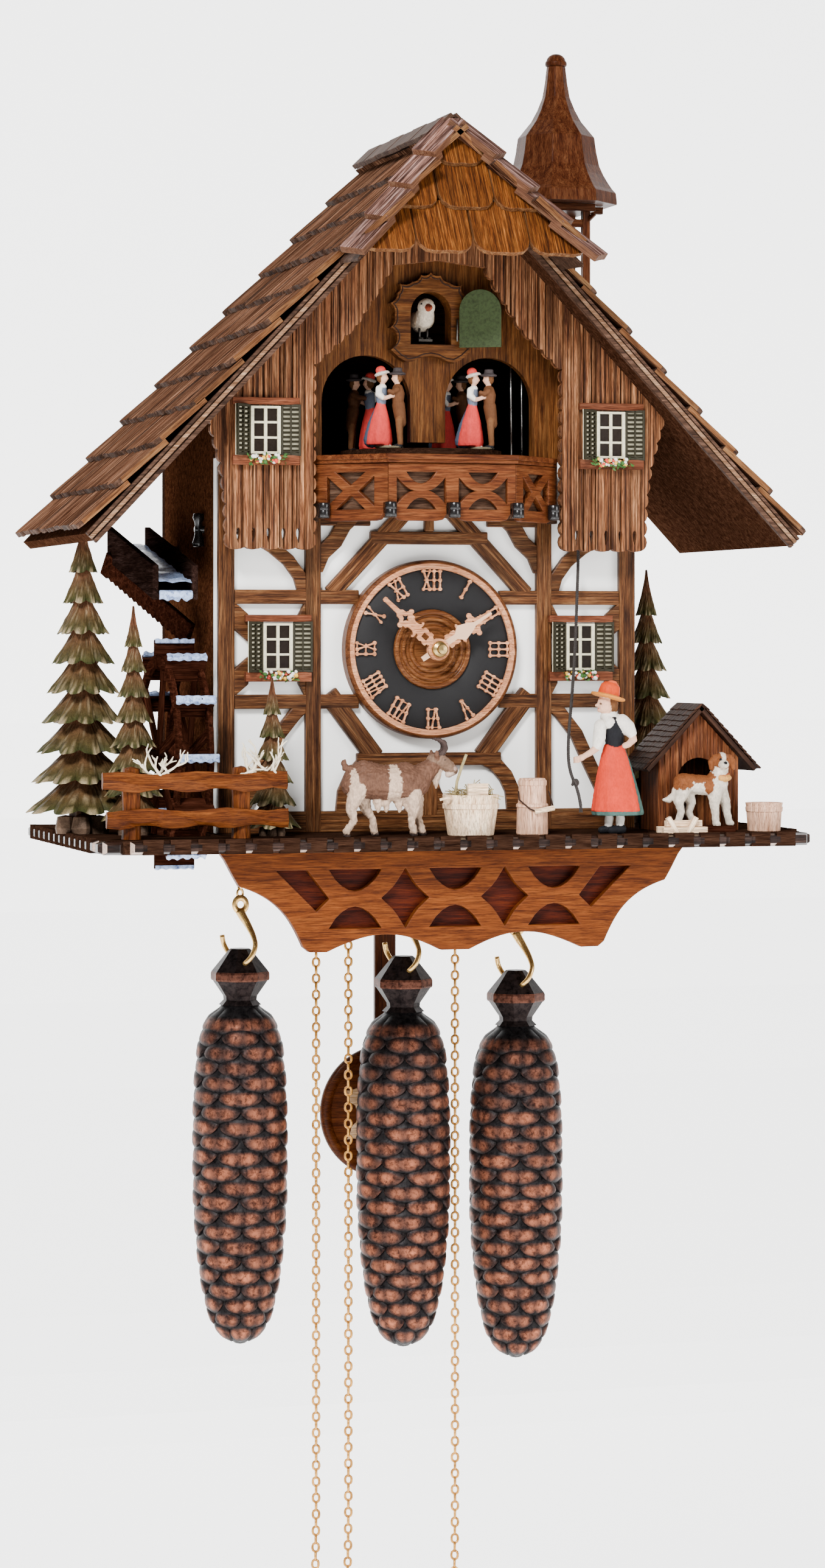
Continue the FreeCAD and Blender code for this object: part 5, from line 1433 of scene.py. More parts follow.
def hands(mat_tan, mat_brass):
    minute, hour = Build(), Build()
    carved_hand(minute, 37.4, -142.0, math.radians(312.0), 1.0)
    minute.finish("minute_hand_carved", [mat_tan], "minute_train", replaces="minute_hand", slot="hand_wood",
                  bevel=0.16)
    carved_hand(hour, 33.0, -139.2, math.radians(57.0), 1.15)
    pipe = [(1.6, 0), (2.6, 0), (2.6, 33), (1.6, 33)]
    hour.add(closed_lathe(pipe, 24), 1, place=facing_front(0, -106.0, DIAL_Z), smooth=False)
    hour.finish("hour_hand_carved", [mat_tan, mat_brass], "hour", slot="hand_wood", bevel=0.16)
    nut = Build()
    nut.add(lathe([(0.01, 0), (3.6, 0), (4.0, 0.5), (4.0, 1.8), (3.5, 2.6), (2.4, 2.8), (2.1, 3.3),
                   (1.4, 3.4),
                   (1.2, 2.9), (0.7, 2.9), (0.6, 3.6), (0.01, 3.7)], 32), 0,
            place=facing_front(0, -142.1, DIAL_Z),
            smooth=True)
    nut.finish("hand_nut_turned", [mat_brass], "minute_train", slot="brass", bevel=0.1)


# ---- base ----
def base(mat_top, mat_edge, mat_glint):
    """Base board with notched edging on its front and sides; pale paint on some chamfers of each tooth is a
    painted glint.
    """
    build = Build()
    pitch, tooth, proud = 13.15, 9.8, 3.0
    x0 = -175.0
    tooth_faces = [(0, 3, 2, 1), (4, 5, 6, 7), (0, 1, 5, 4), (1, 2, 6, 5), (2, 3, 7, 6), (3, 0, 4, 7)]
    for i in range(27):
        a = x0 + pitch * i - 1.7
        b = min(a + tooth, 178.0)
        if b - a < 3:
            continue
        ridge = -187.0 - proud
        z0, z1 = BASE_LOW + 0.05, BASE_TOP - 0.05
        verts = [(a, -186.5, z0), (b, -186.5, z0), (b, -186.5, z1), (a, -186.5, z1),
                 (a + 1.7, ridge, z0 + 1.3), (b - 1.7, ridge, z0 + 1.3), (b - 1.7, ridge, z1 - 1.3),
                 (a + 1.7, ridge, z1 - 1.3)]
        # Pale paint on the left chamfer, and on the lower chamfer of every other tooth: a painted glint.
        build.add((verts, tooth_faces), pick=lambda k, lit=i % 2: 2 if k == 5 or (lit and k == 2) else 1)
    for side in (-1, 1):
        for i in range(14):
            a = -184.5 + pitch * i
            b = min(a + tooth, -2.0)
            if b - a < 3:
                continue
            z0, z1 = BASE_LOW + 0.05, BASE_TOP - 0.05
            x_in, x_out = side * 174.5, side * 178.0
            verts = [(x_in, a, z0), (x_in, b, z0), (x_in, b, z1), (x_in, a, z1), (x_out, a + 1.7, z0 + 1.3),
                     (x_out, b - 1.7, z0 + 1.3), (x_out, b - 1.7, z1 - 1.3), (x_out, a + 1.7, z1 - 1.3)]
            faces = [f[::-1] for f in tooth_faces] if side > 0 else tooth_faces
            # Pale paint on one chamfer of each side tooth, changing sides from tooth to tooth: a painted
            # glint.
            build.add((verts, faces), pick=lambda k, lit=i % 2: 2 if k == 3 + 2 * lit else 1)
    build.finish("base_edging", [mat_top, mat_edge, mat_glint], "case", slot="base_wood", bevel=0.4,
                 segments=2)


def smooth_run(points, steps=5):
    """Rounded version of a run of corner points (quadratic through the middles)."""
    out = [points[0]]
    for i in range(1, len(points) - 1):
        p0 = [(points[i - 1][k] + points[i][k]) / 2 for k in (0, 1)] if i > 1 else points[0]
        p2 = [(points[i][k] + points[i + 1][k]) / 2 for k in (0, 1)] if i < len(points) - 2 else points[-1]
        for s in range(0 if i > 1 else 1, steps + 1):
            t = s / steps
            out.append(tuple((1 - t) ** 2 * p0[k] + 2 * t * (1 - t) * points[i][k] + t * t * p2[k]
                             for k in (0, 1)))
    tidy = [out[0]]
    for p in out[1:]:
        if math.hypot(p[0] - tidy[-1][0], p[1] - tidy[-1][1]) > 0.15:
            tidy.append(p)
    return tidy


def skirt_loop(inset=0.0):
    left = [(117 - inset, BASE_LOW), (114 - inset, -250), (110 - inset, -257.5), (107.0 - inset, -262.6)]
    shoulder = smooth_run([(107.0 - inset, -262.6), (99 - inset, -265), (88 - inset, -272),
                           (80 - inset, -282),
                           (75.6 - inset, -292)])
    foot = [(72.5 - inset, -294.5 + inset), (64, -294.6 + inset)]
    wave = smooth_run([(64, -294.6 + inset), (52, -289), (35, -285.8 + inset), (18, -289),
                       (7, -294.6 + inset)])
    wave = [(x, max(z, -294.6 + inset)) for x, z in wave]
    right = left + shoulder[1:] + foot + wave[1:]
    return right + [(-x, z) for x, z in right[::-1]]


def skirt(mat, mat_back):
    """Carved apron: rows of half-lenses and diamonds cut through, over a dark red backing board."""
    build = Build()
    holes = []
    for x in (-50, 0, 50):
        holes += [bow(x - 13, x + 13, -255.2, -10.4)[::-1], bow(x - 13, x + 13, -283.4, 10.4)]
    for x in (-25, 25):
        corners = [(x - 12, -269.2), (x, -283.6), (x + 12, -269.2), (x, -254.8)]
        loop = []
        for k in range(4):
            a, b = corners[k], corners[(k + 1) % 4]
            for s in range(5):
                t = s / 5
                pull = 1.1 * math.sin(math.pi * t)
                px, pz = a[0] + (b[0] - a[0]) * t, a[1] + (b[1] - a[1]) * t
                d = math.hypot(px - x, pz + 269.2)
                loop.append((px - (px - x) / d * pull, pz - (pz + 269.2) / d * pull))
        holes.append(loop)
    for side in (-1, 1):
        bar = [(73.6, -255.4), (89.0, -255.4), (69.0, -275.2), (62.8, -269.2)]
        bar = [(side * x, z) for x, z in bar]
        holes.append(bar if side > 0 else bar[::-1])
    build.add(plate(skirt_loop(), -170.0, 5.0, holes), 0, tone=0.5)
    build.finish("skirt_carved", [mat], "case", replaces="skirt_board", slot="apron_wood", bevel=0.9,
                 segments=2)
    back = Build()
    back.add(plate(skirt_loop(3.5), -164.9, 2.9), 0, tone=0.5)
    back.finish("skirt_red_backing", [mat_back], "case", replaces="skirt_backing", slot="backing_wood",
                bevel=0.3)


# ---- figures: simple shapes fused into one carved form ----
def limb(points, radii, sides=14):
    """Tapered round limb with domed ends through a run of points."""
    pts = [Vector(p) for p in points]
    first, last = (pts[0] - pts[1]).normalized(), (pts[-1] - pts[-2]).normalized()
    r0, r1 = radii[0], radii[-1]
    run = [(pts[0] + first * r0 * 0.85, r0 * 0.3), (pts[0] + first * r0 * 0.5, r0 * 0.8)]
    run += list(zip(pts, radii)) + [(pts[-1] + last * r1 * 0.5, r1 * 0.8),
                                    (pts[-1] + last * r1 * 0.85, r1 * 0.3)]
    verts, faces = [], []
    side = None
    for k, (p, r) in enumerate(run):
        along = (run[min(k + 1, len(run) - 1)][0] - run[max(k - 1, 0)][0]).normalized()
        side = along.orthogonal() if side is None else side - along * side.dot(along)
        side = side.normalized()
        other = along.cross(side)
        for i in range(sides):
            a = 2 * math.pi * i / sides
            verts.append(tuple(p + (side * math.cos(a) + other * math.sin(a)) * r))
    for k in range(len(run) - 1):
        for i in range(sides):
            j = (i + 1) % sides
            faces.append((k * sides + i, k * sides + j, (k + 1) * sides + j, (k + 1) * sides + i))
    faces.append([i for i in range(sides)][::-1])
    faces.append([(len(run) - 1) * sides + i for i in range(sides)])
    return verts, faces


def blob(x, y, z, rx, ry, rz, turn=(0, 0, 0)):
    return placed(ball(1, 1, 1, 14, 22), move(x, y, z, turn=turn, size=(rx, ry, rz)))


class Figure:
    """Shapes with a colour each, fused by a fine voxel skin. Patches recolour what lies inside them."""

    def __init__(self, place=None):
        self.parts, self.patches = [], []
        self.place = place or Matrix.Identity(4)

    def add(self, shape, tint):
        self.parts.append((shape, tint))

    def patch(self, x, y, z, rx, ry, rz, tint):
        self.patches.append(((x, y, z), (rx, ry, rz), tint))

    def skin(self, voxel, relax, fur):
        """Fused points, faces and colours in the figure's own coordinates."""
        verts, faces = [], []
        for (v, f), _ in self.parts:
            start = len(verts)
            verts += v
            faces += [[start + i for i in face] for face in f]
        mesh = bpy.data.meshes.new("figure_source")
        mesh.from_pydata(verts, [], faces)
        obj = bpy.data.objects.new("figure_source", mesh)
        bpy.context.collection.objects.link(obj)
        mod = obj.modifiers.new("fuse", "REMESH")
        mod.mode, mod.voxel_size = "VOXEL", voxel
        mod = obj.modifiers.new("relax", "SMOOTH")
        mod.factor, mod.iterations = 0.5, relax
        deps = bpy.context.evaluated_depsgraph_get()
        fused = bpy.data.meshes.new_from_object(obj.evaluated_get(deps))
        bpy.data.objects.remove(obj)
        trees = [(BVHTree.FromPolygons([Vector(v) for v in shape[0]], shape[1]), tint) for shape,
                 tint in self.parts]
        points, colors = [], []
        normals = [v.normal.copy() for v in fused.vertices]
        for vertex, normal in zip(fused.vertices, normals):
            co = vertex.co
            near = min(trees, key=lambda t: t[0].find_nearest(co)[3]
                       if t[0].find_nearest(co, 4.0)[3] is not None else 99)
            tint = near[1]
            wob = noise.noise(co * 0.9) * 0.16
            for center, radii, color in self.patches:
                d = sum(((co[k] - center[k]) / radii[k]) ** 2 for k in range(3))
                if d < 1 + wob * 3:
                    tint = color
            points.append(co + normal * (noise.noise(Vector((co.x * 0.7, co.y * 0.7, co.z * 0.35)) * 1.6)
                                         * fur))
            colors.append(tint)
        return points, [list(p.vertices) for p in fused.polygons], colors

    def into(self, build, voxel=0.5, relax=2, fur=0.0, mat=0):
        points, faces, colors = self.skin(voxel, relax, fur)
        start = len(build.verts)
        build.add((points, faces), mat, place=self.place, smooth=True, grain="z", tone=0.5)
        build.tints[start:] = [(*c, 1.0) for c in colors]


WHITE = (0.80, 0.74, 0.66)
SKIN, HAIR = (0.70, 0.40, 0.27), (0.12, 0.05, 0.02)
DARK, BLACK = (0.05, 0.04, 0.04), (0.012, 0.012, 0.014)


def goat(mat):
    fur, pale, horn = (0.135, 0.066, 0.042), (0.60, 0.42, 0.30), (0.06, 0.04, 0.035)
    x, y, z = -63.3, -172.0, BASE_TOP
    f = Figure()
    P = lambda cx, cz, dy=0.0: (x + cx * 0.1166, y + dy, z + cz * 0.112)
    f.add(limb([P(105, 222), P(160, 236), P(240, 226), P(330, 226), P(372, 232)],
               [7.0, 8.3, 8.8, 8.6, 7.4]), fur)
    f.add(limb([P(95, 255), P(140, 285), P(230, 268), P(330, 275)], [4.0, 5.0, 4.2, 4.8]), fur)
    f.add(limb([P(345, 235), P(395, 262), P(440, 300)], [7.0, 5.6, 4.2]), fur)
    f.add(limb([P(440, 318), P(470, 322), P(505, 300), P(533, 280)], [3.7, 3.9, 3.0, 2.1]),
          (0.20, 0.12, 0.08))
    f.add(limb([P(524, 268), P(505, 262)], [1.6, 1.7]), (0.55, 0.40, 0.32))
    f.add(limb([P(460, 275), P(452, 230), P(455, 205)], [2.2, 1.6, 0.5]), pale)
    for s in (-1, 1):
        f.add(limb([P(470, 345, s * 1.6), P(490, 372, s * 2.0), P(485, 400, s * 2.4), P(462, 414, s * 2.6),
                    P(446, 416, s * 2.8)], [1.5, 1.35, 1.15, 0.8, 0.4]), horn)
        f.add(limb([P(452, 330, s * 3.2), P(444, 352, s * 4.4), P(446, 366, s * 4.8)], [1.0, 1.2, 0.5]),
              fur)
        f.add(blob(*P(486, 324, s * 2.9), 0.75, 0.5, 0.75), BLACK)
    f.add(limb([P(88, 288), P(66, 296), P(60, 318), P(66, 328)], [2.2, 1.6, 1.5, 0.6]), fur)
    legs = [((120, 215), (82, 120), (96, 70), (62, 22), -3.6),
            ((140, 200), (160, 120), (192, 75), (198, 20), 3.6),
            ((345, 195), (352, 115), (340, 70), (350, 22), -3.4),
            ((365, 195), (385, 110), (388, 70), (402, 20), 3.4)]
    for hip, knee, shin, foot, dy in legs:
        f.add(limb([P(*hip, dy * 0.8), P(*knee, dy)], [5.0, 2.7]), pale)
        f.add(limb([P(*knee, dy), P(*shin, dy), P(*foot, dy)], [2.6, 1.7, 1.9]), pale)
        f.add(limb([P(foot[0] - 3, 12, dy), P(foot[0] + 12, 9, dy)], [1.5, 1.2]), horn)
    for cx in (200, 235, 290, 325):
        f.add(limb([P(cx, 150, -1.5), P(cx + 3, 105, -2.2)], [2.4, 0.7]), pale)
    f.patch(*P(262, 200, -6), 3.4, 8, 15, pale)
    f.patch(*P(95, 200, -2), 2.6, 9, 10, pale)
    f.patch(*P(330, 130, -2), 10, 9, 4.4, pale)
    f.patch(*P(200, 125, -2), 14, 9, 2.6, pale)
    f.patch(*P(535, 288), 1.6, 3, 1.6, (0.45, 0.3, 0.24))
    build = Build()
    f.into(build, 0.5, 2, 0.55)
    build.finish("goat_carved", [mat], "case", replaces="goat", slot="figure_paint")


def dog(mat, mat_wood):
    tan, white = (0.20, 0.065, 0.022), (0.74, 0.64, 0.52)
    f = Figure()
    P = lambda cx, cz, dy=0.0: (112 + (cx - 615) * 0.119, -168.6 + dy, BASE_TOP + 3.0 + cz * 0.1145)
    f.add(limb([P(650, 185), P(700, 178), P(760, 172), P(810, 178)], [4.8, 4.9, 5.0, 5.6]), white)
    f.add(limb([P(800, 190), P(815, 225), P(822, 255)], [5.2, 4.4, 3.9]), white)
    f.add(blob(*P(822, 275, -1.5), 4.2, 4.4, 4.4), tan)
    f.add(blob(*P(818, 262, -5.2), 2.4, 3.4, 2.1), white)
    f.add(blob(*P(817, 270, -8.2), 0.9, 0.7, 0.7), BLACK)
    for s in (-1, 1):
        f.add(limb([P(822 + s * 30, 295, -1.5), P(822 + s * 48, 272, -1.6), P(822 + s * 47, 245, -2.0)],
                   [1.5, 1.7, 1.2]),
              tan)
        f.add(blob(*P(818 + s * 13, 284, -5.2), 0.55, 0.5, 0.55), BLACK)
    legs = [((655, 165), (628, 100), (640, 60), (622, 10), -2.8),
            ((668, 165), (700, 95), (688, 55), (712, 10), 2.6),
            ((790, 150), (786, 90), (790, 50), (792, 10), -2.6),
            ((822, 150), (850, 90), (856, 50), (866, 10), 2.2)]
    for hip, knee, shin, foot, dy in legs:
        f.add(limb([P(*hip, dy * 0.7), P(*knee, dy), P(*shin, dy), P(*foot, dy)], [4.0, 2.5, 1.9, 1.8]),
              white)
        f.add(limb([P(foot[0], 8, dy), P(foot[0] + 6, 7, dy - 1.6)], [1.7, 1.4]), white)
    f.add(limb([P(634, 170), P(618, 130), P(592, 112), P(572, 112)], [2.4, 1.9, 1.8, 0.8]), white)
    f.add(limb([P(806, 203, -4.4), P(830, 203, -5.2), P(846, 206, -3.6)], [1.5, 1.6, 1.4]),
          (0.62, 0.30, 0.08))
    f.add(limb([P(795, 216, -3.0), P(822, 208, -5.6), P(850, 220, -2.4)], [0.7, 0.7, 0.7]),
          (0.35, 0.10, 0.05))
    f.patch(*P(648, 200), 6.2, 9, 6.4, tan)
    f.patch(*P(715, 212), 9, 9, 4.0, tan)
    f.patch(*P(757, 172, -4), 2.6, 4, 4.2, tan)
    f.patch(*P(820, 300, -4), 1.1, 6, 4.0, white)
    build = Build()
    f.into(build, 0.42, 2, 0.25)
    plank_y = -169.5
    build.add(block(110.0, 142.0, plank_y - 5.5, plank_y + 5.5, BASE_TOP, BASE_TOP + 3.0), 1, tone=0.5)
    build.finish("dog_carved", [mat, mat_wood], "case", replaces="dog", slot="figure_paint")


def ringer(mat):
    """Girl in a hat, pulling the bell rope; the pulling arm turns at the shoulder."""
    hat, brim = (0.60, 0.06, 0.010), (0.56, 0.20, 0.03)
    red, green = (0.56, 0.040, 0.018), (0.06, 0.11, 0.095)
    P = lambda cx, cy, dy=0.0: (74 + (cx - 301) * 0.118, -177.0 + dy, BASE_TOP + (735 - cy) * 0.1136)
    f = Figure()
    # skirt with pleats, and the apron over its front
    pleats = lambda a, h: 1 + 0.045 * math.sin(11 * a) * max(0, 1 - h / 34)
    profile = [(0.2, 9), (12.2, 9), (12.6, 10.5), (11.2, 18), (9.2, 27), (6.8, 36), (4.6, 42.5), (0.2, 43)]
    verts, faces = lathe(profile, 44, pleats)
    lean = []
    for vx, vy, vz in verts:
        h = (vz - 9) / 34
        lean.append((80.6 - 1.6 * h + vx * 1.02, -176.0 + vy * 0.8, BASE_TOP + vz))
    f.add((lean, faces), green)
    apron, count = [], 12
    for side_r in (1.0, 0.9):
        for r, h in profile[2:7]:
            for i in range(count + 1):
                a = math.radians(178 + 132 * i / count)
                k = (r * pleats(a, h) + 0.9) * side_r
                t = (h - 9) / 34
                apron.append((80.6 - 1.6 * t + k * math.cos(a) * 1.02, -176.0 + k * math.sin(a) * 0.8,
                              BASE_TOP + h + 0.8))
    rows, cols = 5, count + 1
    af = []
    for layer in (0, 1):
        off = layer * rows * cols
        for i in range(rows - 1):
            for j in range(cols - 1):
                q = [off + i * cols + j, off + i * cols + j + 1, off + (i + 1) * cols + j + 1,
                     off + (i + 1) * cols + j]
                af.append(q if layer == 0 else q[::-1])
    rim = [j for j in range(cols)] + [i * cols + cols - 1 for i in range(1, rows)]
    rim += [(rows - 1) * cols + j for j in range(cols - 2, -1, -1)] + [i * cols
                                                                       for i in range(rows - 2, 0, -1)]
    for a, b in zip(rim, rim[1:] + rim[:1]):
        af.append([b, a, rows * cols + a, rows * cols + b])
    f.add((apron, af), red)
    f.add(limb([P(340, 350), P(335, 300), P(332, 262)], [4.4, 5.2, 4.4]), BLACK)
    f.add(limb([P(310, 262, -2.0), P(300, 240, 0), P(330, 232)], [3.2, 3.0, 2.6]), WHITE)
    f.add(limb([P(352, 262, 3), P(350, 240, 1.5)], [3.4, 2.6]), WHITE)
    f.add(limb([P(315, 232), P(306, 212)], [2.0, 1.9]), SKIN)
    f.add(blob(*P(302, 182), 4.3, 3.9, 5.0), SKIN)
    f.add(blob(*P(262, 186), 0.9, 0.75, 0.8), SKIN)
    f.add(blob(*P(277, 207), 1.5, 1.6, 1.1), SKIN)
    f.add(blob(*P(322, 178, 0.2), 3.7, 4.2, 4.6), HAIR)
    f.add(blob(*P(340, 195, 0), 1.7, 2.2, 2.6), HAIR)
    hat_turn = (0, 14, 0)
    crown = lathe([(0.1, 0), (5.2, 0), (5.3, 2), (4.7, 5.4), (3.2, 6.8), (0.1, 7.0)], 30)
    brim_shape = lathe([(0.1, -0.6), (7.0, -1.0), (8.6, -0.4), (8.4, 0.6), (6.4, 0.7), (0.1, 0.8)], 36)
    seat = move(*P(312, 148), turn=hat_turn)
    f.add(placed(crown, seat), hat)
    f.add(placed(brim_shape, seat), brim)
    f.add(blob(*P(325, 92, -1), 2.6, 2.0, 1.4), (0.72, 0.12, 0.04))
    # resting arm: puffed sleeve, elbow out, hand at the waist
    f.add(limb([P(362, 250, -2.6), P(388, 282, -3.4), P(402, 305, -3.6)], [3.4, 3.7, 2.8]), WHITE)
    f.add(limb([P(404, 308, -3.6), P(410, 332, -4.2), P(384, 352, -5.6), P(366, 358, -6.0)],
               [1.9, 1.9, 1.6, 1.5]), SKIN)
    f.add(limb([P(365, 668), P(362, 700)], [2.3, 2.0]), WHITE)
    f.add(limb([P(325, 668, 3), P(322, 700, 3)], [2.3, 2.0]), WHITE)
    f.add(limb([P(372, 716, -0.5), P(318, 720, -1.2)], [2.4, 1.9]), BLACK)
    f.add(limb([P(335, 716, 3), P(290, 720, 3)], [2.4, 1.8]), BLACK)
    for dy in (-2.4, 2.4):
        f.patch(*P(273, 178, dy), 0.7, 0.8, 0.45, (0.10, 0.06, 0.04))
    f.patch(*P(268, 199), 1.1, 1.4, 0.4, (0.55, 0.16, 0.12))
    build = Build()
    f.into(build, 0.42, 2, 0.12)
    build.finish("bell_ringer_carved", [mat], "case", replaces="bell_ringer", slot="figure_paint")
    arm = Figure()
    arm.add(limb([(70.4, -179.4, -186.5), (69.6, -180.4, -192.5), (68.6, -180.4, -197)], [3.0, 3.2, 2.4]),
            WHITE)
    arm.add(limb([(68.6, -180.4, -197.4), (65.4, -180.2, -199.8), (61.6, -179.6, -202)], [1.8, 1.6, 1.3]),
            SKIN)
    arm.add(limb([(61.2, -179.8, -202.2), (58.8, -179.8, -203.2)], [1.6, 1.5]), SKIN)
    for k in range(3):
        arm.add(limb([(59.0, -181.4, -202.0 - 1.1 * k), (57.2, -181.0, -202.2 - 1.1 * k),
                      (57.0, -179.4, -202.4 - 1.1 * k)],
                     [0.6, 0.55, 0.5]), SKIN)
    forearm = Build()
    arm.into(forearm, 0.35, 2, 0.06)
    forearm.finish("ringer_arm_carved", [mat], "ringer_arm", replaces="ringer_arm", slot="skin_paint")


def couple(build, place):
    """Dancing pair on their own pin: she in a red skirt and hat, he in a brown jacket and black hat."""
    f = Figure(place)
    pink, blue, brown = (0.58, 0.045, 0.04), (0.06, 0.075, 0.11), (0.11, 0.045, 0.02)
    skirt = lathe([(0.1, 2.0), (6.8, 2.0), (7.2, 3.4), (6.6, 8), (5.2, 14), (3.2, 20), (2.4, 22.5),
                   (0.1, 23)], 36,
                  lambda a, h: 1 + 0.06 * math.sin(7 * a) * max(0, 1 - h / 22))
    f.add(([(vx * 0.9 - 3.6 - 2.0 * max(0, 1 - vz / 22) * 0.6, vy * 0.85, vz) for vx, vy, vz in skirt[0]],
           skirt[1]), pink)
    f.add(limb([(-8.4, 0.2, 4), (-7.0, 0.2, 12), (-4.8, 0.2, 20)], [4.0, 3.2, 1.8]), blue)
    f.add(limb([(-3.4, 0, 22), (-3.4, 0, 26), (-3.2, 0, 29.5)], [2.2, 2.9, 2.5]), (0.13, 0.15, 0.20))
    f.add(limb([(-4.4, -1.8, 29.6), (-4.6, -2.6, 26.6), (-2.0, -3.6, 24.6)], [1.7, 1.7, 1.2]), WHITE)
    f.add(limb([(-1.8, -3.6, 24.6), (0.6, -3.6, 25.2), (2.4, -3.0, 25.8)], [1.1, 1.0, 0.9]), SKIN)
    f.add(blob(-3.0, 0, 30.4, 2.2, 2.4, 1.3), WHITE)
    f.add(limb([(-2.9, 0, 31), (-2.7, 0, 33)], [1.1, 1.1]), SKIN)
    f.add(blob(-2.5, 0, 34.6, 2.3, 2.1, 2.6), SKIN)
    f.add(blob(-0.2, 0, 34.4, 0.5, 0.45, 0.5), SKIN)
    f.add(blob(-3.7, 0.2, 34.8, 2.1, 2.3, 2.5), HAIR)
    brim = lathe([(0.1, -0.5), (3.6, -0.7), (3.9, -0.1), (3.5, 0.4), (0.1, 0.6)], 24)
    seat = move(-3.2, 0, 37.0, turn=(0, -16, 0))
    f.add(placed(brim, seat), (0.62, 0.55, 0.48))
    f.add(blob(-3.7, 0, 38.3, 2.6, 2.4, 2.3), (0.60, 0.05, 0.04))
    f.add(limb([(4.8, 0, 23), (4.7, 0, 27), (4.6, 0, 29.5)], [2.8, 3.4, 2.8]), brown)
    f.add(limb([(4.9, 0.6, 22), (5.6, 0.8, 17), (6.2, 1.0, 12.5)], [3.2, 3.0, 2.6]), brown)
    f.add(limb([(4.6, -2.6, 29), (2.4, -4.0, 27.4), (0.6, -4.2, 28.2)], [1.6, 1.4, 1.0]), brown)
    f.add(limb([(4.8, 2.8, 29), (1.6, 3.2, 27.8), (-1.4, 2.6, 27.4)], [1.6, 1.4, 1.1]), brown)
    f.add(limb([(4.5, 0, 30), (4.3, 0, 32.5)], [1.3, 1.2]), SKIN)
    f.add(blob(4.1, 0, 34.4, 2.3, 2.1, 2.6), SKIN)
    f.add(blob(1.9, 0, 34.2, 0.5, 0.45, 0.5), SKIN)
    f.add(blob(5.1, 0.1, 34.6, 2.0, 2.2, 2.3), HAIR)
    hat = lathe([(0.1, 36.2), (4.0, 36.2), (4.2, 36.7), (3.8, 37.2), (2.4, 37.4), (2.2, 39.6), (0.1, 39.9)],
                24)
    f.add(([(vx + 4.6, vy, vz) for vx, vy, vz in hat[0]], hat[1]), DARK)
    for dy in (-1.7, 1.9):
        f.add(limb([(5.4, dy, 14), (5.6, dy, 8), (6.0, dy, 2.6)], [1.9, 1.5, 1.3]), (0.16, 0.07, 0.03))
        f.add(limb([(6.0, dy, 1.3), (3.4, dy, 1.2)], [1.3, 1.1]), BLACK)
    f.add(limb([(-1.8, -1.4, 1.4), (0.4, -1.6, 1.4)], [1.2, 1.0]), WHITE)
    f.add(blob(0.4, 0, 0.7, 7.2, 4.6, 0.8), (0.16, 0.13, 0.08))
    f.into(build, 0.42, 1, 0.1)


def dancers(mat):
    build = Build()
    for quarter in range(4):
        angle = math.radians(45 + 90 * quarter)
        x, y = 33 * math.cos(angle), -110 + 33 * math.sin(angle)
        couple(build, move(x, y, -52.0, turn=(0, 0, (-20, 150, -20, -20)[quarter])))
    build.finish("dancing_couples", [mat], "turntable", replaces="dancers", slot="dancer_paint")


def cuckoo(mat, mat_wire):
    f = Figure()
    pale, pink = (0.62, 0.52, 0.40), (0.30, 0.06, 0.03)
    f.add(limb([(-1, -108, 10), (-1, -114, 11.5), (-1, -119, 13.5), (-1, -122, 16)], [2.8, 4.8, 5.0, 4.4]),
          pale)
    f.add(blob(-1, -123, 18.6, 4.4, 4.4, 4.4), pale)
    f.add(limb([(-1, -126.4, 18.2), (-1, -129.2, 17.9), (-1, -131.0, 17.7)], [1.9, 1.5, 0.7]), pink)
    f.add(limb([(-1, -108, 10.5), (-1, -102, 11.6)], [2.2, 1.2]), (0.35, 0.24, 0.16))
    for s in (-1, 1):
        f.add(blob(-1 + s * 4.3, -115, 13, 1.3, 6.5, 3.6, turn=(-10, 0, 0)), (0.42, 0.30, 0.20))
        f.add(blob(-1 + s * 3.0, -125.4, 20.0, 0.6, 0.5, 0.6), BLACK)
    build = Build()
    f.into(build, 0.35, 2, 0.2)
    for x in (-3, 1):
        build.add(tube([(x, -118, 3), (x, -118, 9)], 0.6, 8), 1, smooth=True)
        for a in (-24, 0, 24):
            toe = (x + 2.6 * math.sin(math.radians(a)), -118 - 2.6 * math.cos(math.radians(a)), 3.5)
            build.add(tube([(x, -118, 3.7), toe], 0.4, 6), 1, smooth=True)
    build.add(block(-4.5, 2.5, -122, -95, 1.8, 3.0), 1)
    build.finish("cuckoo_carved", [mat, mat_wire], "cuckoo", replaces="cuckoo_bird", slot="figure_paint",
                 bevel=0.1)


def cuckoo_door(mat, mat_wire):
    """Painted door, swung open about its hinge wire."""
    hinge = (12.9, -129.8, 0)
    build = Build()
    swing = (Matrix.Translation(hinge) @ Matrix.Rotation(math.radians(150), 4, "Z")
             @ Matrix.Translation((-hinge[0], -hinge[1], 0)))
    loop = arch_loop(hinge[0] - 11.6, 10.5, -1.5, 27.0, 20)
    build.add(plate(loop, -131.0, 1.6), 0, place=swing, tone=0.5)
    build.add(tube([(hinge[0], hinge[1], 1.5), (hinge[0], hinge[1], 12.5)], 0.55, 8), 1, place=swing,
              smooth=True)
    eye = [(hinge[0] - 1.8 + 1.3 * math.cos(a), hinge[1] - 1.6, 5.0 + 0.9 * math.sin(a)) for a in turns(16)]
    build.add(tube(eye, 0.28, 6, closed=True), 1, place=swing, smooth=True)
    build.finish("cuckoo_door_painted", [mat, mat_wire], "cuckoo_door", replaces="cuckoo_door",
                 slot="door_paint",
                 bevel=0.35)


# ---- water wheel and chute ----
WHEEL = Vector((-123.5, -102.0, -201.3))


def about_wheel(angle):
    return Matrix.Translation(WHEEL) @ Matrix.Rotation(math.radians(angle), 4,
                                                       "X") @ Matrix.Translation(-WHEEL)


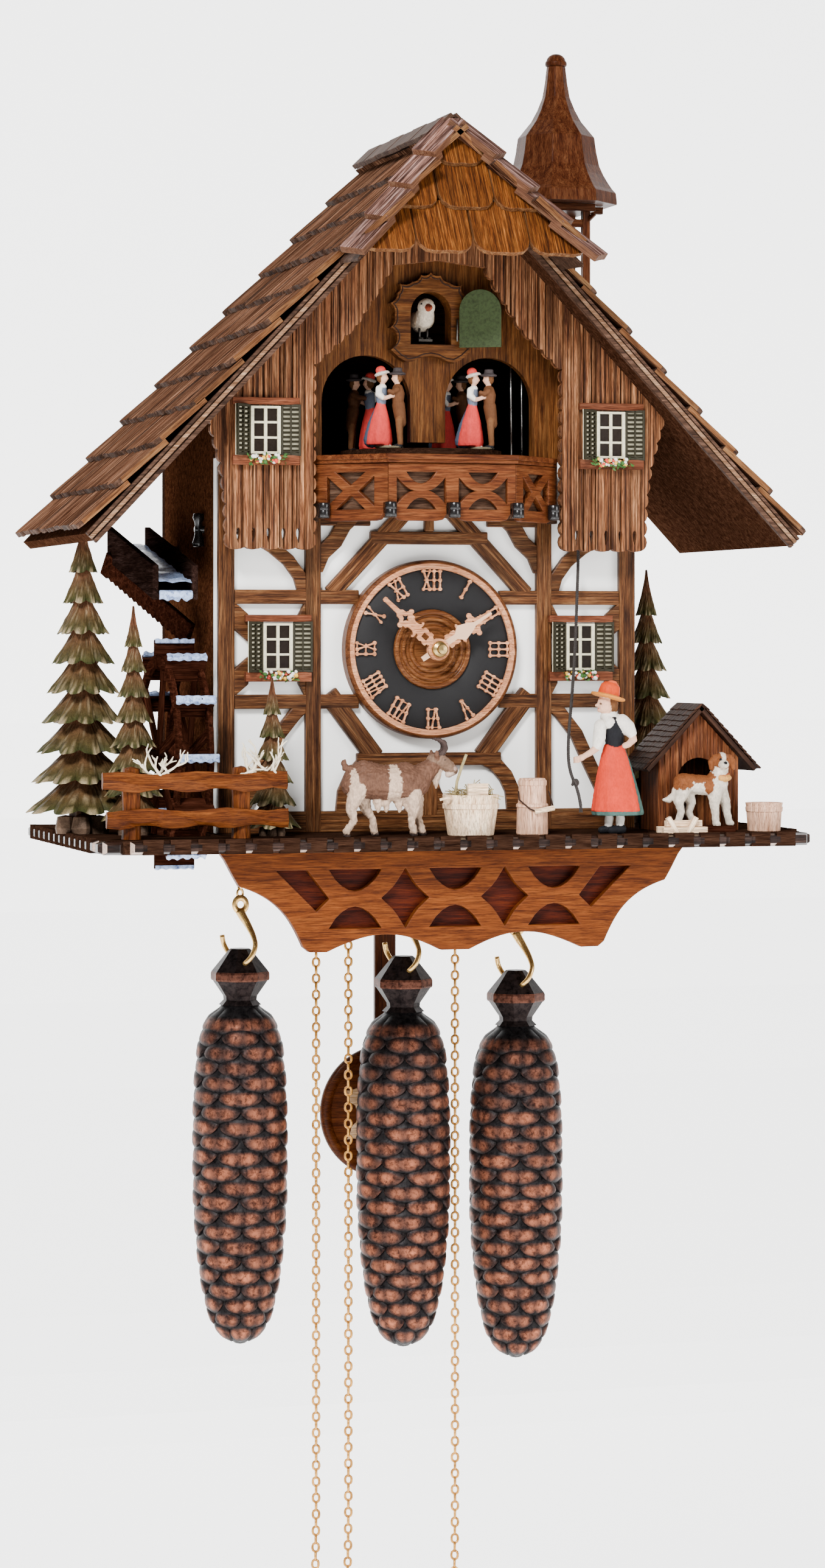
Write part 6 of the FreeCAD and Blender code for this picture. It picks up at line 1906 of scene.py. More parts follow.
def ripple_slab(x0, x1, y0, y1, z0, z1, steps=14, amp=0.5):
    """Thin slab whose top and front are rippled like painted water."""
    verts, faces = [], []
    for i in range(steps + 1):
        x = x0 + (x1 - x0) * i / steps
        k = amp * math.sin(i * 1.9) + rnd.uniform(-amp, amp) * 0.5
        verts += [(x, y0 - k, z0), (x, y0 - k * 0.7, z1 + k), (x, y1, z1 + k * 0.6), (x, y1, z0)]
    for i in range(steps):
        a, b = i * 4, i * 4 + 4
        faces += [(a + k, b + k, b + (k + 1) % 4, a + (k + 1) % 4) for k in range(4)]
    faces += [(0, 1, 2, 3), (steps * 4 + 3, steps * 4 + 2, steps * 4 + 1, steps * 4)]
    return verts, faces


def water_wheel(mat, mat_water):
    build = Build()
    c = WHEEL
    for x in (c.x - 9.0, c.x + 6.5):
        for k in range(12):
            arc_pts = []
            for r, order in ((49, 1), (43, -1)):
                arc_pts += [(r * math.cos(math.radians(a)), r * math.sin(math.radians(a)))
                            for a in ((30 * k + 0.25, 30 * k + 15, 30 * k + 29.75)[::order])]
            verts = [(x + dx, c.y + py, c.z + pz) for dx in (0, 2.5) for py, pz in arc_pts]
            faces = [(0, 1, 2, 3, 4, 5)[::-1], (6, 7, 8, 9, 10, 11)]
            faces += [(i, (i + 1) % 6, 6 + (i + 1) % 6, 6 + i) for i in range(6)]
            build.add((verts, faces), 0, grain="y")
        for k in range(6):
            build.add(block(x + 0.15, x + 2.35, c.y - 2.4, c.y + 2.4, c.z + 5, c.z + 44.5), 0,
                      place=about_wheel(60 * k + 15), grain="z")
    for k in range(12):
        build.add(block(c.x - 10, c.x + 10, c.y - 1.0, c.y + 1.2, c.z + 42, c.z + 56.0), 0,
                  place=about_wheel(30 * k),
                  grain="x")
        build.add(block(c.x - 6.4, c.x + 6.4, c.y - 3.4, c.y - 1.0, c.z + 43, c.z + 45.4), 0,
                  place=about_wheel(30 * k))
        build.add(ripple_slab(c.x - 9.7, c.x + 9.7, c.y - 2.6, c.y + 1.4, c.z + 54.2, c.z + 56.4), 1,
                  place=about_wheel(30 * k))
    hub = lathe([(0.01, -9), (4.5, -9), (6.2, -7.5), (6.2, 7.5), (4.5, 9), (0.01, 9)], 24)
    turn = Matrix.Translation(c) @ Matrix.Rotation(math.radians(90), 4, "Y")
    build.add(hub, 0, place=turn, smooth=True)
    build.add(tube([(c.x - 14, c.y, c.z), (-95, c.y, c.z)], 2.5, 16), 0, smooth=True)
    build.finish("water_wheel_paddles", [mat, mat_water], "water_wheel", replaces="water_wheel",
                 slot="wheel_wood",
                 bevel=0.4, segments=2)


def slanted_board(x0, x1, outline):
    """Board standing across X with a (y, z) outline."""
    n = len(outline)
    verts = [(x0, y, z) for y, z in outline] + [(x1, y, z) for y, z in outline]
    return verts, prism_faces(n)


def water_chute(mat, mat_dark, mat_water):
    """Board trough carrying painted water to the wheel, on a stepped bracket."""
    build = Build()
    outline = [(-15, -105), (-15, -87.6), (-124, -109.2), (-124, -126)]
    build.add(slanted_board(-139.0, -136.0, outline), 1, grain="y")
    build.add(slanted_board(-119.5, -116.5, outline), 1, grain="y")
    build.add(slanted_board(-136.0, -119.5, [(-15, -105), (-15, -102.5), (-124, -123.5), (-124, -126)]), 0,
              grain="y")
    wave = []
    for i in range(27):
        y = -15.5 - 4.2 * i
        wave.append((y, -96.6 - (-15.5 - y) * 0.193 + 0.9 * math.sin(i * 1.3) + 0.4 * math.sin(i * 3.1)))
    verts, faces = [], []
    for y, z in wave:
        for j in range(6):
            x = -135.9 + 16.3 * j / 5
            verts.append((x, y, z + 0.5 * math.sin(j * 2.1 + y * 0.3)))
    for i in range(26):
        for j in range(5):
            a = i * 6 + j
            faces.append((a, a + 6, a + 7, a + 1))
    build.add((verts, faces), 2, smooth=True)
    fall = [(-124.4, -121.3), (-125.6, -121.6), (-126.2, -122.6), (-126.4, -124.6), (-125.6, -126.2),
            (-124.4, -126.2)]
    verts, faces = [], []
    steps = 12
    for i in range(steps + 1):
        x = -135.9 + 16.3 * i / steps
        drop = 0.9 * math.sin(i * 1.7) + rnd.uniform(-0.5, 0.5)
        for k, (y, z) in enumerate(fall):
            verts.append((x, y - (0.5 * math.sin(i * 2.3) if 0 < k < 5 else 0),
                          z + (drop if k in (4, 5) else 0)))
    m = len(fall)
    for i in range(steps):
        for k in range(m):
            faces.append((i * m + k, (i + 1) * m + k, (i + 1) * m + (k + 1) % m, i * m + (k + 1) % m))
    faces += [list(range(m)), [steps * m + k for k in range(m)][::-1]]
    build.add((verts, faces), 2, smooth=True)
    build.add(block(-116.5, -107, -40, -34, -112, -98), 0)
    build.add(block(-136, -119.6, -70, -66, -117.4, -113.6), 0)
    # stepped strut from behind the trough down to the wall above the wheel
    a, b = Vector((-141.0, -20, -106)), Vector((-111.4, -84, -143))
    along = (b - a).normalized()
    up = (Vector((0, 0, 1)) - along * along.z).normalized()
    length = (b - a).length
    teeth = [(0, 6), (length, 6), (length, -6)]
    t = length - 3
    while t > 4:
        teeth += [(t, -4.6), (t - 0.4, -6.2)]
        t -= 4.4
    teeth.append((0, -6))
    n = len(teeth)
    side = along.cross(up)
    verts = [tuple(a + along * s + up * h + side * w) for w in (-1.5, 1.5) for s, h in teeth]
    build.add((verts, prism_faces(n)), 0)
    build.finish("water_chute_boards", [mat, mat_dark, mat_water], "case", replaces="water_chute",
                 slot="wheel_wood",
                 bevel=0.35)


# ---- trees, fence and yard ----
def fir(build, x, y, height, spread, tiers):
    """Carved fir: flared tiers with pointed drooping tips, each cut with fine needles."""
    foot = 0.085 * height
    # tip is a pale tan used only as a painted highlight.
    brown, green, tip = (0.14, 0.055, 0.028), (0.040, 0.044, 0.014), (0.50, 0.38, 0.22)
    for i in range(tiers):
        share = 1 - i / tiers
        z_low = foot + (height - foot) * (i / tiers) * 0.99
        tall = (height - foot) / tiers * (1.75 if i < tiers - 1 else 1.6)
        r_out = spread * (0.13 + 0.87 * share ** 0.92)
        lobes = 10 if r_out > 14 else 8
        lobes = lobes if r_out > 7 else 6
        turn = rnd.uniform(0, 6.28)
        sides, rows = lobes * 8, 9
        verts, cols = [], []
        for k in range(rows + 1):
            t = k / rows
            flare = (1 - t) ** 1.7
            r_mid = r_out * (0.26 * (1 - t) + 0.74 * flare) + 0.3
            for s in range(sides):
                a = 2 * math.pi * s / sides
                lobe = abs(math.cos((a + turn) * lobes / 2)) ** 0.8
                point = flare ** 1.3
                rr = r_mid * (1 - 0.30 * (1 - lobe) * point) * (1 + 0.025 * (s % 2) * (1 - t))
                rr += 0.25 * math.sin(s * 2.7 + k * 2.2)
                drop = -2.4 * lobe * flare ** 2.5 * min(1, r_out / 12)
                ridge = 0.35 * math.sin(k * 3.14) + rnd.uniform(-0.22, 0.22)
                verts.append((rr * math.cos(a), rr * math.sin(a), z_low + tall * t + drop + ridge))
                cols.append((t, lobe))
        base = len(verts)
        for s in range(sides):
            vx, vy, vz = verts[s]
            verts.append((vx * 0.45, vy * 0.45, vz + tall * 0.16))
            cols.append((1.0, 0))
        faces = []
        for k in range(rows):
            for s in range(sides):
                n = (s + 1) % sides
                faces.append((k * sides + s, k * sides + n, (k + 1) * sides + n, (k + 1) * sides + s))
        for s in range(sides):
            n = (s + 1) % sides
            faces.append((base + s, base + n, n, s))
        faces.append([base + s for s in range(sides)][::-1])
        faces.append([rows * sides + s for s in range(sides)])
        start = len(build.tints)
        build.add((verts, faces), 0, place=move(x, y, BASE_TOP), smooth=False, grain="z")
        colors = []
        for t, lobe in cols:
            k = min(1.0, t * 1.7)
            mixed = [green[c] * (1 - k) + brown[c] * k for c in range(3)]
            # Pale tan on some drooping lobe points, and in scattered flecks: painted highlights.
            if t < 0.06 and lobe > 0.72 and rnd.random() < 0.5:
                mixed = [mixed[c] * 0.3 + tip[c] * 0.7 for c in range(3)]
            elif rnd.random() < 0.10:
                mixed = [mixed[c] * 0.6 + tip[c] * 0.25 for c in range(3)]
            colors.append((*mixed, 1.0))
        build.tints[start:] = colors
    trunk = lathe([(0.01, 0), (spread * 0.30, 0), (spread * 0.26, foot * 0.4), (spread * 0.2, foot + 6),
                   (0.01, foot + 7)], 20,
                  lambda a, h: 1 + 0.10 * math.sin(5 * a) + 0.05 * math.sin(13 * a))
    build.add(trunk, 0, place=move(x, y, BASE_TOP), tint=(0.10, 0.055, 0.035))
    for k in range(3):
        a = math.radians(200 + 55 * k)
        knob = lathe([(0.01, 0), (spread * 0.17, 0), (spread * 0.19, spread * 0.10),
                      (spread * 0.15, spread * 0.3), (0.01, spread * 0.33)],
                     14, lambda t, h: 1 + 0.08 * math.sin(4 * t))
        build.add(knob, 0, place=move(x + spread * 0.36 * math.cos(a), y + spread * 0.36 * math.sin(a),
                                      BASE_TOP),
                  tint=(0.12, 0.075, 0.05))


def fir_trees(mat):
    build = Build()
    fir(build, -168, -98, 144, 27.5, 9)
    fir(build, -148.5, -124, 104, 15.5, 8)
    fir(build, -86, -150, 70, 13.5, 6)
    fir(build, 136, -60, 123, 21, 8)
    build.finish("fir_trees_carved", [mat], "case", replaces="fir_trees", slot="fir_wood")


def rail(build, x0, x1, y_front, z, tall, thick, mat=0):
    """Split rail with a wavering edge along its front."""
    steps = 26
    verts, faces = [], []
    phase = rnd.uniform(0, 6)
    for i in range(steps + 1):
        x = x0 + (x1 - x0) * i / steps
        up = tall / 2 + 0.7 * math.sin(i * 0.55 + phase) + rnd.uniform(-0.2, 0.2)
        down = -tall / 2 + 0.9 * math.sin(i * 0.8 + phase * 2) + rnd.uniform(-0.2, 0.2)
        ridge = 1.5 * math.sin(i * 0.62 + phase * 1.7) - 0.4
        verts += [(x, y_front + thick, z + up - 0.8), (x, y_front + 0.9, z + up),
                  (x, y_front - 0.5, z + ridge),
                  (x, y_front + 1.0, z + down), (x, y_front + thick, z + down + 0.8)]
    for i in range(steps):
        a, b = i * 5, i * 5 + 5
        faces += [(a + k, b + k, b + (k + 1) % 5, a + (k + 1) % 5) for k in range(5)]
    faces += [(4, 3, 2, 1, 0), tuple(steps * 5 + k for k in range(5))]
    build.add((verts, faces), mat, tone=rnd.uniform(0.4, 0.9))


def twig(build, start, direction, length, radius, depth, mat):
    """Forked dry twig."""
    points, p, d = [Vector(start)], Vector(start), Vector(direction).normalized()
    for _ in range(4):
        d = (d + Vector((rnd.uniform(-0.4, 0.4), rnd.uniform(-0.25, 0.25),
                         rnd.uniform(-0.2, 0.45)))).normalized()
        p = p + d * length / 4
        points.append(p.copy())
    shape = limb(points, [radius, radius * 0.95, radius * 0.85, radius * 0.75, radius * 0.6], 7)
    build.add(shape, mat, smooth=True)
    if depth:
        for _ in range(2 if depth < 3 else 3):
            base = points[rnd.choice((2, 3, 4))]
            fork = (d + Vector((rnd.uniform(-1.2, 1.2), rnd.uniform(-0.5, 0.3),
                                rnd.uniform(-0.35, 0.9)))).normalized()
            twig(build, base, fork, length * 0.66, radius * 0.72, depth - 1, mat)


def fence(mat, mat_twig):
    build = Build()
    rail(build, -175, -86, -180.4, -212.2, 8.6, 3.2)
    rail(build, -173, -85.5, -180.4, -229.4, 8.4, 3.2)
    for x in (-160, -107):
        shape = lathe([(0.01, 0), (4.6, 0), (4.3, 12), (4.5, 24), (4.0, 33.5), (0.01, 34.5)], 9,
                      lambda a, h: 1 + 0.07 * math.sin(3 * a + h * 0.2))
        build.add(shape, 0, place=move(x, -173.6, BASE_TOP), grain="z", tone=0.9)
    build.finish("fence_rails", [mat], "case", replaces="fence", slot="fence_wood", bevel=0.25)
    moss = Build()
    for x, y in ((-150, -176), (-147, -179), (-99, -176.5), (-94, -178), (-103, -176.5)):
        for side in (-1, 1):
            twig(moss, (x, y, -209.5), (side * rnd.uniform(0.6, 1.4), rnd.uniform(-0.3, 0.1), 0.55), 9.0,
                 0.75, 2, 0)
    for x in (-143, -108, -90):
        twig(moss, (x, -178, -209), (rnd.choice((-1, 1)), -0.5, 0.3), 7.0, 0.7, 2, 0)
    for v in moss.verts:
        v.y = max(v.y, -184.0)
        v.z = max(v.z, BASE_TOP + 2)
    moss.finish("dry_twigs", [mat_twig], "case", slot="rope")


def staved(build, x, y, rings, mat, sides=48, staves=14, hollow=0.0):
    """Turned vessel marked with stave joints; hollow is the depth of its open mouth."""
    wobble = lambda a, h: 1 - 0.018 * (1 if abs(math.sin(a * staves / 2)) < 0.12 else 0)
    profile = [(0.01, 0)] + rings
    r_top, z_top = rings[-1]
    if hollow:
        profile += [(r_top - 1.3, z_top), (r_top - 1.6, z_top - hollow), (0.01, z_top - hollow)]
    else:
        profile += [(0.01, z_top)]
    build.add(lathe(profile, sides, wobble), mat, place=move(x, y, BASE_TOP), grain="z", tone=0.6)


def tubs(mat_pale, mat_hay, mat_pink, mat_dark):
    build = Build()
    x, y = 7.1, -172.0
    staved(build, x, y, [(11.0, 0), (11.2, 0.6), (13.0, 12.8), (13.6, 13.0), (13.8, 15.2), (13.2, 15.5),
                         (13.7, 19.6)], 0,
           staves=16, hollow=1.6)
    for _ in range(90):
        a, r = rnd.uniform(0, 6.28), 11.0 * math.sqrt(rnd.random())
        p = Vector((x + r * math.cos(a), y + r * math.sin(a),
                    BASE_TOP + 18.5 + rnd.uniform(0, 3.5) * (1 - r / 13)))
        d = Vector((rnd.uniform(-1, 1), rnd.uniform(-1, 0.6), rnd.uniform(-0.1, 0.9))).normalized()
        bend = Vector((rnd.uniform(-1, 1), rnd.uniform(-1, 1), -0.6)) * 1.6
        long_way = rnd.uniform(4, 9)
        build.add(tube([p, p + d * long_way * 0.5, p + d * long_way + bend], 0.26, 5), 1)
    build.add(block(2.6, 12.6, -183.2, -181.0, BASE_TOP + 16, BASE_TOP + 25.2), 0, tone=0.7)
    build.add(tube([(-2, -176, BASE_TOP + 18), (-1.0, -176, BASE_TOP + 26), (1.5, -175.5, BASE_TOP + 33),
                    (4.0, -175, BASE_TOP + 39)], 0.75, 8), 1, smooth=True)
    build.add(tube([(-10.8, -180, BASE_TOP + 17.5), (-7.0, -181, BASE_TOP + 18.6),
                    (-4.5, -180, BASE_TOP + 18)], 0.7, 8), 0,
              smooth=True)
    x = 38.2
    staved(build, x, y, [(7.5, 0), (7.7, 0.5), (7.4, 13.0), (7.9, 13.4), (7.8, 14.6), (6.9, 15.2),
                         (6.6, 23.5), (7.0, 24.0),
                         (7.0, 26.0), (6.4, 26.6), (6.2, 27.2)], 2, staves=12)
    handle = [(x - 7.6, y - 2, BASE_TOP + 21), (x - 7.9, y - 4, BASE_TOP + 17),
              (x - 3.6, y - 7.6, BASE_TOP + 12.6),
              (x - 1.0, y - 8.6, BASE_TOP + 11.5)]
    build.add(tube(handle, 0.42, 8), 3, smooth=True)
    build.add(tube([(x + 7.6, y - 2, BASE_TOP + 21), (x + 8.6, y - 4, BASE_TOP + 16),
                    (x + 8.4, y - 7, BASE_TOP + 13)], 0.42,
                   8), 3, smooth=True)
    build.add(tube([(x - 1.4, y - 8.8, BASE_TOP + 11.3), (x + 8.6, y - 7.8, BASE_TOP + 13.0)], 1.25, 10), 0,
              smooth=True)
    staved(build, 159.5, -168.0, [(8.0, 0), (8.1, 0.4), (8.7, 9.4), (9.1, 9.7), (9.3, 11.8), (8.9, 12.1),
                                  (9.3, 14.0)], 2,
           staves=12, hollow=8.0)
    for (x0, x1, yy, z, turn) in ((101, 124, -183.2, 1.6, 2), (100, 121, -179.0, 1.8, -3),
                                  (103, 122, -181.2, 4.8, 5)):
        build.add(block(x0, x1, yy - 1.5, yy + 1.5, BASE_TOP + z - 1.5, BASE_TOP + z + 1.5), 0,
                  place=Matrix.Translation((112, yy, 0)) @ Matrix.Rotation(math.radians(turn), 4, "Z")
                  @ Matrix.Translation((-112, -yy, 0)), tone=0.8)
    for xx, turn in ((106, 60), (116, 118)):
        place = (Matrix.Translation((xx, -183.5, BASE_TOP + 4))
                 @ Matrix.Rotation(math.radians(turn), 4, "Y"))
        build.add(block(-4.4, 4.4, -1.4, 1.4, -1.2, 1.2), 0, place=place, tone=0.8)
    build.finish("tubs_and_logs", [mat_pale, mat_hay, mat_pink, mat_dark], "case", replaces="tubs",
                 slot="tub_wood",
                 bevel=0.25)


def kennel(mat_wall, mat_roof, mat_dark):
    """Dog house with grooved boards, an arched doorway and rows of thin shingles."""
    x0, x1, y0, y1 = 108.0, 150.0, -158.0, -128.5
    mid, wall_top, peak = 129.0, BASE_TOP + 36, BASE_TOP + 58
    build = Build()
    front = [(x0, BASE_TOP), (mid - 11, BASE_TOP), (mid - 11, BASE_TOP + 25)]
    front += arc(mid, BASE_TOP + 25, 11, 180, 0, 20)[1:] + [(mid + 11, BASE_TOP), (x1, BASE_TOP),
                                                            (x1, wall_top), (mid, peak),
                                                          (x0, wall_top)]
    strips = [x0 + 3.0 * i for i in range(15)]
    lines = [((s, BASE_TOP - 2), (s, peak + 2)) for base_x in strips for s in (base_x, base_x + 0.55)]
    depth = lambda px, pz: 0.7 if (px - x0) % 3.0 < 0.55 else 0.0
    build.add(plate(front, y0, 3.0, [], lines, depth), 0, grain="z", tone=0.7)
    for side in (x0, x1 - 3):
        build.add(block(side, side + 3, y0 + 3, y1, BASE_TOP, wall_top - 0.5), 0, grain="z")
    build.add(plate([(x0, BASE_TOP), (x1, BASE_TOP), (x1, wall_top), (mid, peak), (x0, wall_top)], y1 - 3,
                    3.0), 0, grain="z")
    build.add(block(x0 + 3, x1 - 3, y0 + 3, y1 - 3, BASE_TOP, BASE_TOP + 0.8), 2)
    slope = math.atan2(peak + 7 - (wall_top - 3), 30)
    length = math.hypot(30, peak + 7 - (wall_top - 3))
    for side in (-1, 1):
        down = Vector((side * math.cos(slope), 0, -math.sin(slope)))
        out = Vector((side * math.sin(slope), 0, math.cos(slope)))
        across = Vector((0, side, 0))
        start = Vector((mid, (y0 - 5 + y1 + 1) / 2, peak + 4.4))
        place = axes_matrix(down, across, out, start)
        half = (y1 + 1 - (y0 - 5)) / 2
        build.add(block(0, length - 1, -half + 0.6, half - 0.6, -2.6, -0.4), 1, place=place, tone=0.3)
        rows = 12
        for r in range(rows):
            s = (length - 1) * r / rows
            w = -half
            while w < half - 1:
                ww = min(rnd.uniform(3.2, 5.6), half - w)
                tilt = place @ Matrix.Translation((s, 0, -0.2)) @ Matrix.Rotation(math.radians(-7), 4, "Y")
                build.add(block(0, length / rows * 1.35 + rnd.uniform(-0.4, 0.4), w + 0.1, w + ww - 0.1, 0,
                                0.9), 1,
                          place=tilt)
                w += ww
    build.finish("kennel_boards", [mat_wall, mat_roof, mat_dark], "case", replaces="kennel",
                 slot="kennel_wood",
                 bevel=0.15)


# ---- pendulum, lever and what shows inside ----
def pendulum(mat_wood, mat_leaf, mat_wire):
    """Flat wooden rod with a turned bob carrying a carved leaf; thin wire leader above."""
    build = Build()
    y = -43.0
    build.add(block(-5.5, 5.5, y - 1.5, y + 1.5, -372, -218), 0, grain="z", tone=0.4)
    bob = [(0.01, -3.5), (30, -3.5), (33.0, -2.6), (34, -1.4), (34, 0.6), (33.4, 1.5), (32.2, 2.0),
           (30.4, 2.1), (29.2, 1.5),
           (28.4, 0.7), (24, 0.9), (0.01, 1.1)]
    build.add(lathe(bob, 72), 0, place=facing_front(0, y, BOB_Z), smooth=True, tone=0.6)
    for k in range(5):
        a = math.radians(90 + 62 * (k - 2))
        count = 14
        right, left = [], []
        for i in range(count + 1):
            t = i / count
            w = 5.6 * math.sin(math.pi * min(1, t * 1.02)) ** 0.8 * (1 + 0.16 * math.sin(t * 26))
            right.append((w, 1.5 + 22 * t))
            left.append((-w, 1.5 + 22 * t))
        loop = turn_2d(right[1:-1] + [(0, 24.5)] + left[1:-1][::-1] + [(0, 1.0)], a - math.pi / 2, 0, BOB_Z)
        build.add(plate(loop, y - 2.1 - 0.04 * k, 1.4), 1, tone=0.5)
    build.add(tube([(0, y, SWING_TOP - 2), (0, y, -219)], 0.9, 8), 2, smooth=True)
    eye = [(1.65 * math.cos(a), y, SWING_TOP + 1.65 * math.sin(a)) for a in turns(20)]
    build.add(tube(eye, 0.5, 8, closed=True), 2, smooth=True)
    build.finish("pendulum_carved", [mat_wood, mat_leaf, mat_wire], "pendulum", replaces="pendulum",
                 slot="pendulum_wood",
                 bevel=0.4, segments=2)


def lever(mat):
    build = Build()
    knob = lathe([(0.01, -8.5), (2.6, -8.2), (3.1, -6.5), (2.2, -3.8), (1.6, 0), (1.9, 3.5), (2.8, 6.0),
                  (2.4, 8.0),
                  (0.01, 8.5)], 20)
    build.add(knob, 0, place=move(-109.6, -94.5, -91.2), smooth=True)
    build.add(tube([(-111.5, -94.5, -91), (-97, -94.5, -91)], 1.6, 12), 0, smooth=True)
    build.finish("shutoff_lever_knob", [mat], "shutoff_lever", replaces="shutoff_lever", slot="lever_black",
                 bevel=0.15)


def lift_wires(mat):
    """Two thin wires that rise past the dancers on the right."""
    build = Build()
    for x in (45.5, 52.5):
        build.add(tube([(x, -115.0 if x < 50 else -110.5, -60), (x - 0.4, -115.0 if x < 50 else -110.5, 2)],
                       0.42, 8), 0, smooth=True)
    build.finish("bellows_lift_wires", [mat], "case", slot="steel")


def coat(mat, *nodes):
    """Gives carried-over CAD nodes a finish."""
    for node in nodes:
        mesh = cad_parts[node].data
        mesh.materials.clear()
        mesh.materials.append(mat)


# ---- assembly ----
set_camera()
set_light()
set_stage()

brass = metal("chain_brass_worn", (0.60, 0.29, 0.06), 0.35, (0.22, 0.085, 0.012), metallic=0.55)
brass_bright = metal("brass_turned", (0.72, 0.46, 0.16), 0.28, (0.50, 0.29, 0.09), metallic=0.9)
iron = cast_metal("iron_coppered")
rope_black = paint("rope_black", (0.025, 0.02, 0.018), 0.6, 0.3)
twig_pale = paint("twig_pale", (0.72, 0.62, 0.46), 0.75, 0.25)
shingle_top = wood("shingle_weathered", (0.0253, 0.0115, 0.00698), (0.101, 0.0473, 0.0279),
                   (0.287, 0.163, 0.105), 0.65, grit=0.7, ridges_and_groove_shade=0.8, specular=0.0)
shingle_cut = wood("shingle_fresh", (0.0577, 0.0209, 0.00683), (0.115, 0.0465, 0.0171),
                   (0.173, 0.0885, 0.0366), 0.55)
shingle_side = wood("shingle_side", (0.018, 0.009, 0.006), (0.05, 0.025, 0.015), (0.11, 0.06, 0.04), 0.7)
hip_top = wood("hip_golden", (0.0263, 0.00716, 0.00151), (0.1, 0.0298, 0.00554), (0.19, 0.0676, 0.0139),
               0.5, scale=1.6, ridges_and_groove_shade=0.5)
cap_top = wood("cap_weathered", (0.0454, 0.025, 0.0197), (0.156, 0.0837, 0.0691), (0.364, 0.251, 0.233),
               0.55, ridges_and_groove_shade=0.8, specular=0.0)
cap_side = wood("cap_pale", (0.0686, 0.0275, 0.0147), (0.106, 0.0459, 0.0239), (0.138, 0.0714, 0.0405), 0.6)
# Paler wood for the middle proud strip of the verge moulding: a painted highlight.
verge_bead_highlight = wood("verge_painted_highlight", (0.096, 0.0468, 0.0225), (0.208, 0.109, 0.06), (0.336, 0.218, 0.135),
                   0.5)
gable_mat = wood("gable_weathered", (0.0472, 0.0161, 0.00757), (0.147, 0.0589, 0.0252),
                 (0.295, 0.142, 0.0674), 0.55, grit=0.6, ridges_and_groove_shade=0.8)
stage_mat = wood("stage_brown", (0.0406, 0.012, 0.00317), (0.105, 0.036, 0.00871), (0.169, 0.069, 0.0198),
                 0.42, coat=0.05, ridges_and_groove_shade=0.3)
edge_dark = paint("groove_dark", (0.02, 0.007, 0.003), 0.6)
beam_mat = wood("beam_brown", (0.0277, 0.0097, 0.00376), (0.0832, 0.0318, 0.0113), (0.15, 0.0706, 0.0283),
                0.4, coat=0.03, ridges_and_groove_shade=0.45)
balcony_mat = wood("balcony_red", (0.0418, 0.00941, 0.003), (0.0975, 0.0266, 0.0075),
                   (0.154, 0.0513, 0.0168), 0.42, coat=0.04)
balcony_dim = wood("balcony_backing", (0.03, 0.014, 0.008), (0.07, 0.035, 0.02), (0.12, 0.07, 0.045), 0.6)
turret_mat = wood("turret_red", (0.0233, 0.00553, 0.00216), (0.0532, 0.0158, 0.00576),
                  (0.0864, 0.0316, 0.0126), 0.32, specular=0.03)
skirt_mat = wood("apron_brown", (0.0569, 0.012, 0.00163), (0.114, 0.0276, 0.00408),
                 (0.158, 0.0433, 0.00726), 0.45, coat=0.04)
backing = wood("apron_backing", (0.0216, 0.0024, 0.00054), (0.048, 0.006, 0.00108),
               (0.0768, 0.012, 0.00216), 0.45)
base_mat = wood("base_dark", (0.0165, 0.006, 0.0035), (0.044, 0.0175, 0.01), (0.077, 0.035, 0.0225), 0.4,
                coat=0.05)
edge_gloss = wood("edging_gloss", (0.004, 0.002, 0.0015), (0.016, 0.008, 0.006), (0.05, 0.028, 0.021), 0.28,
                  coat=0.3)
# Pale paint for the edging's chamfers: a painted glint.
edge_glint_paint = paint("edging_painted_glint", (0.42, 0.30, 0.24), 0.35, 0.5, 1.2)
wall_side = wood("case_side", (0.018, 0.006, 0.0025), (0.05, 0.017, 0.007), (0.09, 0.034, 0.015), 0.6,
                 own_grain=False, turn=(0, 1.5708, 0), specular=0.0)
plaster = paint("panel_white", (0.95, 0.94, 0.91), 0.8, 0.02, 0.2)
cream = paint("window_cream", (0.60, 0.55, 0.38), 0.6)
olive = paint("shutter_olive", (0.016, 0.013, 0.005), 0.6)
window_brown = wood("window_brown", (0.06, 0.0154, 0.006), (0.114, 0.033, 0.014), (0.168, 0.0605, 0.03),
                    0.5)
pane = paint("window_pane", (0.012, 0.008, 0.006), 0.2)
leaf = paint("leaf_green", (0.035, 0.104, 0.021), 0.6)
petal_white = paint("petal_white", (0.75, 0.72, 0.66), 0.6)
petal_yellow = paint("petal_yellow", (0.72, 0.40, 0.05), 0.6)
petal_red = paint("petal_red", (0.55, 0.05, 0.03), 0.6)
gloss_black = paint("gloss_black", (0.006, 0.005, 0.005), 0.25, 0.2, coat=0.35)
dial_black = paint("dial_black", (0.006, 0.0055, 0.006), 0.6, 0.3, 2.5)
dial_tan = wood("dial_tan", (0.378, 0.147, 0.068), (0.525, 0.23, 0.115), (0.651, 0.331, 0.178), 0.45,
                vary=0.2)
dial_turned = wood("dial_turned_wood", (0.0525, 0.0148, 0.00432), (0.126, 0.042, 0.0119),
                   (0.21, 0.0864, 0.0297), 0.35, coat=0.08)
dial_rim = wood("dial_rim_wood", (0.049, 0.0136, 0.00432), (0.112, 0.037, 0.0119), (0.168, 0.0617, 0.0243),
                0.4, coat=0.05)
carved_paint = tinted("figure_paint_carved", 0.5, 0.35, 0.35)
girl_paint = tinted("girl_paint_carved", 0.5, 0.3, 0.18)
fir_paint = tinted("fir_paint", 0.5, 0.25, 0.5, streaks=(0.5, 2.4, 2.4))
wheel_mat = wood("wheel_red", (0.010, 0.0028, 0.0014), (0.028, 0.008, 0.004), (0.055, 0.018, 0.010), 0.5,
                 specular=0.0)
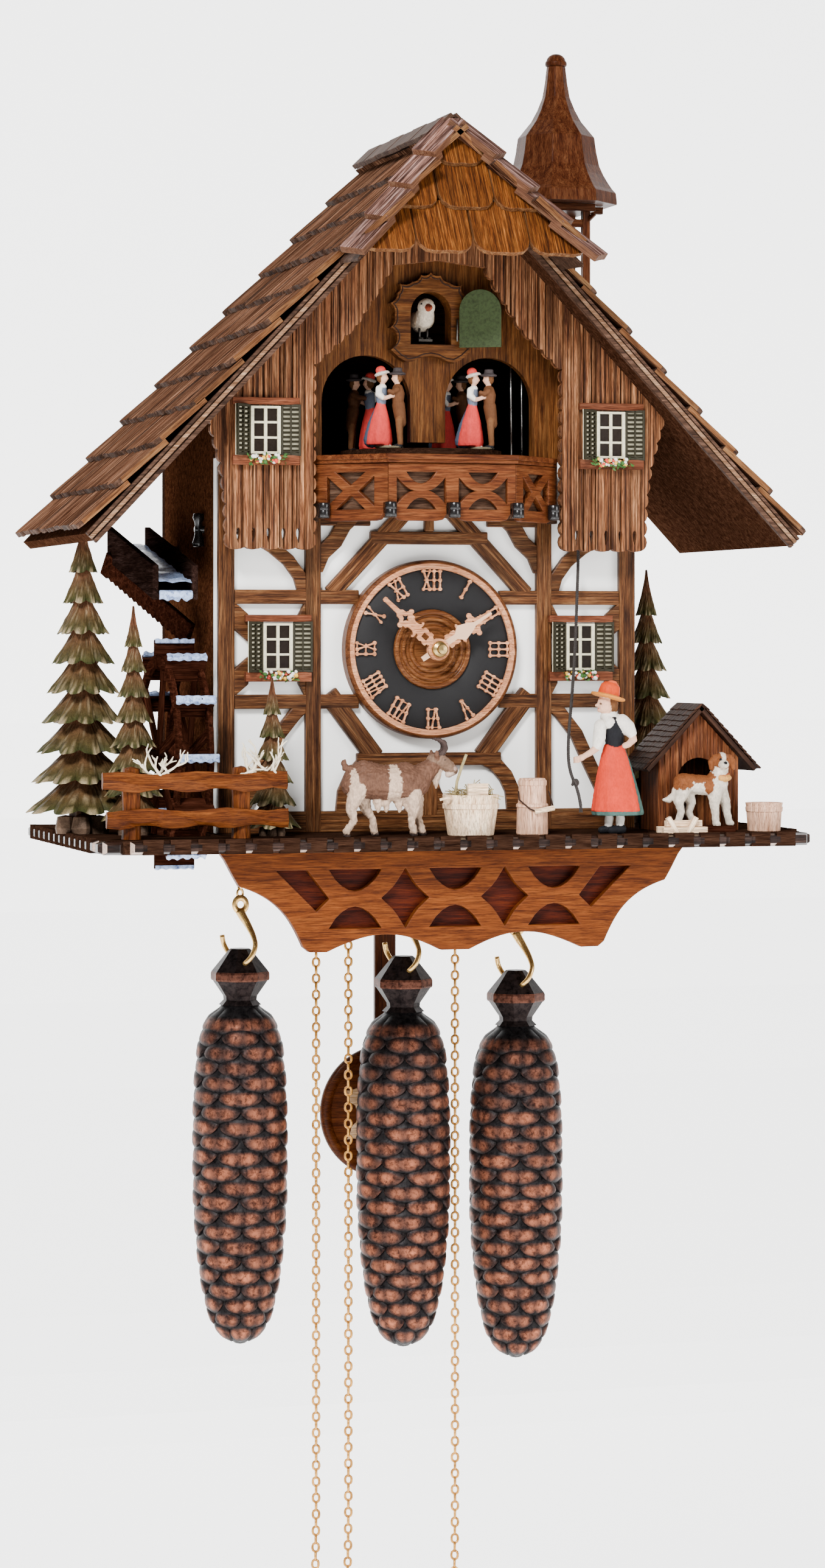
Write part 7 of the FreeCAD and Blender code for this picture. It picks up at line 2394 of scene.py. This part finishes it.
chute_dark = wood("chute_grey", (0.006, 0.003, 0.0025), (0.016, 0.008, 0.006), (0.034, 0.019, 0.016), 0.6,
                  specular=0.0)
fence_mat = wood("fence_orange", (0.0374, 0.00812, 0.00123), (0.0823, 0.021, 0.00347),
                 (0.134, 0.0396, 0.00739), 0.45)
tub_pale = wood("tub_pale", (0.65, 0.432, 0.262), (0.85, 0.624, 0.415), (0.975, 0.78, 0.546), 0.6, vary=0.2)
tub_pink = wood("churn_pink", (0.48, 0.253, 0.154), (0.648, 0.38, 0.253), (0.768, 0.506, 0.363), 0.6,
                vary=0.2)
hay = paint("hay_dry", (0.33, 0.26, 0.12), 0.8, 0.5)
kennel_wall = wood("kennel_wall", (0.035, 0.00877, 0.003), (0.098, 0.0302, 0.0114), (0.182, 0.0683, 0.027),
                   0.5, ridges_and_groove_shade=0.4)
kennel_roof = wood("kennel_roof", (0.00924, 0.00347, 0.00175), (0.0252, 0.01, 0.00525),
                   (0.0462, 0.02, 0.0112), 0.5)
door_green = paint("door_green", (0.0375, 0.0546, 0.0187), 0.45, 0.5, 0.8)
wire = metal("wire_steel", (0.52, 0.50, 0.48), 0.3, (0.30, 0.28, 0.26))
wire_dark = metal("wire_dark", (0.10, 0.09, 0.08), 0.35, (0.04, 0.035, 0.03))
pendulum_mat = wood("pendulum_wood", (0.0252, 0.00515, 0.000792), (0.0529, 0.0124, 0.00232),
                    (0.078, 0.022, 0.0046), 0.4, coat=0.04)
leaf_wood = wood("leaf_wood", (0.26, 0.15, 0.072), (0.442, 0.285, 0.16), (0.585, 0.42, 0.272), 0.5)
interior = wood("interior_dark", (0.010, 0.0045, 0.003), (0.024, 0.011, 0.0065), (0.042, 0.02, 0.012), 0.8,
                own_grain=False, specular=0.0)
plate_brass = metal("plate_brass", (0.62, 0.44, 0.18), 0.3, (0.40, 0.26, 0.10), 0.1, own_grain=False)
steel = metal("plain_steel", (0.45, 0.44, 0.43), 0.3, (0.28, 0.27, 0.26), 0.2, own_grain=False)
cloth = paint("bellows_paper", (0.30, 0.26, 0.20), 0.8)

free_chains(brass)
bell_rope(rope_black)
weights(iron, brass_bright)
roof([shingle_top, shingle_cut, shingle_side, hip_top, cap_top, cap_side, verge_bead_highlight])
gable(gable_mat, interior)
stage(stage_mat, edge_dark)
timber_frame(beam_mat)
cover_hanger_hole_with_shade(interior)
windows([cream, olive, window_brown, pane, leaf, petal_white, petal_yellow, petal_red])
turret(turret_mat, brass_bright)
balcony(balcony_mat, balcony_dim, gloss_black)
dial(dial_black, dial_tan, dial_turned, dial_rim)
hands(dial_tan, brass_bright)
base(base_mat, edge_gloss, edge_glint_paint)
skirt(skirt_mat, backing)
goat(carved_paint)
dog(carved_paint, wheel_mat)
ringer(girl_paint)
dancers(girl_paint)
cuckoo(carved_paint, wire_dark)
cuckoo_door(door_green, wire_dark)
WATER = paint("water_painted", (0.34, 0.44, 0.66), 0.3, 0.5, 0.5, coat=0.1, second=(0.05, 0.08, 0.20))
water_wheel(wheel_mat, WATER)
water_chute(wheel_mat, chute_dark, WATER)
fir_trees(fir_paint)
fence(fence_mat, twig_pale)
tubs(tub_pale, hay, tub_pink, edge_dark)
kennel(kennel_wall, kennel_roof, edge_dark)
pendulum(pendulum_mat, leaf_wood, wire)
lever(gloss_black)
lift_wires(wire)

coat(wall_side, "case_walls")
soffit_mat = wood("soffit_dark", (0.016, 0.006, 0.003), (0.04, 0.016, 0.008), (0.075, 0.033, 0.018), 0.7,
                  own_grain=False, turn=(0, 0, 1.5708), specular=0.0)
coat(interior, "back_panel", "music_movement", "bellows", "turntable")
coat(soffit_mat, "roof_boards")
coat(plaster, "front_wall")
coat(interior, "base_board")
coat(plate_brass, "movement_plates", "center_arbor", "minute_wheel", "third_wheel", "escape_wheel",
     "chain_wheel_left", "chain_wheel_center", "chain_wheel_right")
coat(steel, "anchor")
coat(cloth, "bellows_top_left", "bellows_top_right")
